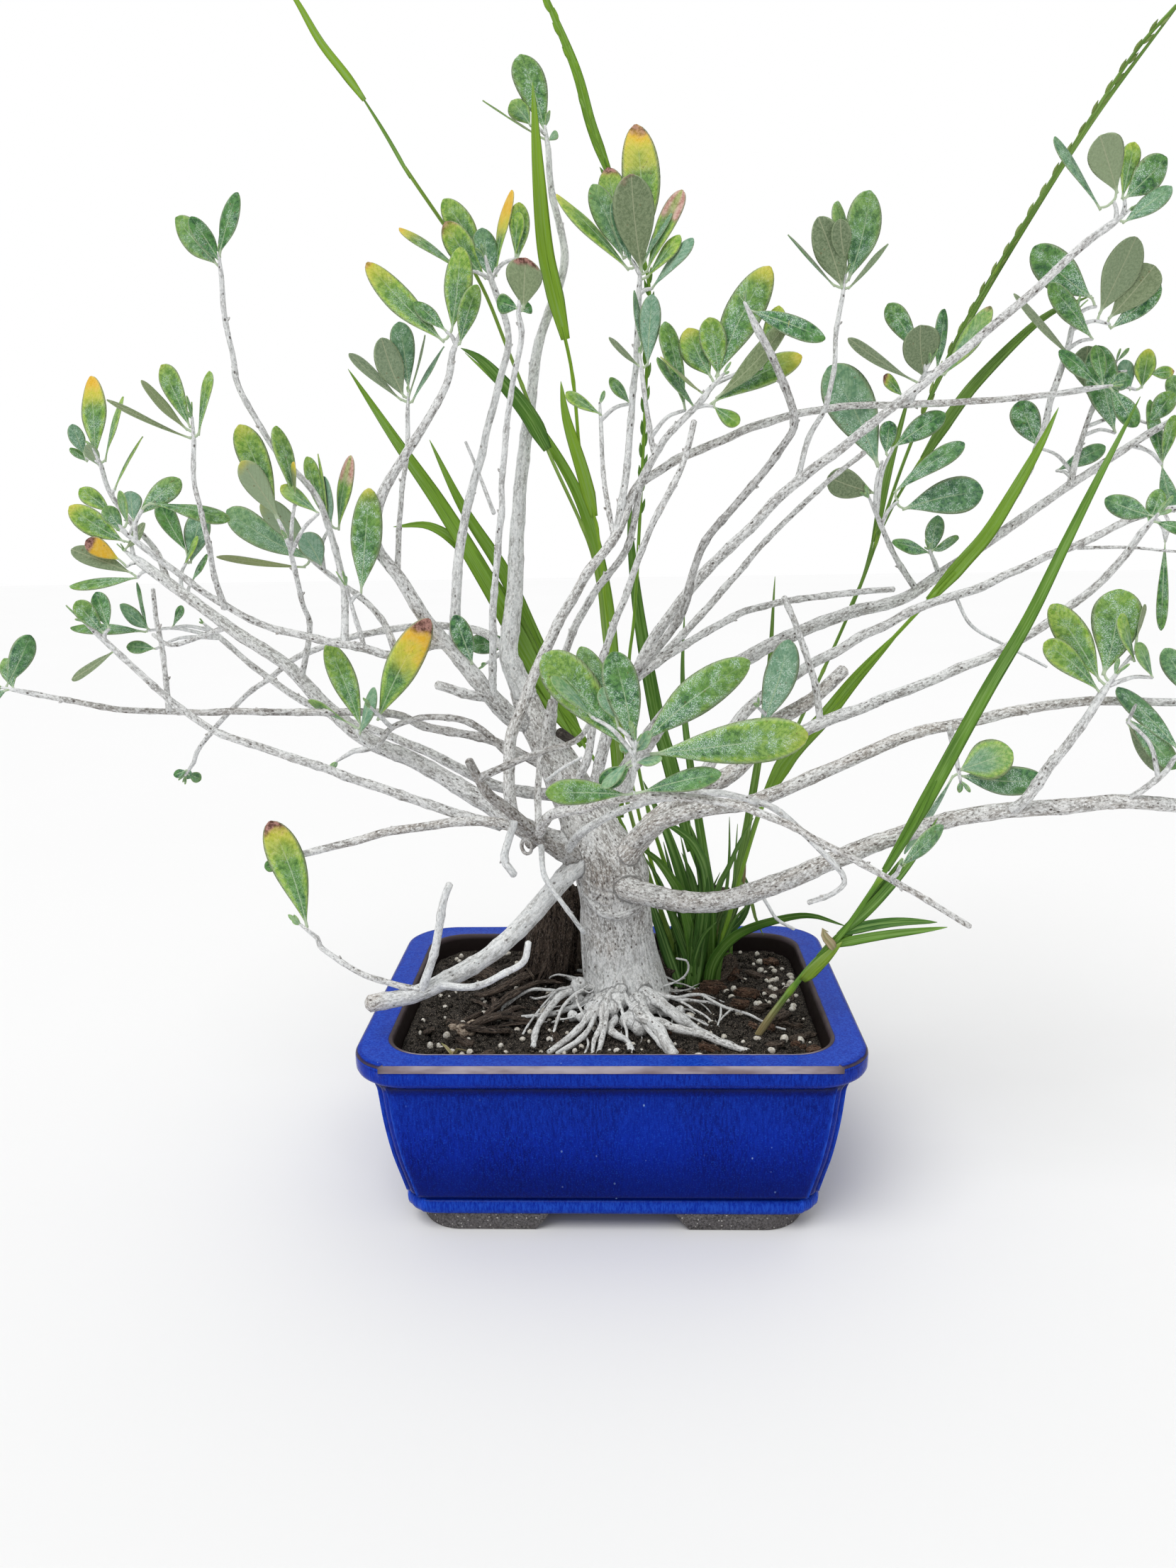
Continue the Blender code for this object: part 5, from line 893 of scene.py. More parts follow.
def make_trunk(material):
    """The trunk with the roots of its limbs, melted into one skin and then given its bark's relief."""
    raw, axes = Shape(), []

    def put(path, radii, sides, start):
        add_tube(raw, path, radii, sides, start)
        axes.append((path, radii, start))

    trunk = smooth_path(TRUNK, 2.0, 1.6)
    put(trunk[:, :3], trunk[:, 3], 40, 0.0)
    owners = ["trunk"]
    for name, (root, _, _) in LIMBS.items():
        if root < 2.8:
            continue
        path, radii, _, start = fine_limb(name)
        near = length_along(path) < 16.0 * root
        put(path[near], radii[near] * np.linspace(1.0, 0.84, near.sum()), 20, start)
        owners.append(name)
    for number, fine in enumerate(fine_roots()):
        near = length_along(fine[:, :3]) < 22.0
        if fine[0, 3] > 1.1:
            radii = fine[near, 3] * np.linspace(1.35, 0.8, near.sum())
            put(fine[near, :3], radii, 12, 9000.0 + 90.0 * number)
            owners.append("root")
    for x, y, z, size in ROOT_LUMPS:
        path = np.array([(x, y + size * k, z + 0.3 * size * k) for k in (-0.5, 0.0, 0.5)])
        put(path, np.array([0.72, 0.92, 0.72]) * size, 14, 20000.0 + 50.0 * x)
        owners.append("root")
    mesh = after_modifier(raw.mesh("trunk_raw"), "REMESH", mode="VOXEL", voxel_size=0.85 * MM)
    mesh = after_modifier(mesh, "SMOOTH", factor=0.5, iterations=7)
    points, normals = read_vectors(mesh, "co") / MM, read_vectors(mesh, "normal")
    bark, owner = nearest_axis(points, axes)
    x, y, z = points.T
    on_trunk = (owner == 0).astype(float)
    low = smoothstep(112.0, 96.0, z)
    turn = np.arctan2(y - TRUNK_Y, x - TRUNK_X)
    ring = np.stack([np.cos(turn), np.sin(turn), z * 0.02], axis=1)
    flare = on_trunk * np.exp(-np.maximum(z - 72.0, 0.0) / 8.0) * (1.6 + 1.5 * noise(ring, 0.36, 5))
    grain = bark * (1.0, 1.0, 0.28)
    cracks = smoothstep(0.2, 0.02, np.abs(noise(bark * (1.0, 1.0, 0.17), 2.7, 9))) * low * on_trunk
    cracks *= smoothstep(-0.4, 0.3, noise(points, 9.0, 4))
    rolls = wrinkle_rolls(points) * on_trunk
    relief = 0.24 * layered(grain, 2.2, 3) + 0.9 * on_trunk * noise(points, 13.0, 6) - 0.6 * cracks
    push = flare + rolls + relief
    points = points + normals * push[:, None]
    mesh.vertices.foreach_set("co", (points * MM).astype(np.float32).ravel())
    mesh.update()

    tones = np.array([TONES.get(name, USUAL_TONE) for name in owners])[owner]
    skin = np.stack([0.4 + 0.45 * low, 0.34 - 0.26 * low, 0.0 * low], axis=1)
    skin = np.where((np.array(owners)[owner] == "root")[:, None], (0.8, 0.25, 0.0), skin)
    share = np.clip(on_trunk + (np.array(owners)[owner] == "root"), 0.0, 1.0)[:, None]
    tone = tones * (1.0 - share) + skin * share
    patch = np.exp(-(((points - (-4.0, -12.0, 99.0)) / (9.0, 9.0, 5.0)) ** 2).sum(1))
    patch = patch * (0.7 + 0.5 * noise(points, 4.0, 8))
    # Painted shade: the trunk's front is painted darker and browner in the crease under the limbs' roots.
    shade = np.exp(-(((points - (-5.0, -12.0, 134.0)) / (10.0, 9.0, 9.0)) ** 2).sum(1))
    tone[:, 1] += 0.9 * patch + 0.3 * shade
    tone[:, 0] -= 0.7 * patch + 0.35 * shade
    tone[:, 2] += 0.18 * shade
    # Painted shade: the grooves between the bark's rolls and the cracks low on the trunk are painted dark.
    groove = smoothstep(-0.05, -0.75, rolls) + 0.75 * cracks
    hump = np.exp(-(((points - (-74.0, 10.0, 227.0)) / 8.0) ** 2).sum(1))
    tone[:, 2] += 0.55 * groove + 0.5 * hump
    set_value(mesh, "bark", bark)
    set_value(mesh, "tone", np.clip(tone, 0.0, 1.0))
    mesh.shade_smooth()
    make_piece("trunk_bark", mesh, material, ["olive_wood"])


# Lumps of the root mass at the trunk's foot: centre and radius.
ROOT_LUMPS = [
    (-8.9, -21.2, 77.0, 3.4), (-12.2, -26.0, 74.5, 3.0), (-4.5, -25.0, 77.5, 3.0), (-0.7, -33.0, 73.0, 2.6),
    (7.3, -31.0, 75.5, 4.5), (12.3, -34.0, 73.5, 4.5), (10.7, -27.0, 78.0, 4.2), (22.8, -21.0, 76.0, 4.0),
    (0.6, -26.0, 78.5, 3.5), (-16.6, -22.5, 73.8, 3.0), (29.7, -19.0, 74.5, 3.0), (-14.4, -8.5, 82.6, 4.0),
    (-15.5, -11.5, 77.1, 3.4), (3.0, -19.0, 79.0, 5.0), (16.0, -19.0, 76.5, 5.0), (-4.0, -17.0, 78.0, 5.0),
]
# Roots that drape from the trunk's foot: first and last radius and the route.
DRAPED = [
    (1.6, 1.3, [(-21, -13, 80), (-25, -17.5, 77.8), (-29.3, -27.3, 75.1), (-31.8, -35.2, 72.7),
        (-32, -46.4, 70.5)]),
    (0.6, 0.45, [(-15, -5, 80), (-18.8, 8, 79), (-24.8, 14, 78), (-29.6, 17, 75), (-31, 17, 70)]),
    (0.7, 0.9, [(-21, -5, 78), (-31, 1, 76.6), (-37, 4, 74.8), (-42, 1, 73.2), (-47.5, -7, 71.8),
        (-51, -12.6, 70)]),
    (0.6, 0.5, [(-22.7, -7, 79.5), (-27.7, -11, 76.8), (-32, -19, 74.2), (-35.8, -29, 72),
        (-39, -41.6, 69.8)]),
    (1.0, 0.6, [(-14, -13, 81), (-19.6, -17.5, 77.8), (-22, -21.2, 75.1), (-23.6, -30.2, 72.6),
        (-25, -40, 70)]),
    (0.6, 0.5, [(-15, -13.5, 81), (-12.2, -25.5, 76.9), (-9, -30, 73.5), (-7, -33, 71)]),
    (0.5, 0.4, [(-17.7, -26.4, 74.6), (-23.5, -24, 72.5), (-29, -26.3, 70.4)]),
    (0.7, 0.5, [(-23, -3.6, 78.6), (-28.2, -4.2, 75.5), (-33.3, -0.6, 72.8), (-37.5, 5.2, 70.4)]),
    (2.0, 1.2, [(-7, -27, 79.5), (-12, -36.7, 76), (-17.5, -43.2, 73.2), (-25.3, -51.2, 70.5)]),
    (1.4, 1.0, [(-5.8, -28, 79), (-9.3, -40.4, 75.6), (-14.8, -47.7, 72.8), (-22, -52, 70.4)]),
    (1.3, 0.8, [(-3.7, -26, 80), (-4.3, -37.8, 76.2), (-6.7, -44.5, 73.1), (-7.4, -51.8, 70.3)]),
    (1.6, 1.0, [(-1.6, -21.7, 80.9), (-2.3, -33.3, 76.9), (-3.4, -43.4, 73.4), (-5, -52.2, 70.4)]),
    (1.9, 1.5, [(3.6, -18, 82.5), (-0.4, -15.5, 80.7), (-3.8, -18, 78.6), (-2, -24, 77), (1.8, -28, 75),
        (-1, -33.5, 73), (0, -38, 71)]),
    (0.8, 0.6, [(3.5, -17.5, 81.4), (4.8, -29.7, 78), (6.5, -39.5, 73.9), (7.3, -51.6, 70.2)]),
    (1.0, 1.2, [(5.7, -18, 81.6), (10.7, -30.3, 79.4), (15.6, -39.7, 75.6), (19.6, -46, 72.8),
        (24.2, -52.4, 70.5)]),
    (1.5, 1.0, [(0, -40.6, 75), (4, -43.4, 73.6), (7.3, -44, 72), (9, -52.2, 70.3)]),
    (2.7, 2.2, [(14.9, -34, 79), (19.7, -42.5, 76), (23.5, -49.8, 73), (25.8, -54, 70.5)]),
    (0.6, 0.5, [(-11, -41.4, 73.4), (-9.2, -45.5, 71.8), (-10.6, -51.3, 70)]),
    (2.3, 1.3, [(13.2, -36.2, 78.8), (22.3, -38.3, 77.2), (30.4, -41.4, 75.5), (38.6, -42.8, 74),
        (45, -45.4, 72.7), (50.4, -48.3, 71.5), (56.6, -51.3, 70)]),
    (2.6, 1.7, [(22.7, -26.2, 80), (29.2, -32, 76.6), (35, -33, 73.6), (40.7, -36.7, 71)]),
    (0.9, 0.5, [(24.6, -18.2, 80.3), (37.2, -10.2, 78.3), (44, -12.2, 76.3), (50.7, -15.4, 74.4),
        (59, -19, 72.7), (67, -24.8, 71.2), (75, -28.6, 69.8)]),
    (0.8, 0.6, [(25.6, -17, 79.7), (37.9, -13, 76.6), (45, -11.6, 74.6), (50.4, -15, 74)]),
    (0.45, 0.4, [(48, -14.5, 74.6), (46.2, -24.5, 72), (43, -34.4, 70)]),
    (0.45, 0.4, [(51.8, -17, 74), (47.2, -22.4, 72), (43.7, -29.7, 70)]),
    (0.6, 0.45, [(27.4, -14.2, 78.6), (37.4, -21.5, 75.3), (42.4, -23.8, 72.6), (44, -27, 70.2)]),
    (0.7, 0.45, [(28.8, -22, 75.4), (38.8, -27, 72.6), (44, -26, 70.2)]),
    (0.55, 0.4, [(21, -5, 79.5), (30.4, -6, 83.6), (33.9, -8, 89), (32.8, -9, 94), (28.8, -9, 95.2)]),
    (0.4, 0.35, [(-12, -12.5, 82.5), (-10, -13.6, 84.2), (-7.6, -14, 82.4), (-9.6, -14.4, 80.4),
        (-12.4, -14, 82.2)]),
    (0.9, 0.7, [(12, 14, 80), (16, 26, 77), (14, 38, 73), (20, 48, 70)]),
    (1.2, 0.8, [(0, 14, 79), (-6, 28, 76), (-10, 40, 73), (-22, 52, 70)]),
]


def fine_roots():
    """Routes and radii of the thicker roots, each begun inside the trunk's foot."""
    runs = root_paths()
    for first, last, route in DRAPED:
        route = np.array(route)
        if math.hypot(route[0, 0] - TRUNK_X, route[0, 1] - TRUNK_Y) < 42.0 and first > 0.4:
            middle = np.array([TRUNK_X, TRUNK_Y, route[0, 2]])
            route = np.concatenate([[middle + (route[0] - middle) * 0.55], route])
        runs.append(np.column_stack([route, np.linspace(first, last, len(route))]))
    return [smooth_path(run, 2.0, 1.4) for run in runs]


def make_roots(material):
    """Pale surface roots that spill from the trunk's foot over the soil."""
    rng = np.random.default_rng(SEED + 3)
    shape = Shape()
    for number, fine in enumerate(fine_roots()):
        radii = fine[:, 3] * (1.0 + 0.2 * noise(fine[:, :3], 3.4, 12))
        path = fine[:, :3] + 0.35 * noise(fine[:, :3], 5.0, 13)[:, None]
        tone = (rng.uniform(0.6, 0.9), rng.uniform(0.1, 0.5), 0.0)
        add_tube(shape, path, radii, 12 if radii[0] > 1.0 else 8, 9000.0 + 90.0 * number, tone=tone)
    for number in range(46):
        heading = rng.normal(-88.0, 58.0)
        reach, radius, lift = rng.uniform(24.0, 56.0), rng.uniform(0.25, 0.6), rng.uniform(3.0, 12.0)
        swing, phase, hump = rng.uniform(-34.0, 34.0), rng.uniform(0.0, 6.0), rng.uniform(0.0, 1.6)
        path, radii = [], []
        for part in np.linspace(0.0, 1.0, 26):
            away = 13.0 + (reach - 13.0) * part
            turn = math.radians(heading + swing * part + 7.0 * math.sin(6.0 * part + phase))
            x, y = TRUNK_X + away * math.cos(turn), TRUNK_Y + away * math.sin(turn)
            y = max(y, -58.0 + 0.1 * (y + 58.0))
            rise = lift * (1.0 - part) ** 1.7 + hump * abs(math.sin(6.0 * part + phase)) - 1.8 * part**6
            path.append((x, y, soil_height(x, y) + radius + rise))
            radii.append(radius * (1.0 - 0.4 * part))
        add_tube(shape, np.array(path), radii, 7, 60.0 * number,
                 tone=(rng.uniform(0.5, 0.9), rng.uniform(0.2, 0.9), 0.0))
    make_piece("surface_roots", shape, material, ["olive_wood"])


def add_sheet(shape, path, face, half, thickness, lift, across, **values):
    """A thin blade along a path; lift tells how far its parts stand off the middle, from w across."""
    tangents = directions(path)
    face = face - tangents * (tangents * face).sum(1)[:, None]
    face /= np.linalg.norm(face, axis=1)[:, None]
    side = np.cross(tangents, face)
    w = np.linspace(-1.0, 1.0, across)
    w = np.concatenate([w, w[-2:0:-1]])
    top = np.concatenate([np.ones(across), -np.ones(across - 2)])
    thick = 0.5 * np.asarray(thickness)[..., None] * (1.0 - w**6) * top
    rise = lift(w[None], half[:, None]) + thick
    points = (path[:, None] + side[:, None] * (w * half[:, None])[..., None]
              + face[:, None] * rise[..., None])
    along = length_along(path)
    rows, columns = len(path), len(w)
    seed = values.pop("seed")
    blade = np.stack([w * half[:, None], np.broadcast_to(along[:, None], (rows, columns)),
                      np.full((rows, columns), seed)], axis=-1).reshape(-1, 3)
    shown = np.where(np.abs(w) > 0.99, 0.5, (top + 1.0) / 2.0)
    part = along / along[-1]
    form = np.stack([np.broadcast_to(np.abs(w), (rows, columns)),
                     np.broadcast_to(part[:, None], (rows, columns)),
                     np.broadcast_to(shown, (rows, columns))], axis=-1).reshape(-1, 3)
    shape.add(points.reshape(-1, 3), grid_faces(rows, columns), blade=blade, form=form, **values)


# Leaves of each spray. A scratch script turned ends traced on the photograph into these places, and used an
# earlier placing rule where none were traced. Foot, tip, width, turn of the blade's face, then yellow tip,
# burnt tip, lime edge, silver scurf and pale mint.
LEAVES = {
    "left_tall_outer": [
        (-160, -27, 320, -172, -19, 344, 9.2, -8, 0.05, 0, 0.6, 0.6, 0),
        (-161, -27, 319, -175, -33, 337, 8.2, -119, 0, 0, 0.6, 0.3, 0.3),
        (-157, -27, 317, -152, -23, 341, 8.4, -49, 0, 0, 0.8, 0.5, 0),
        (-160, -27, 316, -188, -35, 330, 5.1, -114, 0, 0, 0.3, 0.3, 0),
    ],
    "left_main_top": [
        (-226, 37, 313, -229, 47, 348, 14, -8, 0.33, 0, 0.9, 0.6, 0),
        (-222, 37, 311, -208, 29, 337, 9.3, -57, 0, 0, 0.8, 0.4, 0.2),
        (-219, 37, 299, -204, 36, 321, 8.7, -51, 0, 0, 0.9, 0.5, 0.1),
        (-225, 37, 309, -228, 33, 318, 5.5, -172, 0, 0, 0.3, 0.4, 0.8),
        (-230, 37, 311, -237, 37, 317, 5.4, 49, 0, 0, 0.1, 0.6, 0),
        (-231, 37, 314, -235, 37, 327, 6.2, 37, 0, 0, 0, 0.8, 0.7),
    ],
    "left_upper": [
        (-187, -20, 287, -171, -13, 301, 9, -8, 0, 0, 0.4, 0.8, 0.2),
        (-182, -20, 292, -151, -17, 285, 9.5, -62, 0, 0, 0.3, 0.6, 0),
        (-191, -20, 284, -193, -20, 297, 6.2, -29, 0, 0, 0.5, 0.3, 0.5),
        (-193, -20, 281, -198, -23, 291, 6.3, 8, 0, 0, 0.3, 0.7, 0.3),
        (-197, -20, 288, -209, -20, 298, 6.7, 37, 0, 0, 0.9, 0.5, 0),
    ],
    "left_main": [
        (-213, 40, 285, -212, 38, 298, 8.4, -8, 0, 0, 0, 0.4, 1),
        (-218, 40, 276, -241, 39, 292, 10.5, 8, 0.1, 0, 0.9, 0.5, 0),
        (-218, 40, 273, -207, 37, 284, 6.8, 161, 0, 0, 0, 0.2, 0),
        (-221, 40, 268, -234, 36, 277, 8.1, 8, 1, 0.25, 0.6, 0.2, 0),
        (-216, 40, 262, -242, 38, 273, 9, -148, 0, 0, 0.1, 0.3, 0.1),
        (-214, 40, 260, -242, 33, 257, 9, 47, 0, 0, 0.4, 0.8, 0),
        (-190, 40, 271, -200, 38, 293, 8.5, -8, 0, 0, 0.05, 0.3, 0),
        (-189, 40, 266, -183, 43, 289, 10.7, 8, 0, 0, 0, 0.9, 0.5),
        (-192, 40, 265, -184, 38, 278, 6.6, -58, 0, 0, 1, 0.2, 0.3),
        (-189, 40, 258, -181, 40, 270, 6.4, -39, 0, 0, 0.1, 0.8, 0),
    ],
    "left_upper_fork": [
        (-125, 8, 268, -162, 15, 289, 11.5, -8, 0, 0, 0.25, 0.8, 0.6),
        (-125, 8, 271, -143, 2, 292, 10.5, -172, 0.05, 0, 0.3, 0.2, 0.9),
        (-121, 8, 265, -127, 4, 279, 9.9, -8, 0, 0, 0, 0.4, 1),
        (-128, 8, 265, -163, 0, 270, 9.7, -114, 0, 0, 0.8, 0.2, 0),
        (-118, 8, 283, -125, 10, 310, 8.8, -39, 0, 0, 0.6, 0.5, 0),
        (-117, 8, 283, -120, 9, 311, 8.9, -63, 0.03, 0, 0.7, 0.3, 0),
        (-116, 8, 282, -117, 5, 302, 7.5, -41, 0, 0, 0, 0.3, 1),
        (-113, 8, 280, -105, 4, 310, 9.4, -40, 0, 0.36, 0.9, 0.2, 0.2),
    ],
    "left_main_riser": [
        (-132, -16, 285, -147, -7, 322, 10.9, -8, 0.04, 0, 0.8, 0.4, 0),
        (-131, -16, 285, -142, -24, 307, 10, -172, 0.06, 0, 0.4, 0.2, 0.8),
        (-124, -16, 290, -131, -11, 321, 9.5, 63, 0, 0, 0.6, 0.5, 0),
        (-124, -16, 294, -123, -18, 307, 6.1, 114, 0.3, 0, 0.6, 0.3, 0),
        (-115, -16, 287, -129, -17, 298, 7.1, 42, 0.05, 0, 0.7, 0.2, 0.5),
    ],
    "left_upper_spur": [
        (-100, -15, 255, -94, -16, 296, 11.4, -8, 0.06, 0, 0.3, 1, 0),
    ],
    "left_inner": [
        (-81, -1, 332, -88, -6, 354, 10.8, 172, 0, 0, 0, 0.3, 0.2),
        (-79, -1, 335, -82, 1, 361, 8.5, 19, 0, 0, 0, 0.9, 0.5),
        (-82, -1, 331, -102, -2, 349, 8.7, -114, 0, 0, 0, 0.6, 0.1),
        (-79, -1, 333, -71, -4, 355, 5.8, 114, 0, 0, 0.1, 0.4, 0.2),
        (-78, -1, 330, -64, -2, 351, 8.4, -56, 0, 0, 0, 0.7, 0.7),
    ],
    "left_riser": [
        (-62, -14, 351, -91, -11, 381, 11.3, 24, 0.2, 0.03, 0.9, 0.5, 0),
        (-61, -14, 355, -73, -13, 366, 6.8, 40, 0, 0, 0.2, 0.8, 0),
        (-59, -14, 355, -54, -15, 385, 11.1, -8, 0.02, 0, 0.9, 0.5, 0.1),
        (-56, -14, 350, -48, -17, 371, 7.7, 35, 0, 0, 0.5, 0.6, 0),
        (-57, -2, 224, -63, -8, 245, 8.5, 15, 0, 0, 0, 1, 0),
    ],
    "crown_left": [
        (-57, 5, 380, -81, 7, 397, 9.3, 61, 0.25, 0.02, 0.4, 0.6, 0),
        (-48, 5, 385, -63, 6, 407, 10.1, 8, 0, 0, 0.7, 0.4, 0),
        (-47, 5, 377, -62, 3, 398, 10.4, -8, 0.1, 0.12, 0.9, 0.3, 0),
        (-45, 5, 377, -48, 5, 396, 10.6, 8, 0, 0, 0.05, 0.9, 0.4),
        (-43, 5, 378, -36, 8, 410, 9.8, -57, 0.5, 0, 0.9, 0.3, 0),
        (-34, 5, 384, -33, 5, 405, 7.8, 8, 0.03, 0, 0.8, 0.5, 0),
        (-35, 5, 385, -33, 3, 401, 6.6, -42, 0, 0, 1, 0.1, 0.2),
    ],
    "crown_front": [
        (-31, -12, 363, -29, -18, 380, 14.7, 172, 0, 0.17, 0.3, 0.1, 0.2),
        (-33, -12, 363, -41, -15, 365, 7.7, 8, 0, 0, 0.1, 0.6, 0),
        (-32, -12, 362, -28, -11, 364, 4.9, -8, 0, 0, 0, 0.7, 0),
    ],
    "crown_top": [
        (-24, 38, 439, -34, 43, 470, 12.1, -8, 0, 0, 0.3, 0.7, 0),
        (-25, 38, 437, -49, 32, 450, 8.9, -119, 0, 0, 0.5, 0.3, 0.1),
        (-30, 38, 442, -38, 40, 452, 7.9, -8, 0, 0, 0.6, 0.3, 0.3),
        (-23, 38, 436, -19, 37, 439, 4.6, -42, 0, 0, 0.2, 0.3, 0.8),
    ],
    "arch_riser": [
        (14, 4, 382, 13, 18, 435, 15, -8, 0.33, 0.07, 0.8, 0.3, 0),
        (15, 4, 378, 11, -11, 410, 15.1, -172, 0, 0.05, 0.1, 0.2, 0),
        (17, 4, 378, 31, 5, 408, 9.8, -34, 0, 0.4, 0.9, 0.2, 0.1),
        (19, 4, 372, 35, -1, 389, 8, -55, 0, 0, 0, 0.6, 1),
        (17, 4, 376, 30, 2, 391, 7.3, -50, 0, 0, 1, 0.2, 0.1),
        (16, 4, 382, 27, 7, 403, 8.2, -57, 0, 0, 0, 0.7, 0.6),
        (10, 4, 379, -18, 3, 407, 10.8, 41, 0.12, 0, 1, 0.2, 0),
        (8, 4, 383, -4, 3, 410, 9.9, 8, 0, 0, 0.3, 0.8, 0.3),
        (9, 4, 387, 2, 15, 419, 9.9, -8, 0.1, 0.12, 0.7, 0.3, 0),
        (11, 4, 381, 4, -1, 403, 8.1, 36, 0, 0, 0, 1, 0.4),
    ],
    "arch_fork_twig": [
        (17, -3, 342, 19, -6, 368, 8.6, -8, 0, 0, 0, 0.5, 1),
        (32, -3, 325, 24, -4, 358, 9.9, 34, 0, 0, 0.3, 0.6, 0),
        (14, -3, 342, 2, -3, 353, 6.8, -131, 0, 0, 0, 0.3, 0),
        (15, -3, 348, 12, -3, 370, 7.8, 56, 0, 0, 0, 0.9, 0.3),
    ],
    "arch_fork": [
        (44, -6, 337, 65, 0, 378, 14.3, -8, 0.1, 0, 0.45, 0.8, 0),
        (44, -6, 329, 70, -21, 355, 11, 145, 0.03, 0, 0.2, 0.1, 0),
        (42, -6, 327, 77, -7, 344, 10.8, -34, 0.2, 0, 0.5, 0.5, 0),
        (45, -6, 337, 41, -6, 359, 9.7, 8, 0.03, 0, 0.7, 0.7, 0),
        (42, -6, 337, 33, -2, 356, 11.2, -8, 0.12, 0, 0.7, 0.5, 0.1),
        (39, -6, 331, 22, -13, 344, 7.9, -124, 0.1, 0, 0.8, 0.2, 0.3),
        (36, -6, 325, 21, -4, 345, 8.5, 52, 0, 0, 0.2, 0.6, 0.1),
        (43, -6, 326, 53, -9, 319, 6.2, -17, 0, 0, 0.6, 0.3, 0),
        (62, -6, 340, 69, 1, 364, 8.2, -8, 0.05, 0, 0.9, 0.4, 0),
    ],
    "arch_spur": [
        (-2, 10, 325, -16, 10, 334, 6.9, 30, 0, 0, 0.9, 0.3, 0.1),
        (10, 10, 329, 2, 8, 339, 6.2, 37, 0, 0, 0.3, 0.6, 0),
    ],
    "riser_tip": [
        (94, 2, 370, 83, -3, 395, 13.2, 172, 0, 0, 0, 0.25, 0),
        (96, 2, 373, 104, 5, 406, 13.6, 8, 0, 0, 0.35, 0.9, 0.1),
        (95, 2, 377, 92, 7, 403, 8.7, 36, 0, 0, 0.5, 0.5, 0.3),
        (95, 2, 379, 91, -5, 394, 7.9, -172, 0, 0, 0, 0.1, 0),
        (91, 2, 371, 72, 1, 390, 8.6, -116, 0, 0, 0, 0.6, 0.1),
        (96, 2, 370, 110, -3, 385, 7.6, 116, 0, 0, 0, 0.6, 0.1),
    ],
    "arch_knot": [
        (132, 33, 349, 120, 40, 370, 9, -8, 0, 0, 0.2, 0.8, 0),
        (135, 33, 339, 130, 24, 359, 15.7, -172, 0, 0, 0.05, 0.3, 0.05),
        (140, 33, 342, 143, 37, 367, 8.3, 46, 0, 0, 0, 0.7, 0),
        (143, 33, 340, 159, 26, 366, 9.5, -35, 0, 0.05, 0.7, 0.2, 0.7),
        (131, 33, 338, 103, 36, 356, 10, -124, 0, 0, 0, 0.6, 0),
        (126, 33, 332, 117, 29, 340, 6.1, 8, 0.2, 0.15, 0.8, 0.3, 0),
    ],
    "right_high_shoot": [
        (117, 33, 303, 96, 41, 345, 19.3, -8, 0, 0, 0.1, 0.9, 0.7),
        (120, 33, 308, 121, 33, 322, 7.3, 8, 0, 0, 0, 0.7, 0),
        (123, 33, 311, 145, 37, 325, 9.3, -8, 0, 0, 0, 0.9, 0),
        (124, 33, 292, 152, 29, 312, 10.1, -52, 0, 0, 0, 0.9, 0.1),
        (116, 33, 292, 95, 30, 299, 12.2, 172, 0, 0, 0, 0.3, 0),
        (128, 33, 285, 163, 36, 292, 14.7, -8, 0, 0, 0, 1, 0.2),
    ],
    "riser_right": [
        (198, 18, 400, 179, 21, 428, 9.9, 49, 0, 0, 0, 0.6, 0.4),
        (204, 18, 406, 193, 11, 425, 14, -172, 0, 0, 0.4, 0.2, 0.5),
        (206, 18, 404, 210, 20, 425, 7.7, 22, 0.03, 0, 0.9, 0.3, 0),
        (207, 18, 404, 223, 20, 419, 12.4, 8, 0, 0, 0.1, 0.9, 0),
        (207, 18, 395, 225, 18, 408, 7.9, -25, 0, 0, 0, 0.7, 0.5),
    ],
    "right_high_pale": [
        (205, 38, 370, 181, 44, 392, 14.9, -8, 0, 0, 0.1, 0.9, 0),
        (208, 38, 364, 219, 34, 393, 14.2, -172, 0, 0, 0.2, 0.6, 0.3),
        (212, 38, 362, 228, 35, 382, 14, 172, 0, 0, 0.2, 0.4, 0.1),
        (213, 38, 358, 232, 37, 375, 9.7, 8, 0, 0, 0, 1, 0),
        (199, 38, 346, 173, 41, 373, 10.7, -135, 0, 0, 0.1, 0.5, 0.1),
        (206, 38, 354, 184, 31, 375, 9.4, 19, 0, 0, 0.2, 0.6, 0),
    ],
    "right_high_end": [
        (214, 62, 335, 212, 60, 354, 12.7, 172, 0, 0, 0, 0.3, 0.1),
        (228, 62, 317, 214, 54, 353, 14.6, 8, 0, 0, 0, 0.8, 0),
        (233, 62, 335, 229, 62, 348, 6.8, -8, 0, 0, 0, 0.3, 0.9),
        (238, 62, 336, 238, 58, 352, 10.8, 8, 0.1, 0, 1, 0.2, 0),
        (241, 62, 342, 252, 63, 343, 5.8, -8, 0.1, 0.05, 0.6, 0.4, 0),
        (242, 62, 321, 251, 60, 334, 9.3, 8, 0, 0, 0.3, 0.8, 0),
        (195, 62, 311, 186, 66, 332, 12.5, -8, 0, 0, 0, 1, 0),
        (203, 62, 301, 222, 57, 311, 7.9, -31, 0, 0, 0, 0.8, 0.2),
    ],
    "right_low_fork": [
        (183, -57, 222, 163, -58, 250, 10.6, -8, 0.02, 0, 0.9, 0.5, 0),
        (183, -57, 218, 159, -65, 237, 9.6, 18, 0.02, 0, 0.8, 0.5, 0),
        (184, -57, 224, 190, -50, 255, 15.9, -8, 0, 0, 0.5, 0.9, 0),
        (195, -57, 229, 186, -63, 247, 7.6, 45, 0, 0, 0.9, 0.3, 0.3),
        (195, -57, 237, 197, -57, 250, 6.3, -120, 0, 0, 0.2, 0.5, 0),
        (202, -57, 223, 194, -60, 236, 6.6, 40, 0, 0, 0.4, 0.3, 0.4),
    ],
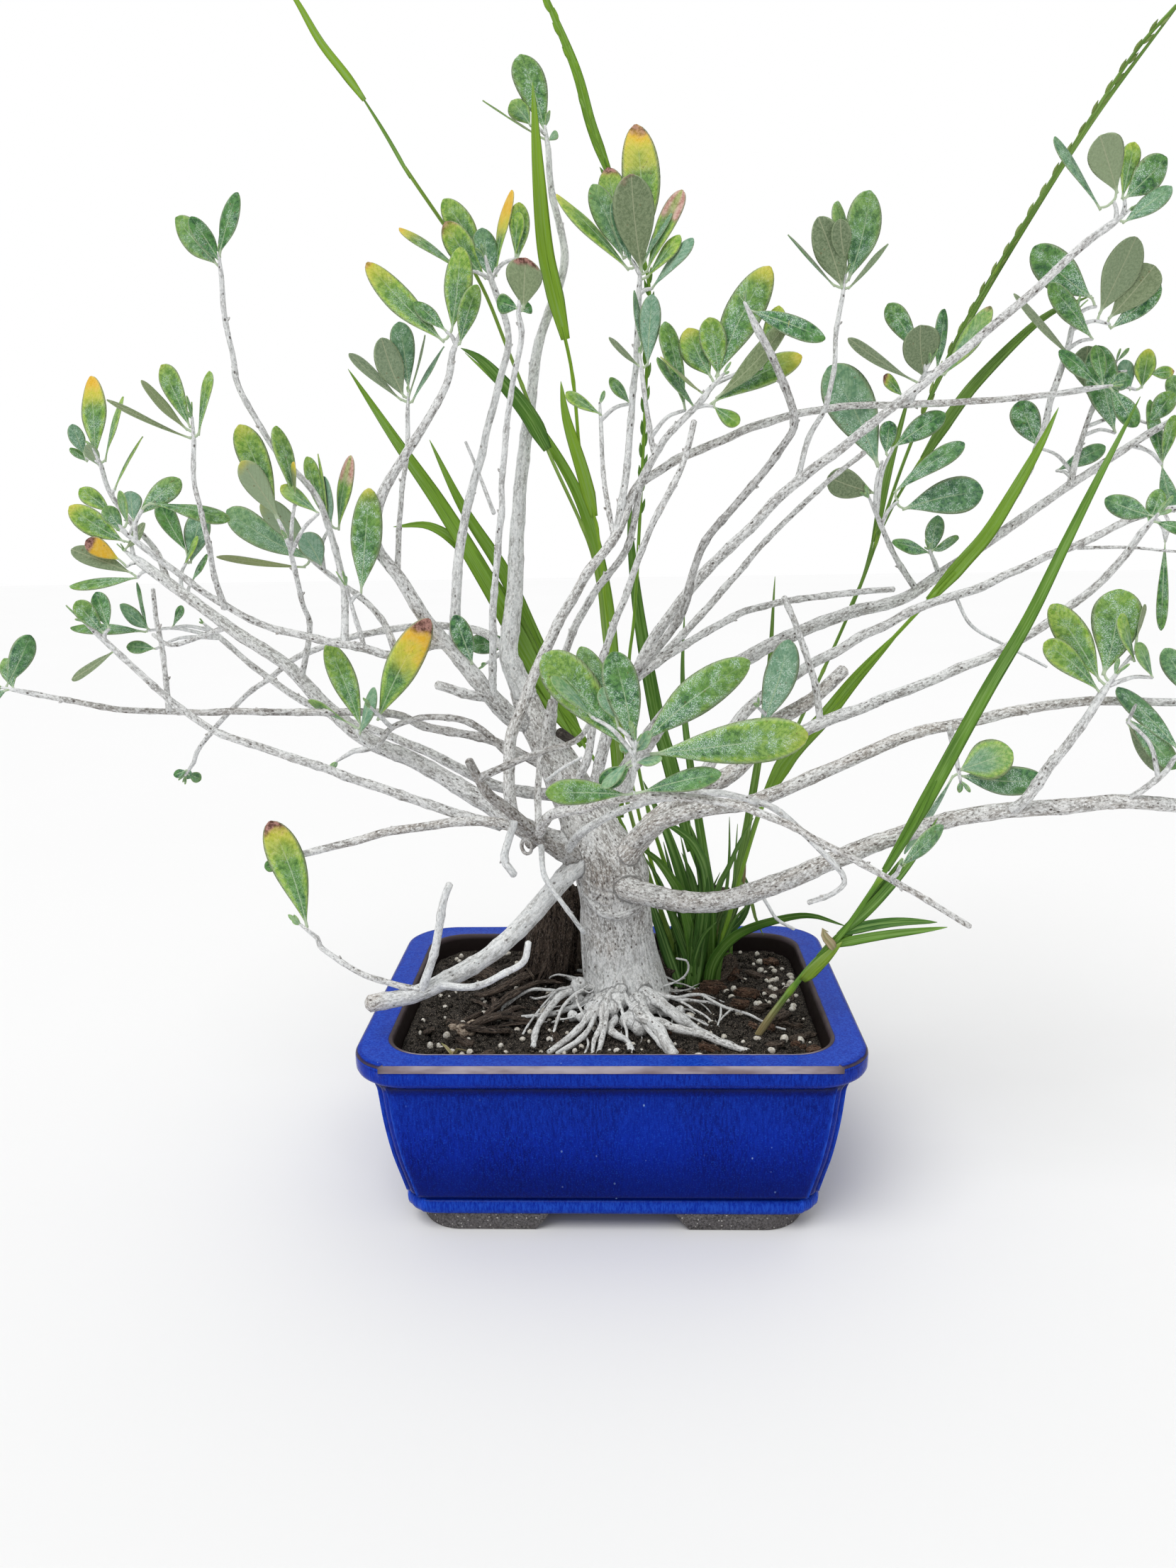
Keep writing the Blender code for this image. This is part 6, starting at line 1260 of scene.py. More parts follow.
    "right_second_spur": [
        (140, -32, 183, 160, -34, 191, 14.6, -8, 0, 0, 0.8, 0.3, 0.9),
        (140, -32, 181, 174, -33, 179, 11.2, 8, 0, 0, 0, 1, 0.1),
        (138, -32, 181, 120, -33, 149, 10.6, -55, 0, 0, 0, 1, 0.5),
    ],
    "whip_shoot": [
        (8, -78, 202, -22, -75, 236, 15.4, -8, 0, 0, 0.6, 0.9, 0),
        (10, -78, 202, 3, -79, 237, 12.1, 8, 0, 0, 0.1, 1, 0),
        (13, -78, 204, 52, -69, 232, 12.9, -8, 0, 0, 0.4, 1, 0),
        (16, -78, 200, 70, -91, 209, 16.6, 8, 0.03, 0, 0.75, 1, 0),
        (8, -78, 185, -22, -79, 186, 9, -8, 0, 0, 0.4, 0.6, 0),
        (13, -78, 186, 41, -85, 194, 9.3, -35, 0, 0, 0.1, 0.5, 0.1),
        (5, -78, 207, -9, -68, 238, 10.2, 25, 0, 0, 0.35, 0.8, 0.1),
        (4, -78, 213, -1, -81, 225, 6.3, 36, 0, 0, 0.2, 0.4, 0.9),
        (-5, -78, 214, -19, -83, 229, 7.5, 51, 0, 0, 0.4, 0.3, 0.9),
        (8, -78, 197, -1, -84, 189, 6.2, 55, 0, 0, 0.2, 0.2, 0.9),
        (9, -78, 196, -2, -76, 188, 7.3, -8, 0, 0, 0, 0.2, 0),
        (11, -78, 201, 16, -82, 209, 5.5, -50, 0, 0, 0.2, 0.3, 0.9),
        (9, -78, 201, 5, -80, 204, 4.7, 58, 0, 0, 0.3, 0.3, 0.9),
        (11, -78, 197, 20, -83, 199, 5.8, -57, 0, 0, 0.3, 0.3, 0.9),
    ],
    "right_main_spur": [
        (64, -5, 196, 75, -6, 233, 12.6, -8, 0, 0, 0, 1, 0.8),
    ],
    "left_arched_spur": [
        (-97, -11, 202, -73, -12, 244, 14, -8, 0.5, 0.14, 0.9, 0.2, 0),
    ],
    "left_arched": [
        (-105, -6, 198, -117, -7, 234, 11.2, -8, 0, 0, 0.7, 0.5, 0),
        (-106, -6, 195, -97, -13, 216, 8.2, -44, 0, 0, 0.1, 0.3, 0.9),
        (-110, -6, 200, -127, -6, 210, 7.4, -64, 0, 0, 0.5, 0.4, 0.2),
    ],
    "crown_dark": [
        (-42, 28, 230, -63, 30, 228, 9.9, -8, 0, 0, 0, 0.9, 0),
    ],
    "left_back": [
        (-217, 56, 235, -230, 56, 247, 7.4, -8, 0, 0, 0.1, 0.4, 0.5),
        (-219, 56, 234, -251, 48, 237, 9.9, 61, 0, 0, 0.2, 0.8, 0),
        (-215, 56, 226, -229, 56, 227, 6.5, 24, 0, 0, 0.2, 0.4, 0.3),
        (-218, 56, 235, -221, 56, 257, 7.9, -51, 0, 0, 0, 0.7, 0),
        (-206, 56, 236, -201, 57, 246, 5.8, -43, 0, 0, 0, 0.7, 0),
    ],
    "left_long": [
        (-194, -36, 236, -213, -36, 224, 7.9, -119, 0, 0, 0.1, 0.3, 0),
        (-198, -36, 242, -206, -40, 255, 7.4, 8, 0, 0, 0.4, 0.8, 0.1),
        (-196, -36, 244, -201, -33, 258, 8, -8, 0, 0, 0, 0.7, 0),
    ],
    "left_tall": [
        (-149, -12, 381, -168, 0, 401, 9.7, -10, 0, 0, 0.4, 0.5, 0.1),
        (-148, -12, 382, -157, -15, 398, 7.4, 30, 0, 0, 0, 0.6, 0),
        (-148, -12, 384, -149, -4, 397, 6.9, -50, 0, 0, 0, 0.4, 0),
        (-148, -12, 385, -137, -19, 405, 8.5, -15, 0, 0, 0, 0.7, 0),
    ],
    "dark_front_twig": [
        (-3, -61, 213, -14, -53, 220, 7, -15, 0, 0, 0.2, 0.7, 0.2),
        (-1, -61, 215, -1, -59, 222, 5.2, 20, 0, 0, 0.1, 0.9, 0.1),
        (1, -61, 216, -6, -52, 226, 7.2, 60, 0, 0, 0.1, 0.7, 0.4),
    ],
    "arch": [
        (209, 36, 335, 191, 34, 349, 8.2, 30, 0, 0, 0, 0.8, 0),
        (211, 36, 335, 209, 42, 352, 7.4, 15, 0, 0, 0.2, 0.5, 0),
        (213, 36, 335, 225, 42, 338, 6.7, 20, 0, 0, 0, 0.8, 0),
        (214, 35, 334, 225, 32, 318, 7.8, 15, 0, 0, 0.1, 0.8, 0),
    ],
    "front_low_twig": [
        (-122, -49, 124, -138, -36, 165, 12.6, 20, 0.26, 0.15, 0.75, 0.3, 0),
    ],
    "right_high_spur": [
        (143, 39, 265, 147, 47, 282, 7.6, -10, 0, 0, 0.1, 0.9, 0.3),
        (142, 38, 266, 124, 31, 271, 7.8, 30, 0, 0, 0.1, 0.6, 0),
        (142, 37, 267, 156, 45, 272, 7.1, 50, 0, 0, 0.2, 0.9, 0),
    ],
    "whip_tip": [
        (105, -88, 160, 122, -80, 173, 8.3, 30, 0, 0, 0.1, 0.7, 0.2),
    ],
    "riser_dead": [
        (55, -23, 359, 84, -19, 349, 9.8, -20, 0, 0, 0, 0.8, 0),
    ],
    "right_high": [
        (256, 60, 324, 266, 68, 332, 6.8, 15, 0, 0, 0, 0.9, 0.2),
        (258, 60, 324, 270, 55, 313, 7.3, -160, 0, 0, 0, 0.8, 0.1),
        (259, 61, 326, 254, 71, 342, 7.7, -30, 0, 0, 0.3, 0.4, 0.1),
        (249, 60, 303, 252, 58, 324, 6.4, 20, 0, 0, 0.5, 0.5, 0),
        (249, 60, 303, 243, 64, 331, 7.4, 10, 0, 0, 0.2, 0.8, 0),
        (249, 60, 303, 255, 56, 282, 6, 30, 0, 0, 0, 0.6, 0.3),
    ],
    "right_middle": [
        (252, 20, 286, 264, 25, 293, 6.8, 20, 0, 0, 0.3, 0.4, 0),
        (253, 20, 287, 244, 12, 310, 9, -30, 0, 0, 0.3, 0.9, 0.2),
        (255, 20, 286, 261, 26, 272, 7, 15, 0, 0, 0.1, 0.8, 0),
        (236, 20, 271, 236, 16, 233, 4.4, 40, 0, 0, 0.2, 0.7, 0),
    ],
    "right_main_fork": [
        (209, -25, 278, 215, -20, 291, 6.9, -15, 0, 0, 0.3, 0.7, 0),
        (211, -26, 279, 226, -29, 275, 6.9, -30, 0, 0, 0.1, 0.7, 0),
        (211, -25, 281, 196, -15, 288, 7.7, -20, 0, 0, 0.1, 0.6, 0.2),
    ],
    "right_second": [
        (226, -34, 210, 234, -26, 222, 7.1, -20, 0, 0, 0, 0.4, 0),
        (228, -34, 210, 238, -40, 201, 6.7, -30, 0, 0, 0, 0.6, 0),
        (229, -34, 210, 219, -27, 230, 8.4, -15, 0, 0, 0.1, 0.6, 0.3),
    ],
    "right_low": [
        (234, -44, 170, 242, -38, 179, 6.6, 20, 0, 0, 0.1, 0.6, 0.5),
        (237, -44, 169, 248, -49, 161, 6.8, -30, 0, 0, 0, 0.7, 0),
    ],
    "right_low_spur": [
        (217, -53, 194, 199, -35, 216, 10.3, 15, 0, 0, 0, 0.9, 0.2),
        (218, -54, 196, 217, -58, 218, 8.3, 10, 0, 0, 0, 0.8, 0),
        (220, -54, 197, 235, -50, 202, 7, -30, 0, 0, 0.4, 0.5, 0.2),
        (199, -46, 206, 217, -50, 187, 8, 15, 0, 0, 0.2, 0.8, 0.3),
        (199, -46, 204, 217, -40, 183, 6.4, 220, 0, 0, 0, 0.5, 0),
    ],
    "left_level": [
        (-242, -27, 219, -247, -22, 231, 6.6, 20, 0, 0, 0.4, 0.7, 0.3),
        (-244, -28, 219, -257, -32, 214, 6.7, 15, 0, 0, 0, 0.8, 0.3),
        (-245, -27, 220, -237, -18, 240, 8.5, 30, 0, 0, 0, 0.6, 0.1),
    ],
    "left_rear": [
        (-211, 75, 164, -215, 78, 158, 5.1, -15, 0, 0, 0, 0.9, 0.5),
        (-213, 75, 163, -219, 73, 161, 4.9, 30, 0, 0, 0, 0.6, 0),
        (-213, 76, 161, -208, 80, 157, 5.1, -20, 0, 0, 0.2, 0.4, 0.1),
    ],
    "left_front": [
        (-132, -35, 150, -137, -30, 154, 5.3, -20, 0, 0, 0.1, 0.9, 0),
        (-135, -36, 148, -141, -38, 146, 5.1, 15, 0, 0, 0.1, 0.4, 0),
    ],
}


def leaf_outline(part, widest):
    """Half width along a leaf as a share of its widest: a stalk, then a long oval with a blunt end."""
    rise = np.clip((part - 0.06) / (widest - 0.06), 0.0, 1.0)
    end = np.clip((part - widest) / (1.0 - widest), 0.0, 1.0)
    return (0.085 + 0.915 * np.sin(0.5 * math.pi * rise) ** 1.16) * (1.0 - 0.985 * end**2.2) ** 0.56


def add_leaf(shape, leaf, marks, rng):
    """One leaf, curled along its edges, with a sunken midrib on top and a raised one beneath."""
    stations = 0.5 - 0.5 * np.cos(np.linspace(0.0, math.pi, 22))
    stations = 0.5 * stations + 0.5 * np.linspace(0.0, 1.0, 22)
    length, face = leaf["length"], leaf["face"]
    curve = (leaf["base"] + leaf["direction"] * (length * stations)[:, None]
             - face * (leaf["bend"] * length * stations**2)[:, None])
    side = np.cross(leaf["direction"], face)
    sway, twist = rng.uniform(-0.035, 0.035), rng.uniform(-0.35, 0.35)
    curve += side * (sway * length * np.sin(math.pi * stations))[:, None]
    turn = (twist * stations)[:, None]
    faces = face * np.cos(turn) + side * np.sin(turn)
    half = leaf["width"] * rng.uniform(0.5, 0.57) * leaf_outline(stations, rng.uniform(0.56, 0.74))
    curl, wave, phase = rng.uniform(0.05, 0.2), rng.uniform(0.0, 0.05), rng.uniform(0.0, 6.0)
    ripple = (wave * np.sin(9.0 * stations + phase))[:, None]
    blunt = smoothstep(0.05, 0.22, stations)

    def lift(w, wide):
        groove = 0.16 * np.exp(-((w / 0.13) ** 2)) * blunt[:, None]
        return -curl * wide * w**2 - groove + ripple * wide * w * np.abs(w)

    thickness = 0.42 + 0.5 * (1.0 - smoothstep(0.02, 0.16, stations))
    tip, burnt, lime, scurf, mint = marks
    add_sheet(shape, curve, faces, half, thickness, lift, 9, seed=rng.uniform(0.0, 400.0),
              tint=(tip, burnt, lime), coat=(scurf, mint, rng.uniform(0.0, 0.6)))


def leaf_between(foot, tip, width, turn, bend):
    """The facts of a leaf that runs from its foot to its tip and arches away from its upper side."""
    foot, way = np.array(foot, float), np.array(tip, float) - foot
    length = float(np.linalg.norm(way))
    way = way + leaf_facing(way / length, turn) * bend * length
    length = float(np.linalg.norm(way))
    return {"base": foot, "direction": way / length, "length": length, "width": width, "bend": bend,
            "face": leaf_facing(way / length, turn)}


def make_leaves(material):
    """Each spray of leaves, with the small buds at its tip."""
    rng = np.random.default_rng(SEED + 7)
    for name, leaves in LEAVES.items():
        shape = Shape()
        twigs = [smooth_path(route, 2.0, 0.8) for route in leaf_twigs(name)]
        carriers = np.concatenate([fine_limb(name)[0], *twigs])
        for *places, width, turn, tip, burnt, lime, scurf, mint in leaves:
            leaf = leaf_between(places[:3], places[3:], width, turn, rng.uniform(0.05, 0.12))
            add_leaf(shape, leaf, (tip, burnt, lime, scurf, mint), rng)
            start = carriers[np.linalg.norm(carriers - leaf["base"], axis=1).argmin()]
            end = leaf["base"] + leaf["direction"] * 1.2
            middle = start + 0.55 * (leaf["base"] - start) - leaf["direction"] * 0.1
            stalk = smooth_path([start, middle, end], 1.0, 0.6)
            add_tube(shape, stalk, np.linspace(0.62, 0.42, len(stalk)), 7, form=(0.3, 0.02, 1.0),
                     blade=(0.0, 0.0, 3.0 * places[0]), tint=(0.0, 0.0, lime), coat=(0.6, mint, 0.0))
        shape.values.pop("bark")
        end, ahead = limb_end(name)
        ahead /= np.linalg.norm(ahead)
        end = end + ahead * (SPRAY_CORE_LENGTH - 1.0)
        for _ in range(3):
            lean = ahead + rng.uniform(-0.45, 0.45, 3)
            size = rng.uniform(3.0, 6.5)
            bud = leaf_between(end, end + lean * size, size * 0.33, rng.uniform(-80.0, 80.0), 0.05)
            add_leaf(shape, bud, (0.0, 0.0, 0.5, 0.2, 0.9), rng)
        make_piece(f"foliage_{name}", shape, material, [f"leaves_{name}"])


BLADE_FACE, BLADE_THICKNESS = (0.25, -0.95, 0.2), 0.3


def add_blade(shape, route, width, tint, rng, fold=0.32):
    """A grass blade, folded along its middle and drawn out to a point."""
    path = smooth_path(route, 4.0, 2.6)
    _, face = frames_along(path, BLADE_FACE)
    part = length_along(path) / length_along(path)[-1]
    half = width / 2.0 * np.minimum(1.0, 0.5 + 3.0 * part) * (1.0 - part**2.4) ** 0.8 + 0.12
    spin = (rng.uniform(-0.5, 0.5) * part**1.5)[:, None]
    tangents = directions(path)
    face = face * np.cos(spin) + np.cross(tangents, face) * np.sin(spin)
    add_sheet(shape, path, face, half, BLADE_THICKNESS,
              lambda w, wide: fold * wide * np.abs(w) ** 1.3, 7, seed=rng.uniform(0.0, 400.0), tint=tint)


def add_stem(shape, route, radius, tint, rng):
    """A grass stem with a swollen, paler joint every few centimetres."""
    path = smooth_path(route, 5.0, 2.5)
    along = length_along(path)
    radii = radius * (1.0 - 0.42 * smoothstep(0.0, 0.4, along / along[-1]))
    pale = np.zeros(len(path))
    for place in np.arange(38.0, along[-1] - 10.0, rng.uniform(48.0, 66.0)):
        radii = radii * (1.0 + 0.28 * bell(along - place, 1.8))
        pale = np.maximum(pale, bell(along - place, 3.0))
    count = len(shape.values.get("tint", []))
    fresh, dry, deep = tint
    base = smoothstep(40.0, 16.0, along) if radius > 1.7 else 0.0 * along
    tints = np.stack([np.maximum(fresh, 0.8 * pale), np.maximum(dry, 0.85 * base),
                      np.full(len(path), deep)], axis=1)
    hold = Shape()
    add_tube(hold, path, radii, 8, tint=tints)
    points = np.concatenate(hold.points)
    bark = np.concatenate(hold.values["bark"])
    shape.add(points, hold.faces, tint=np.concatenate(hold.values["tint"]),
              blade=np.column_stack([bark[:, 0] + 2.0, bark[:, 2], bark[:, 1] + 7.0 * count]),
              form=(0.5, 0.5, 1.0))


# How fresh, dry and deep the green of each grass node is.
GRASS_TINTS = {
    "grass_tall_left": (0.45, 0.12, 0.0), "grass_tall_middle": (0.9, 0.0, 0.0),
    "grass_tall_back": (0.45, 0.0, 0.0), "grass_left_tuft": (0.55, 0.0, 0.0),
    "grass_seed_stalk": (0.15, 0.08, 0.1), "grass_bright": (0.6, 0.0, 0.0),
    "grass_behind_trunk": (0.15, 0.0, 0.25), "grass_by_trunk": (0.1, 0.0, 0.5),
    "grass_right_shoot": (0.2, 0.0, 0.05), "grass_sprout": (0.1, 0.9, 0.0),
}
# Short blades round the trunk's right side: width, how deep and how dry their green is, and route.
TUFT_BLADES = [
    (8.0, 0.6, 0.0, [(37, 17, 62), (37, 17, 70), (40, 20, 87), (42, 17, 106), (42, 14, 122), (38, 12, 141),
        (35, 10, 151)]),
    (6.2, 0.25, 0.0, [(44, 19, 66), (46, 16, 82), (52, 14, 93), (60, 12, 100), (72, 8, 106), (88, 4, 110),
        (104, 0, 106)]),
    (6.0, 0.15, 0.0, [(38, 22, 62), (37, 20, 90), (32, 16, 114), (28, 10, 124), (21, 6, 135), (13, 4, 142),
        (7, 4, 146)]),
    (7.0, 0.3, 0.0, [(44, 26, 62), (45, 22, 90), (44, 16, 117), (41, 10, 133), (35, 8, 144), (26, 7, 151),
        (16, 6, 157)]),
    (4.2, 0.4, 0.0, [(43, 29, 62), (43, 29, 70), (46, 28, 95), (49, 26, 115), (54, 26, 126), (59, 26, 138),
        (65, 26, 149)]),
    (2.0, 0.5, 0.0, [(49, 37, 62), (49, 37, 70), (53, 36, 103), (55, 36, 125), (55, 36, 147)]),
    (1.8, 0.3, 0.0, [(56, 40, 62), (57, 40, 90), (58, 38, 124), (59, 38, 143)]),
    (3.6, 0.7, 0.0, [(32, 16, 62), (32, 18, 70), (28, 28, 82), (24, 30, 94), (20, 30, 105)]),
    (3.4, 0.6, 0.0, [(33, 16, 62), (33, 18, 70), (31, 26, 89), (27, 26, 105), (22, 24, 120), (14, 22, 134)]),
    (4.0, 0.8, 0.0, [(34, 16, 62), (34, 18, 70), (33, 26, 96), (29, 26, 116), (24, 26, 138)]),
    (3.2, 0.7, 0.0, [(36, 17, 62), (36, 18, 70), (37, 28, 95), (36, 30, 118), (32, 30, 140)]),
    (5.0, 0.5, 0.0, [(35, 17, 62), (35, 17, 70), (38, 20, 92), (39, 18, 109), (37, 18, 123), (32, 18, 135)]),
    (5.0, 0.6, 0.0, [(31, 16, 62), (31, 16, 70), (24, 20, 91), (17, 20, 113), (11, 19, 129), (8, 18, 137)]),
    (3.6, 0.8, 0.0, [(30, 16, 62), (30, 18, 70), (24, 28, 84), (20, 30, 99), (17, 30, 112)]),
    (3.4, 0.3, 0.7, [(44, 29, 62), (44, 29, 70), (47, 36, 81), (51, 36, 98)]),
    (3.0, 0.8, 0.1, [(47, 31, 62), (47, 31, 70), (53, 40, 86), (59, 38, 102), (61, 38, 116), (62, 38, 126)]),
    (4.4, 0.7, 0.0, [(46, 37, 62), (46, 37, 70), (52, 38, 85), (63, 40, 98), (65, 42, 110), (62, 44, 118)]),
    (4.0, 0.8, 0.1, [(45, 41, 62), (45, 41, 70), (48, 34, 93), (55, 34, 109), (63, 36, 112)]),
    (1.8, 0.0, 0.2, [(60, 38, 116), (65, 32, 108), (67, 30, 100), (71, 30, 91)]),
    (3.4, 0.1, 0.9, [(58, 40, 104), (61, 39, 112), (62, 38, 119), (63, 38, 125)]),
]
TUFT_COUNT = 16
# Sheaths and withered leaves: width, colours and route.
EXTRA_BLADES = {
    "grass_tall_left": [
        (1.5, (0.3, 0.0, 0.1), [(-77, 14, 417), (-86, 13, 433), (-96, 12, 449)]),
        (3.4, (0.9, 0.0, 0.0), [(-93.5, 12, 445), (-101, 12, 455), (-109.6, 12, 466), (-117.5, 11, 480),
            (-124, 9.5, 489)]),
        (7.4, (0.1, 0.0, 0.3), [(-25, 21, 312), (-33.3, 19, 327), (-45, 18, 341.4), (-52.6, 18, 349),
            (-59.8, 18, 353)]),
    ],
    "grass_right_shoot": [
        (5.4, (1.0, 0.12, 0.0), [(79, -40, 97), (83, -42.5, 103), (88, -45.5, 110), (93, -48.5, 117)]),
        (3.8, (0.2, 0.9, 0.0), [(90, -48, 114), (88, -49.5, 117), (85.5, -50, 120), (85, -50.5, 123),
            (87, -51, 122)]),
        (5.4, (0.15, 0.0, 0.15), [(85, -42, 108), (96, -47, 122), (106, -50, 138), (114, -53, 153)]),
        (4.6, (0.15, 0.0, 0.2), [(92, -46, 119), (104, -50, 133), (117, -54, 152), (126, -57, 170)]),
        (4.4, (0.0, 0.0, 0.45), [(93, -46, 120), (103, -49, 124), (115, -53, 127), (128, -57, 128)]),
    ],
}


def add_spikelets(shape, route, first, last, tint, rng, size=1.0):
    """Seeds that lie close along a stem, on alternate sides."""
    path = smooth_path(route, 5.0, 2.4)
    tangents, across = frames_along(path, BLADE_FACE)
    along = length_along(path)
    for row in range(0, len(path) - 1, 2):
        if not first < along[row] / along[-1] < last:
            continue
        side = np.cross(tangents[row], across[row]) * (1 if row % 4 else -1)
        foot = path[row] + side * 0.7
        lean = tangents[row] + side * rng.uniform(0.06, 0.2) * size
        seed = [foot + lean * reach * size for reach in (0.0, 1.2, 2.8, 4.3, 5.6)]
        radii = size * np.array((0.35, 0.7, 0.8, 0.5, 0.12))
        add_tube(shape, seed, radii, 7, tint=tint, blade=(2.0, 0.0, 7.0 * row), form=(0.5, 0.5, 1.0))


def make_grass(material):
    """Each clump or stalk of grass, with its blades, sheaths and seeds."""
    rng = np.random.default_rng(SEED + 11)
    for name, parts in GRASS.items():
        shape = Shape()
        tint = GRASS_TINTS[name]
        for width, colours, route in EXTRA_BLADES.get(name, ()):
            add_blade(shape, route, width, colours, rng, 0.25)
        for radius, route in parts["stems"]:
            add_stem(shape, route, radius, tint, rng)
        for width, route in parts["blades"]:
            add_blade(shape, route, width, tint, rng)
        if name == "grass_by_trunk":
            for width, deep, dry, route in TUFT_BLADES:
                add_blade(shape, route, width, (0.1, dry, deep), rng, 0.2)
            for _ in range(TUFT_COUNT):
                x, y = rng.uniform(27.0, 50.0), rng.uniform(17.0, 42.0)
                turn, reach, height = rng.uniform(-1.6, 1.8), rng.uniform(2.0, 20.0), rng.uniform(14.0, 52.0)
                u, v = reach * math.cos(turn), reach * math.sin(turn)
                route = [(x, y, 62.0), (x + 0.1 * u, y + 0.1 * v, 70.0 + 0.3 * height),
                         (x + 0.45 * u, y + 0.45 * v, 70.0 + 0.75 * height), (x + u, y + v, 70.0 + height)]
                shade = (rng.uniform(0.0, 0.3), float(rng.random() < 0.12) * 0.8, rng.uniform(0.2, 0.8))
                add_blade(shape, route, rng.uniform(2.0, 4.4), shade, rng, 0.2)
        if name == "grass_seed_stalk":
            add_spikelets(shape, parts["stems"][0][1], 0.6, 0.99, (0.2, 0.25, 0.1), rng)
        if name == "grass_tall_back":
            add_spikelets(shape, parts["stems"][0][1], 0.6, 0.99, (0.2, 0.0, 0.3), rng, 1.1)
            add_spikelets(shape, parts["blades"][0][1], 0.0, 0.95, (0.6, 0.0, 0.0), rng, 1.05)
        shape.values.pop("bark", None)
        make_piece(f"fine_{name}", shape, material, [name])


# Angles of a corner's points; on the bowl's sides the middle of each corner is set back from both panels.
HALF_TURNS = (0.0, 5.0, 10.0, 15.0, 20.0, 24.0, 26.0, 32.0, 38.5)
CORNER_TURNS = (*HALF_TURNS, 45.0, *(90.0 - turn for turn in HALF_TURNS[::-1]))
# Points along each straight side of the pot, between two corners.
SIDE_POINTS = 7
# How near each point of a ring is to the edge of a panel, from 0 to 1.
CORNER_EDGES = np.tile([max(0.0, 1.0 - abs(abs(turn - 45.0) - 21.0) / 6.0) for turn in CORNER_TURNS]
                       + [0.0] * SIDE_POINTS, 4)
# How a corner of the bowl swells and dips, by the angle from its middle: a groove, then a bead where the
# panel ends.
CORNER_SHAPE = ((0.0, 6.5, 13.0, 19.0, 21.0, 25.0), (-0.8, -0.9, -1.3, 0.3, 0.6, 0.0))


def pot_ring(length, depth, corner, z, step=0.0, lip=0.0):
    """A rounded rectangle. Step sets how deep its corners are shaped; with a lip the straight front runs on
    past its corners' ends and stops there in a notch."""
    ring = []
    centres = [(sx * (length / 2 - corner), sy * (depth / 2 - corner))
               for sx, sy in ((1, 1), (-1, 1), (-1, -1), (1, -1))]
    for turn, (cx, cy) in enumerate(centres):
        for part in CORNER_TURNS:
            angle = math.radians(90.0 * turn + part)
            reach = corner + step * float(np.interp(abs(part - 45.0), *CORNER_SHAPE))
            y = cy + reach * math.sin(angle)
            if turn == 2 and part > 65.0 or turn == 3 and part < 25.0:
                y += lip * (cy - corner - y)
            ring.append((cx + reach * math.cos(angle), y, z))
        dx, dy = centres[(turn + 1) % 4][0] - cx, centres[(turn + 1) % 4][1] - cy
        angle = math.radians(90.0 * (turn + 1))
        for share in np.linspace(0.0, 1.0, SIDE_POINTS + 2)[1:-1]:
            ring.append((cx + dx * share + corner * math.cos(angle),
                         cy + dy * share + corner * math.sin(angle), z))
    return np.array(ring)


def rim_ring(z, inset):
    """A ring of the rim; its corners tighten as it moves in."""
    return pot_ring(POT_LENGTH - 2 * inset, POT_DEPTH - 2 * inset, RIM_TURN - 0.33 * inset, z,
                    lip=float(smoothstep(6.0, 2.6, inset) * smoothstep(73.5, 75.6, z)))


# The bowl's sides: height, length and depth.
BODY_RINGS = [
    (16.9, 169.6, 140.2), (24.0, 173.2, 142.4), (34.0, 178.4, 144.6), (48.0, 183.4, 146.2),
    (62.0, 186.6, 147.0),
]


# The cove under the rim: height, how far it has grown and how dark its glaze is there, partly where glaze
# pools and partly painted shade under the rim.
COVE = ((63.4, 0.5, 0.3), (64.8, 1.5, 0.6), (66.0, 3.2, 0.8), (66.9, 5.4, 0.85), (67.5, 8.0, 0.75))
# The rim's side and top: height, inset, and how bare and thin the glaze is and how dark it is painted; the
# dark share low on the rim's side is painted shade under its roll as well as glaze pooling.
RIM_SIDE = ((68.1, 3.0, (0, 0.0, 0.55)), (68.9, 1.6, (0, 0.0, 0.35)), (69.9, 0.6, (0, 0.1, 0.15)),
            (71.2, 0.1, (0, 0.3, 0.0)), (73.2, 0.0, (0, 0.3, 0.0)), (74.8, 0.0, (0.0, 0.3, 0.0)))
RIM_TOP = ((78.0, 2.3, (0.1, 0.9, 0.0)), (77.95, 3.2, (0.0, 1.0, 0.0)), (77.8, 7.0, (0.0, 0.85, 0.0)),
           (77.9, 10.6, (0.0, 0.9, 0.0)), (77.95, 11.7, (0.3, 0.7, 0.0)))
# The sloped ends of the feet: how far each stands back from half the gap's named width, and at which height.
FOOT_SLOPE = ((6.4, -1.0), (5.2, 0.6), (2.6, 3.6), (0.6, 6.6), (-1.6, 9.6))
# The rounded upper edge of the rim: where it starts and its radius. Edges sharper than the crease stay hard.
EDGE_START, EDGE_ROUND = 76.1, 1.9
POT_CREASE = 40.0


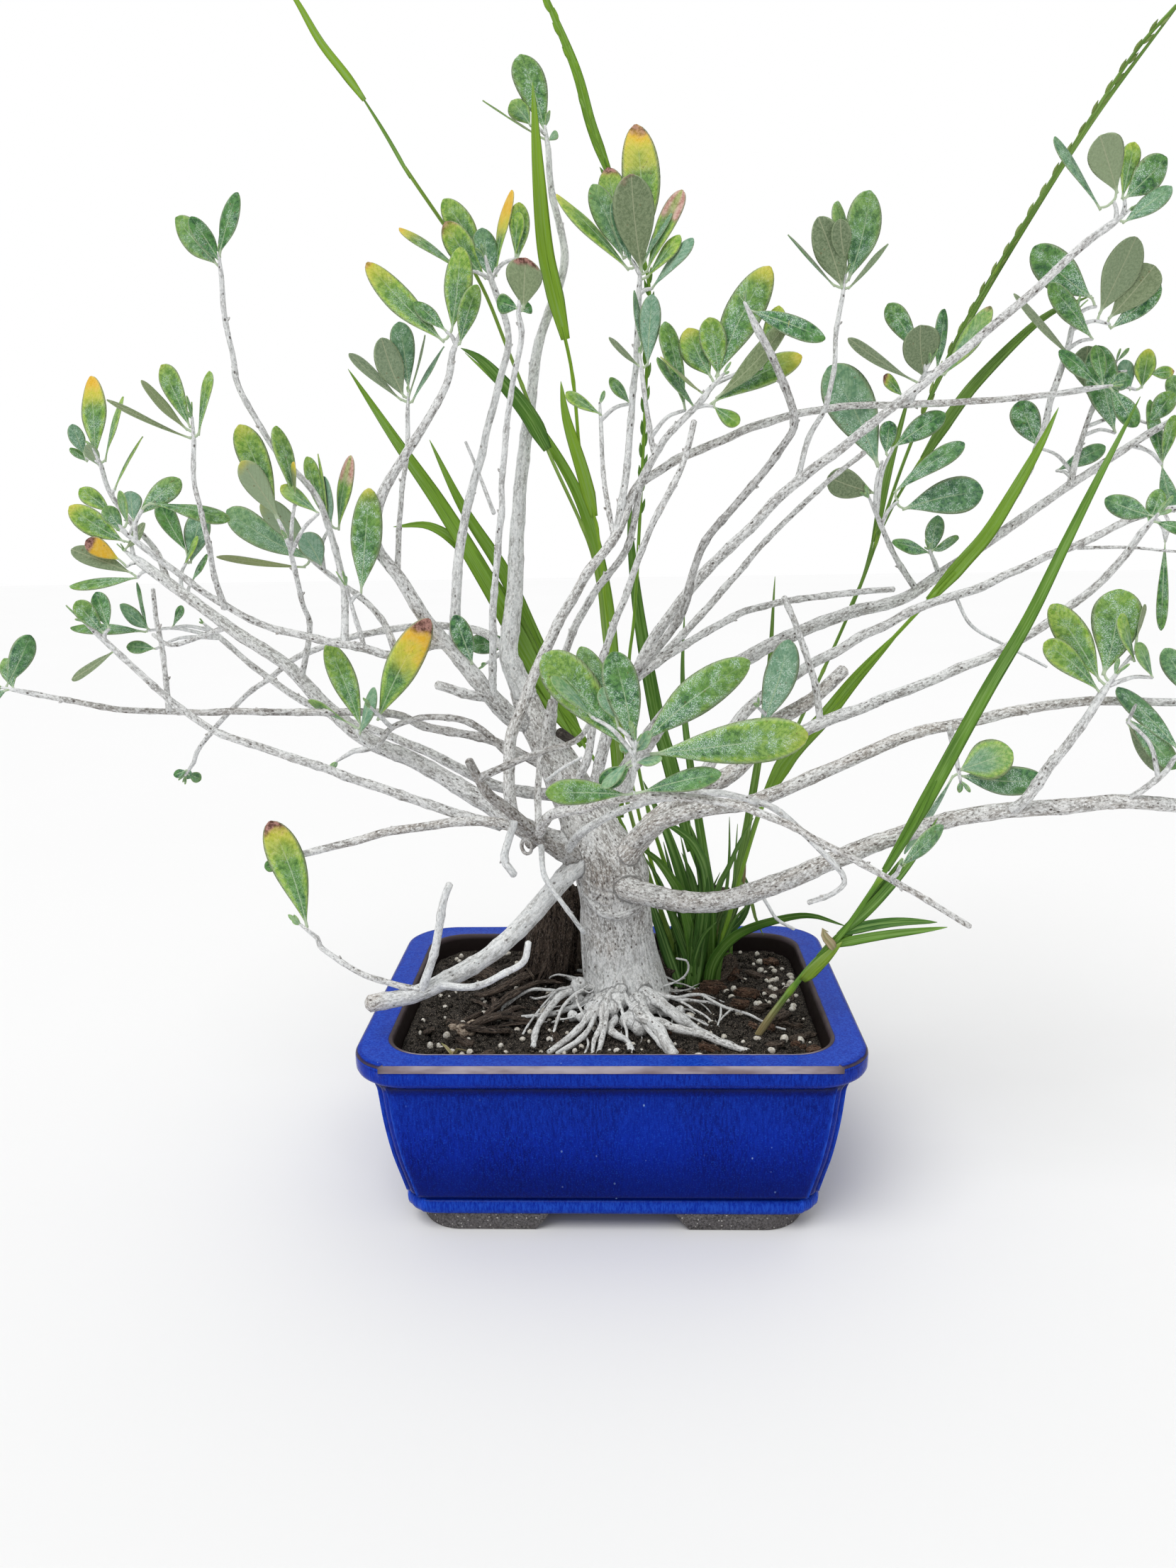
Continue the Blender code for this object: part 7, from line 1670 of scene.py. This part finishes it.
def make_bowl(glaze):
    """The glazed bowl with its thick rim and its drain holes."""
    rings = []
    # The foot band's roll is painted paler where it bulges furthest: partly thin glaze, partly painted
    # highlight.
    for turn in np.radians(np.linspace(-90.0, 90.0, 9)):
        inset = 3.0 * (1.0 - math.cos(turn))
        ring = pot_ring(170.4 - inset, 140.2 - inset, BODY_TURN + 4.0 - inset / 2,
                        11.1 + 3.1 * math.sin(turn), 0.25)
        rings.append((ring, (0.0, 0.75 * math.cos(turn) + 0.1, 0.0)))
    # Where the bowl meets its foot band the glaze is painted dark: partly glaze pooling in the joint, partly
    # painted shade.
    rings += [(pot_ring(168.4, 138.3, BODY_TURN + 1.0, 14.9, 0.6), (0, 0.1, 0.75)),
              (pot_ring(169.4, 139.4, BODY_TURN, 15.9, PANEL_STEP), (0, 0.1, 0.45))]
    for z, length, depth in curve_points(BODY_RINGS, 3.6):
        # The body is painted paler towards its top: painted light from above.
        thin = 0.2 * smoothstep(30.0, 60.0, z)
        rings.append((pot_ring(length, depth, BODY_TURN, z, PANEL_STEP), (0, thin, 0.0)))
    _, top_length, top_depth = BODY_RINGS[-1]
    for z, grow, pool_and_shade in COVE:
        share = grow / 8.0
        corner = BODY_TURN + (RIM_TURN - 1.5 - BODY_TURN) * share**2
        ring = pot_ring(top_length + grow, top_depth + grow * 0.8, corner, z, PANEL_STEP * (1.0 - share))
        rings.append((ring, (0, 0.0, pool_and_shade)))
    rings += [(rim_ring(z, inset), value) for z, inset, value in RIM_SIDE]
    edge_start = len(rings)
    rings += [(rim_ring(75.7, 0.02), (0.3, 0.3, 0.3))]
    for turn in np.radians([0.0, 22.5, 45.0, 67.5, 90.0]):
        ring = rim_ring(EDGE_START + EDGE_ROUND * math.sin(turn), 0.05 + EDGE_ROUND * (1.0 - math.cos(turn)))
        rings.append((ring, (1.0, 0.5, 0.0)))
    edge_end = len(rings)
    rings += [(rim_ring(z, inset), value) for z, inset, value in RIM_TOP]
    for turn in np.radians([0.0, 35.0, 65.0, 90.0]):
        rings.append((rim_ring(76.8 + 1.2 * math.cos(turn), 12.3 + 1.2 * math.sin(turn)), (0.85, 0.3, 0.2)))
    for z, bare in ((74.5, 0.75), (72.0, 0.9), (66.0, 1.0), (FLOOR_TOP, 1.0)):
        length, depth, corner = inner_size(z)
        rings.append((pot_ring(length, depth, corner, z), (bare, 0.0, 0.3)))
    shape = Shape()
    points = np.concatenate([ring for ring, _ in rings])
    values = np.repeat([value for _, value in rings], len(rings[0][0]), axis=0).astype(float)
    # The rim's rounded upper edge is painted with bare clay, a band on the front and a thin line elsewhere:
    # partly clay showing through thin glaze, partly painted highlight.
    rim = slice(edge_start * len(CORNER_EDGES), edge_end * len(CORNER_EDGES))
    across = points[rim, 1].reshape(-1, len(CORNER_EDGES))
    front = smoothstep(1.2, 0.4, across - across.min(axis=1)[:, None]).ravel()
    line = 0.66 * np.sin(math.pi * np.clip((points[rim, 2] - EDGE_START) / EDGE_ROUND, 0.0, 1.0))
    values[rim, 0] = values[rim, 0] * front + line * (1.0 - front)
    body = smoothstep(9.0, 12.0, points[:, 2]) * smoothstep(68.0, 62.0, points[:, 2])
    # Along the panels' edges the glaze is painted paler and less dark: partly glaze run thin on the creases,
    # partly painted highlight.
    values[:, 1] += 0.95 * np.tile(CORNER_EDGES, len(rings)) * body
    values[:, 2] *= 1.0 - 0.8 * np.tile(CORNER_EDGES, len(rings)) * body
    shape.add(points, grid_faces(len(rings), len(rings[0][0])), glaze=values)
    drains = [prism(side * DRAIN_X, 0.0, DRAIN_RADIUS, 2.0, 20.0, 32) for side in (-1, 1)]
    mesh = cut(shape.mesh("pot_raw"), drains)
    nearest = [np.linalg.norm(points - point, axis=1).argmin() for point in read_vectors(mesh, "co") / MM]
    set_value(mesh, "glaze", values[nearest])
    make_piece("glazed_bowl", mesh, glaze, ["pot"], POT_CREASE)


def make_feet(clay):
    """The four bare feet under the bowl: a low ring that a gap on each side cuts through."""
    shape = Shape()
    rings = [pot_ring(FOOT_LENGTH - 2 * inset, FOOT_DEPTH - 2 * inset, FOOT_CORNER - inset, z)
             for z, inset in ((0.0, 0.9), (0.25, 0.35), (0.9, 0.0), (5.0, -0.6), (8.8, -0.8))]
    shape.add(np.concatenate(rings), grid_faces(len(rings), len(rings[0])))
    under = Shape()
    rings = [pot_ring(FOOT_LENGTH - 2 * FOOT_WIDTH, FOOT_DEPTH - 2 * FOOT_WIDTH, FOOT_CORNER - 6.0, z)
             for z in (-1.0, 10.0)]
    under.add(np.concatenate(rings), grid_faces(2, len(rings[0])))
    cutters = [under.mesh("under")]
    for gap, reach, along_x in ((FRONT_FOOT_GAP, FOOT_DEPTH, True), (SIDE_FOOT_GAP, FOOT_LENGTH, False)):
        slope = [(gap / 2 + back, z) for back, z in FOOT_SLOPE]
        outline = [(-u, z) for u, z in slope[::-1]] + slope
        far = reach / 2 + 5.0
        rows = [[(u, side, z) if along_x else (side, u, z) for u, z in outline] for side in (-far, far)]
        if along_x:
            rows = rows[::-1]
        wedge = Shape()
        wedge.add(np.array(rows).reshape(-1, 3), grid_faces(2, len(outline)))
        cutters.append(wedge.mesh("foot_gap"))
    make_piece("clay_feet", cut(shape.mesh("feet_raw"), cutters), clay, ["pot"], POT_CREASE)


def prism(x, y, radius, bottom, top, sides):
    """An upright bar with many flat sides, to cut a hole with."""
    shape = Shape()
    turn = np.arange(sides) * 2.0 * math.pi / sides
    ring = np.stack([x + radius * np.cos(turn), y + radius * np.sin(turn), turn * 0.0], axis=1)
    shape.add(np.concatenate([ring + (0, 0, bottom), ring + (0, 0, top)]), grid_faces(2, sides))
    return shape.mesh("prism")


def cut(mesh, cutters):
    """The mesh with each cutter taken out of it."""
    for cutter in cutters:
        holder = add_object("cutter", cutter)
        mesh = after_modifier(mesh, "BOOLEAN", operation="DIFFERENCE", solver="EXACT", object=holder)
        bpy.data.objects.remove(holder, do_unlink=True)
    return mesh


def lump_points(level):
    """Points and faces of a small ball."""
    tall = 0.5 * (1.0 + math.sqrt(5.0))
    points = [(-1, tall, 0), (1, tall, 0), (-1, -tall, 0), (1, -tall, 0), (0, -1, tall), (0, 1, tall),
              (0, -1, -tall), (0, 1, -tall), (tall, 0, -1), (tall, 0, 1), (-tall, 0, -1), (-tall, 0, 1)]
    faces = [(0, 11, 5), (0, 5, 1), (0, 1, 7), (0, 7, 10), (0, 10, 11), (1, 5, 9), (5, 11, 4),
             (11, 10, 2), (10, 7, 6), (7, 1, 8), (3, 9, 4), (3, 4, 2), (3, 2, 6), (3, 6, 8), (3, 8, 9),
             (4, 9, 5), (2, 4, 11), (6, 2, 10), (8, 6, 7), (9, 8, 1)]
    for _ in range(level):
        middles, finer = {}, []
        for a, b, c in faces:
            new = []
            for pair in ((a, b), (b, c), (c, a)):
                key = tuple(sorted(pair))
                if key not in middles:
                    middles[key] = len(points)
                    points.append(tuple((np.array(points[pair[0]]) + points[pair[1]]) / 2.0))
                new.append(middles[key])
            finer += [(a, new[0], new[2]), (b, new[1], new[0]), (c, new[2], new[1]), tuple(new)]
        faces = finer
    points = np.array(points, float)
    return points / np.linalg.norm(points, axis=1)[:, None], [list(face) for face in faces]


def in_pot(x, y, margin):
    """Whether a place lies inside the pot's mouth."""
    length, depth, corner = inner_size(SOIL_EDGE)
    u, v = abs(x) - (length / 2 - corner), abs(y) - (depth / 2 - corner)
    return math.hypot(max(u, 0.0), max(v, 0.0)) < corner - margin and max(u, v) < corner - margin


def add_lumps(shape, ball, count, sizes, rng, sink, rough):
    """Crumbs or grit strewn over the soil; clear of the trunk, a little sunk in."""
    points, faces = ball
    for _ in range(count):
        x, y = rng.uniform(-90.0, 90.0), rng.uniform(-70.0, 70.0)
        size = rng.uniform(*sizes) * rng.uniform(0.6, 1.0)
        if not in_pot(x, y, 1.2 + size) or math.hypot(x - TRUNK_X, y - TRUNK_Y) < 17.0:
            continue
        stretch = rng.uniform(0.65, 1.15, 3)
        bumps = 1.0 + rough * noise(points * 3.0 + rng.uniform(0.0, 300.0), 1.6)
        turn = rng.uniform(0.0, 6.3)
        body = points * bumps[:, None] * stretch * size / 2.0
        spun = np.column_stack([body[:, 0] * math.cos(turn) - body[:, 1] * math.sin(turn),
                                body[:, 0] * math.sin(turn) + body[:, 1] * math.cos(turn), body[:, 2]])
        place = np.array([x, y, ground_height(x, y) + size * sink])
        shape.add(spun + place, faces, bark=spun + place)


def ground_height(x, y):
    """Height of the rough soil."""
    place = np.column_stack([np.atleast_1d(x), np.atleast_1d(y), np.atleast_1d(x) * 0.0])
    away = np.hypot(place[:, 0] - TRUNK_X, place[:, 1] - TRUNK_Y)
    smooth = SOIL_EDGE + SOIL_MOUND * np.exp(-((away / 55.0) ** 2))
    height = smooth + 1.1 * noise(place, 17.0, 21) + 0.55 * layered(place, 4.4, 22)
    return height if len(height) > 1 else float(height[0])


def add_chip(shape, centre, size, turns, rng):
    """A torn flake of bark: a flat, fibrous, ragged block."""
    points, faces = BALL_FINE
    box = np.sign(points) * np.abs(points) ** 0.45
    box = box / np.abs(box).max()
    fibre = noise(box * (0.6, 6.0, 6.0) + rng.uniform(0.0, 300.0), 1.0)
    body = box * (1.0 + 0.22 * fibre[:, None] * (0.5, 1.0, 1.4)) * np.array(size) / 2.0
    body[:, 1] += 0.1 * size[1] * np.sin(body[:, 0] / size[0] * 4.0 + rng.uniform(0.0, 6.0))
    place = body.copy()
    for axis, angle in enumerate(turns):
        a, b = (axis + 1) % 3, (axis + 2) % 3
        cos, sin = math.cos(math.radians(angle)), math.sin(math.radians(angle))
        place[:, a], place[:, b] = (place[:, a] * cos - place[:, b] * sin,
                                    place[:, a] * sin + place[:, b] * cos)
    shape.add(place + np.array(centre), faces, bark=body * (0.25, 1.0, 1.0) + rng.uniform(0.0, 300.0))


BALL, BALL_MIDDLE, BALL_FINE = lump_points(0), lump_points(1), lump_points(3)
# Larger flakes of bark: centre, size and turns in degrees round x, y and z.
FLAKES = [
    ((-26, 28, 92), (46, 20, 10), (0, -82, 12)), ((-33, 25, 88), (46, 9, 7), (6, -80, -16)),
    ((-20, 34, 90), (48, 14, 9), (0, -86, 60)), ((-38, 30, 84), (34, 8, 6), (0, -74, 24)),
    ((-30, 20, 80), (24, 7, 5), (10, -64, 10)), ((50, 30, 74), (20, 13, 8), (10, -20, 50)),
    ((51, 58, 92), (12, 8, 26), (0, 8, 10)), ((25, 22, 76), (16, 12, 7), (0, 10, 70)),
    ((-62, 30, 72), (22, 10, 5), (0, 10, -30)), ((72, -20, 72), (15, 7, 4), (0, 6, 60)),
]


# Reddish pieces of bark beside the trunk: x, y, size and turns.
BROWN_CHIPS = [
    (46, 12, (13, 7, 6), (0, 14, 30)), (57, -5, (8, 5, 4), (10, 0, -20)), (55, 29, (10, 7, 5), (0, -12, 60)),
    (33, 29, (9, 6, 5), (0, 0, 100)), (61, 6, (12, 5, 4), (0, 10, 140)), (38, 4, (8, 5, 4), (14, 0, 70)),
]
# Thin torn strips of bark, some of them standing: widest half width and route.
STRIPS = [
    (3.4, [(-29, 27, 75), (-38, 18, 77), (-47, 8, 76), (-56, 2, 74), (-63, 5, 72)]),
    (2.4, [(-22, 9, 76), (-31, 9, 77), (-39, 5, 76), (-46, -4, 75), (-52, -15, 74), (-57, -24, 71.5)]),
    (2.2, [(-37, -12, 73), (-43, -15, 74), (-51, -22, 72)]),
    (1.6, [(-56, 3, 72), (-52, -6, 74), (-53, -17, 72)]),
    (1.4, [(-64, 0, 72), (-58, -7, 73), (-52, -13, 72)]),
    (1.8, [(-34, -25, 71.5), (-44, -28, 72.5), (-51, -29, 71)]),
    (3.6, [(-62, -31, 72), (-54, -25, 73.5), (-45, -22, 74), (-34, -24, 72)]),
    (2.6, [(-68, -24, 71.5), (-56, -33, 72.5), (-40, -34, 71.5)]),
    (1.3, [(-31, 22, 72), (-30, 21, 86), (-27, 22, 100), (-26, 24, 108)]),
    (1.2, [(-36, 23, 73), (-37, 22, 84), (-34, 23, 97)]),
    (1.5, [(-24, 24, 74), (-22, 24, 88), (-23, 24, 102)]),
    (1.1, [(-27, 21, 78), (-25, 20, 92), (-22, 22, 104)]),
    (1.2, [(-41, 26, 74), (-39, 17, 80), (-36, 14, 75)]), (1.6, [(-30, 16, 72), (-33, 9, 76), (-42, 10, 74)]),
    (1.2, [(50, 43, 72.5), (56, 31, 73), (62, 20, 72)]), (1.4, [(30, 24, 73), (38, 30, 77), (44, 28, 73)]),
]


def add_strip(shape, half, route, rng):
    """A thin torn strip, rough along its length and drawn out at both ends."""
    path = smooth_path(route, 2.0, 1.5)
    part = np.linspace(0.0, 1.0, len(path))
    wide = half * (0.25 + 0.75 * np.sin(math.pi * part) ** 0.6) * (1.0 + 0.3 * noise(path, 3.0, 41))
    hold = Shape()
    add_tube(hold, path, wide, 12, rng.uniform(0.0, 300.0))
    points = np.concatenate(hold.points)
    middle = np.repeat(path[np.concatenate([[0], np.arange(len(path)), [len(path) - 1]])], 12, axis=0)
    flat = np.array([1.0, 1.0, 0.3]) if abs(path[-1, 2] - path[0, 2]) < 12.0 else np.array([1.0, 0.35, 1.0])
    points = middle + (points - middle) * flat
    bark = np.concatenate(hold.values["bark"]) * (1.0, 1.0, 0.16)
    points += 0.3 * half * noise(bark * 1.5, 0.7, 43)[:, None] * flat
    shape.add(points, hold.faces, bark=bark)


# Materials of what lies in the pot: dark and light colour, size of the grain, roughness, flecks and relief.
GROUNDS = {
    "dark_soil": ((0.0016, 0.0014, 0.0013), (0.056, 0.049, 0.042), 1.8, 0.95, (0.30, 0.25, 0.20), 0.5),
    "white_grit": ((0.55, 0.51, 0.43), (0.92, 0.90, 0.84), 1.1, 0.85, (0.30, 0.23, 0.16), 0.2),
    "bark_flake": ((0.006, 0.0045, 0.004), (0.105, 0.078, 0.060), 1.0, 0.9, (0.30, 0.25, 0.21), 0.6),
    "dried_lump": ((0.16, 0.11, 0.075), (0.66, 0.56, 0.45), 1.0, 0.85, (0.12, 0.07, 0.04), 0.3),
    "brown_chip": ((0.010, 0.006, 0.004), (0.140, 0.078, 0.052), 1.1, 0.9, (0.34, 0.25, 0.18), 0.6),
    "moss": ((0.015, 0.050, 0.008), (0.20, 0.42, 0.20), 1.2, 0.9, (0.60, 0.72, 0.52), 0.6),
}
# The parts of the dried lump: x, y and size.
DRIED_LUMP = ((-68, -27, 4.5), (-64, -29, 5.0), (-63, -33, 4.6), (-60, -32, 4.0), (-59, -26, 6.4),
              (-56, -29, 4.0))
# How many crumbs, grains of grit, grains in the heap at the right, loose flakes and loose chips there are.
CRUMBS, GRAINS, HEAPED_GRAINS, LOOSE_FLAKES, LOOSE_CHIPS = 3600, 300, 34, 46, 22
# How far the soil stays clear of the pot's walls in all, and how far apart its rim's points are.
SOIL_CLEAR, SOIL_STEP = 0.9, 2.6


def add_pebble(shape, ball, place, size, rough, grain, stretch, rise):
    """One small lump that lies on the soil."""
    points, faces = ball
    x, y = place
    body = points * (1.0 + rough * noise(points * 3.0 + x, grain))[:, None] * size / 2.0
    centre = np.array([x, y, ground_height(x, y) + size * rise])
    shape.add(body * stretch + centre, faces, bark=body + centre)


def strew_chips(shape, count, spans, margin, clear, sizes, rise, rng):
    """Chips strewn over the soil, clear of the pot's wall and of the trunk."""
    for _ in range(count):
        x, y = [rng.uniform(*span) for span in spans]
        if in_pot(x, y, margin) and math.hypot(x - TRUNK_X, y - TRUNK_Y) > clear:
            size = [rng.uniform(*span) for span in sizes]
            turns = (rng.uniform(-20, 20), rng.uniform(-20, 20), rng.uniform(0, 180))
            add_chip(shape, (x, y, ground_height(x, y) + rise), size, turns, rng)


def soil_ring(height, spacing):
    """The soil's outline at one height of the pot's inside, as points an even distance apart."""
    length, depth, corner = inner_size(height)
    ring = pot_ring(length - SOIL_CLEAR, depth - SOIL_CLEAR, corner - 0.4, 0.0)
    return even_points(np.concatenate([ring, ring[:1]]), spacing)


def add_bed(shape, rng):
    """The soil from the pot's floor to its mounded top, with its crumbs."""
    edge = soil_ring(SOIL_EDGE, SOIL_STEP)[:-1]
    lowest = soil_ring(FLOOR_TOP + GAP, SOIL_STEP * inner_size(FLOOR_TOP + GAP)[0] / inner_size(SOIL_EDGE)[0])
    lowest = lowest[np.linspace(0, len(lowest) - 1, len(edge)).astype(int)]
    rows = [lowest + (0.0, 0.0, FLOOR_TOP + GAP)]
    for share in np.linspace(1.0, 0.03, 44):
        ring = edge * (share, share, 0.0)
        ring[:, 2] = ground_height(ring[:, 0], ring[:, 1])
        rows.append(ring)
    points = np.concatenate(rows)
    shape.add(points, grid_faces(len(rows), len(edge)), bark=points)
    add_lumps(shape, BALL, CRUMBS, (1.2, 4.4), rng, 0.12, 0.35)


def add_grit(shape, rng):
    """White perlite strewn over the soil, thicker at the right."""
    add_lumps(shape, BALL_MIDDLE, GRAINS, (1.8, 4.3), rng, 0.22, 0.16)
    for _ in range(HEAPED_GRAINS):
        x, y = rng.normal(83.0, 8.0), rng.normal(22.0, 14.0)
        if in_pot(x, y, 2.5):
            add_pebble(shape, BALL_MIDDLE, (x, y), rng.uniform(2.0, 4.2), 0.14, 1.6, (1.0, 0.8, 0.8), 0.3)


def add_flakes(shape, rng):
    """Flakes and torn strips of bark."""
    for centre, size, turns in FLAKES:
        add_chip(shape, centre, size, turns, rng)
    for half, route in STRIPS:
        add_strip(shape, half, route, rng)
    sizes = ((5.0, 15.0), (2.0, 5.0), (1.0, 2.4))
    strew_chips(shape, LOOSE_FLAKES, ((-86.0, 86.0), (-64.0, 64.0)), 5.0, 24.0, sizes, 1.0, rng)


def add_brown_chips(shape, rng):
    """Reddish pieces of bark, most of them at the right."""
    for x, y, size, turns in BROWN_CHIPS:
        add_chip(shape, (x, y, ground_height(x, y) + 0.3 * size[2]), size, turns, rng)
    sizes = ((4.0, 11.0), (2.0, 5.0), (1.2, 3.0))
    strew_chips(shape, LOOSE_CHIPS, ((20.0, 88.0), (-60.0, 62.0)), 4.0, 0.0, sizes, 0.8, rng)


def add_moss(shape, rng):
    """A patch of moss at the front left, of small lumps along a spiral."""
    for turn in range(16):
        angle, reach = turn * 2.4, 0.9 * math.sqrt(turn)
        place = (-41.0 + 1.3 * reach * math.cos(angle), -61.0 + 0.8 * reach * math.sin(angle))
        add_pebble(shape, BALL_MIDDLE, place, rng.uniform(1.6, 2.8), 0.3, 1.1, (1.0, 1.0, 1.0), 0.45)


def add_dried_lump(shape, _):
    """A pale dried lump left of the trunk."""
    for x, y, size in DRIED_LUMP:
        add_pebble(shape, BALL_FINE, (x, y), size, 0.22, 1.3, (1.1, 0.8, 0.7), 0.25)


# The pieces that lie in the pot, in the order of their random draws: name, material and builder.
GROUND_PIECES = (
    ("soil_bed", "dark_soil", add_bed), ("white_grit", "white_grit", add_grit),
    ("bark_flakes", "bark_flake", add_flakes), ("brown_chips", "brown_chip", add_brown_chips),
    ("moss", "moss", add_moss), ("dried_lump", "dried_lump", add_dried_lump),
)


def make_soil():
    """Dark soil and all that lies on it, each kind a piece of its own."""
    paints = {name: ground_material(name, *values) for name, values in GROUNDS.items()}
    rng = np.random.default_rng(SEED + 17)
    for name, paint, build in GROUND_PIECES:
        shape = Shape()
        build(shape, rng)
        make_piece(name, shape, paints[paint], ["soil"])


# Each lamp: its name, the way it shines, how far its light spreads in degrees, and its power.
LAMPS = (("key", (0.30, 0.42, -0.86), 42.0, 1.5), ("back", (-0.2, -0.55, -0.8), 60.0, 0.3))

def make_stage():
    """A plain pale floor, soft studio light and the camera at the photograph's place."""
    shape = Shape()
    shape.add(np.array([(-4000, -3000, 0), (4000, -3000, 0), (4000, 5000, 0), (-4000, 5000, 0)], float),
              [[0, 1, 2, 3]])
    floor = add_object("floor", shape.mesh("floor"))
    p = Paint("pale_floor", 0.9, 0.1)
    floor.data.materials.append(p.finish(Base_Color=p.mix(p.noise(p.place, 400.0), (0.88, 0.88, 0.88),
                                                          (0.90, 0.90, 0.90))))
    world = bpy.data.worlds.new("studio")
    world.use_nodes = True
    tree = world.node_tree
    seen = tree.nodes.new("ShaderNodeLightPath").outputs["Is Camera Ray"]
    share = tree.nodes.new("ShaderNodeMapRange")
    share.inputs["To Min"].default_value, share.inputs["To Max"].default_value = 0.62, 1.0
    tree.links.new(seen, share.inputs["Value"])
    tree.links.new(share.outputs[0], tree.nodes["Background"].inputs["Strength"])
    tree.nodes["Background"].inputs["Color"].default_value = (1.0, 1.0, 1.0, 1.0)
    bpy.context.scene.world = world
    for name, ahead, spread, power in LAMPS:
        lamp = bpy.data.lights.new(name, "SUN")
        lamp.angle, lamp.energy = math.radians(spread), power
        add_object(name, lamp).rotation_euler = Vector(ahead).to_track_quat("-Z", "Y").to_euler()
    camera = bpy.data.cameras.new("camera")
    camera.lens, camera.sensor_width, camera.sensor_fit = LENS, 36.0, "AUTO"
    camera.clip_start, camera.clip_end = 0.01, 50.0
    pitch, yaw, roll = (math.radians(v) for v in (CAMERA_PITCH, CAMERA_YAW, CAMERA_ROLL))
    ahead = np.array([math.sin(yaw) * math.cos(pitch), math.cos(yaw) * math.cos(pitch), -math.sin(pitch)])
    right = np.array([math.cos(yaw), -math.sin(yaw), 0.0])
    up = np.cross(right, ahead)
    right, up = (right * math.cos(roll) + up * math.sin(roll), up * math.cos(roll) - right * math.sin(roll))
    holder = add_object("camera", camera)
    holder.matrix_world = Matrix([(*row, place * MM) for row, place in
                                  zip(np.column_stack([right, up, -ahead]), CAMERA_PLACE)] + [(0, 0, 0, 1)])
    bpy.context.scene.camera = holder
    bpy.context.scene.view_settings.view_transform = "Standard"


make_stage()
bark_paint = bark_material()
make_trunk(bark_paint)
make_limbs(bark_paint)
make_roots(bark_paint)
make_leaves(leaf_material())
make_grass(grass_material())
make_bowl(glaze_material())
make_feet(clay_material())
make_soil()
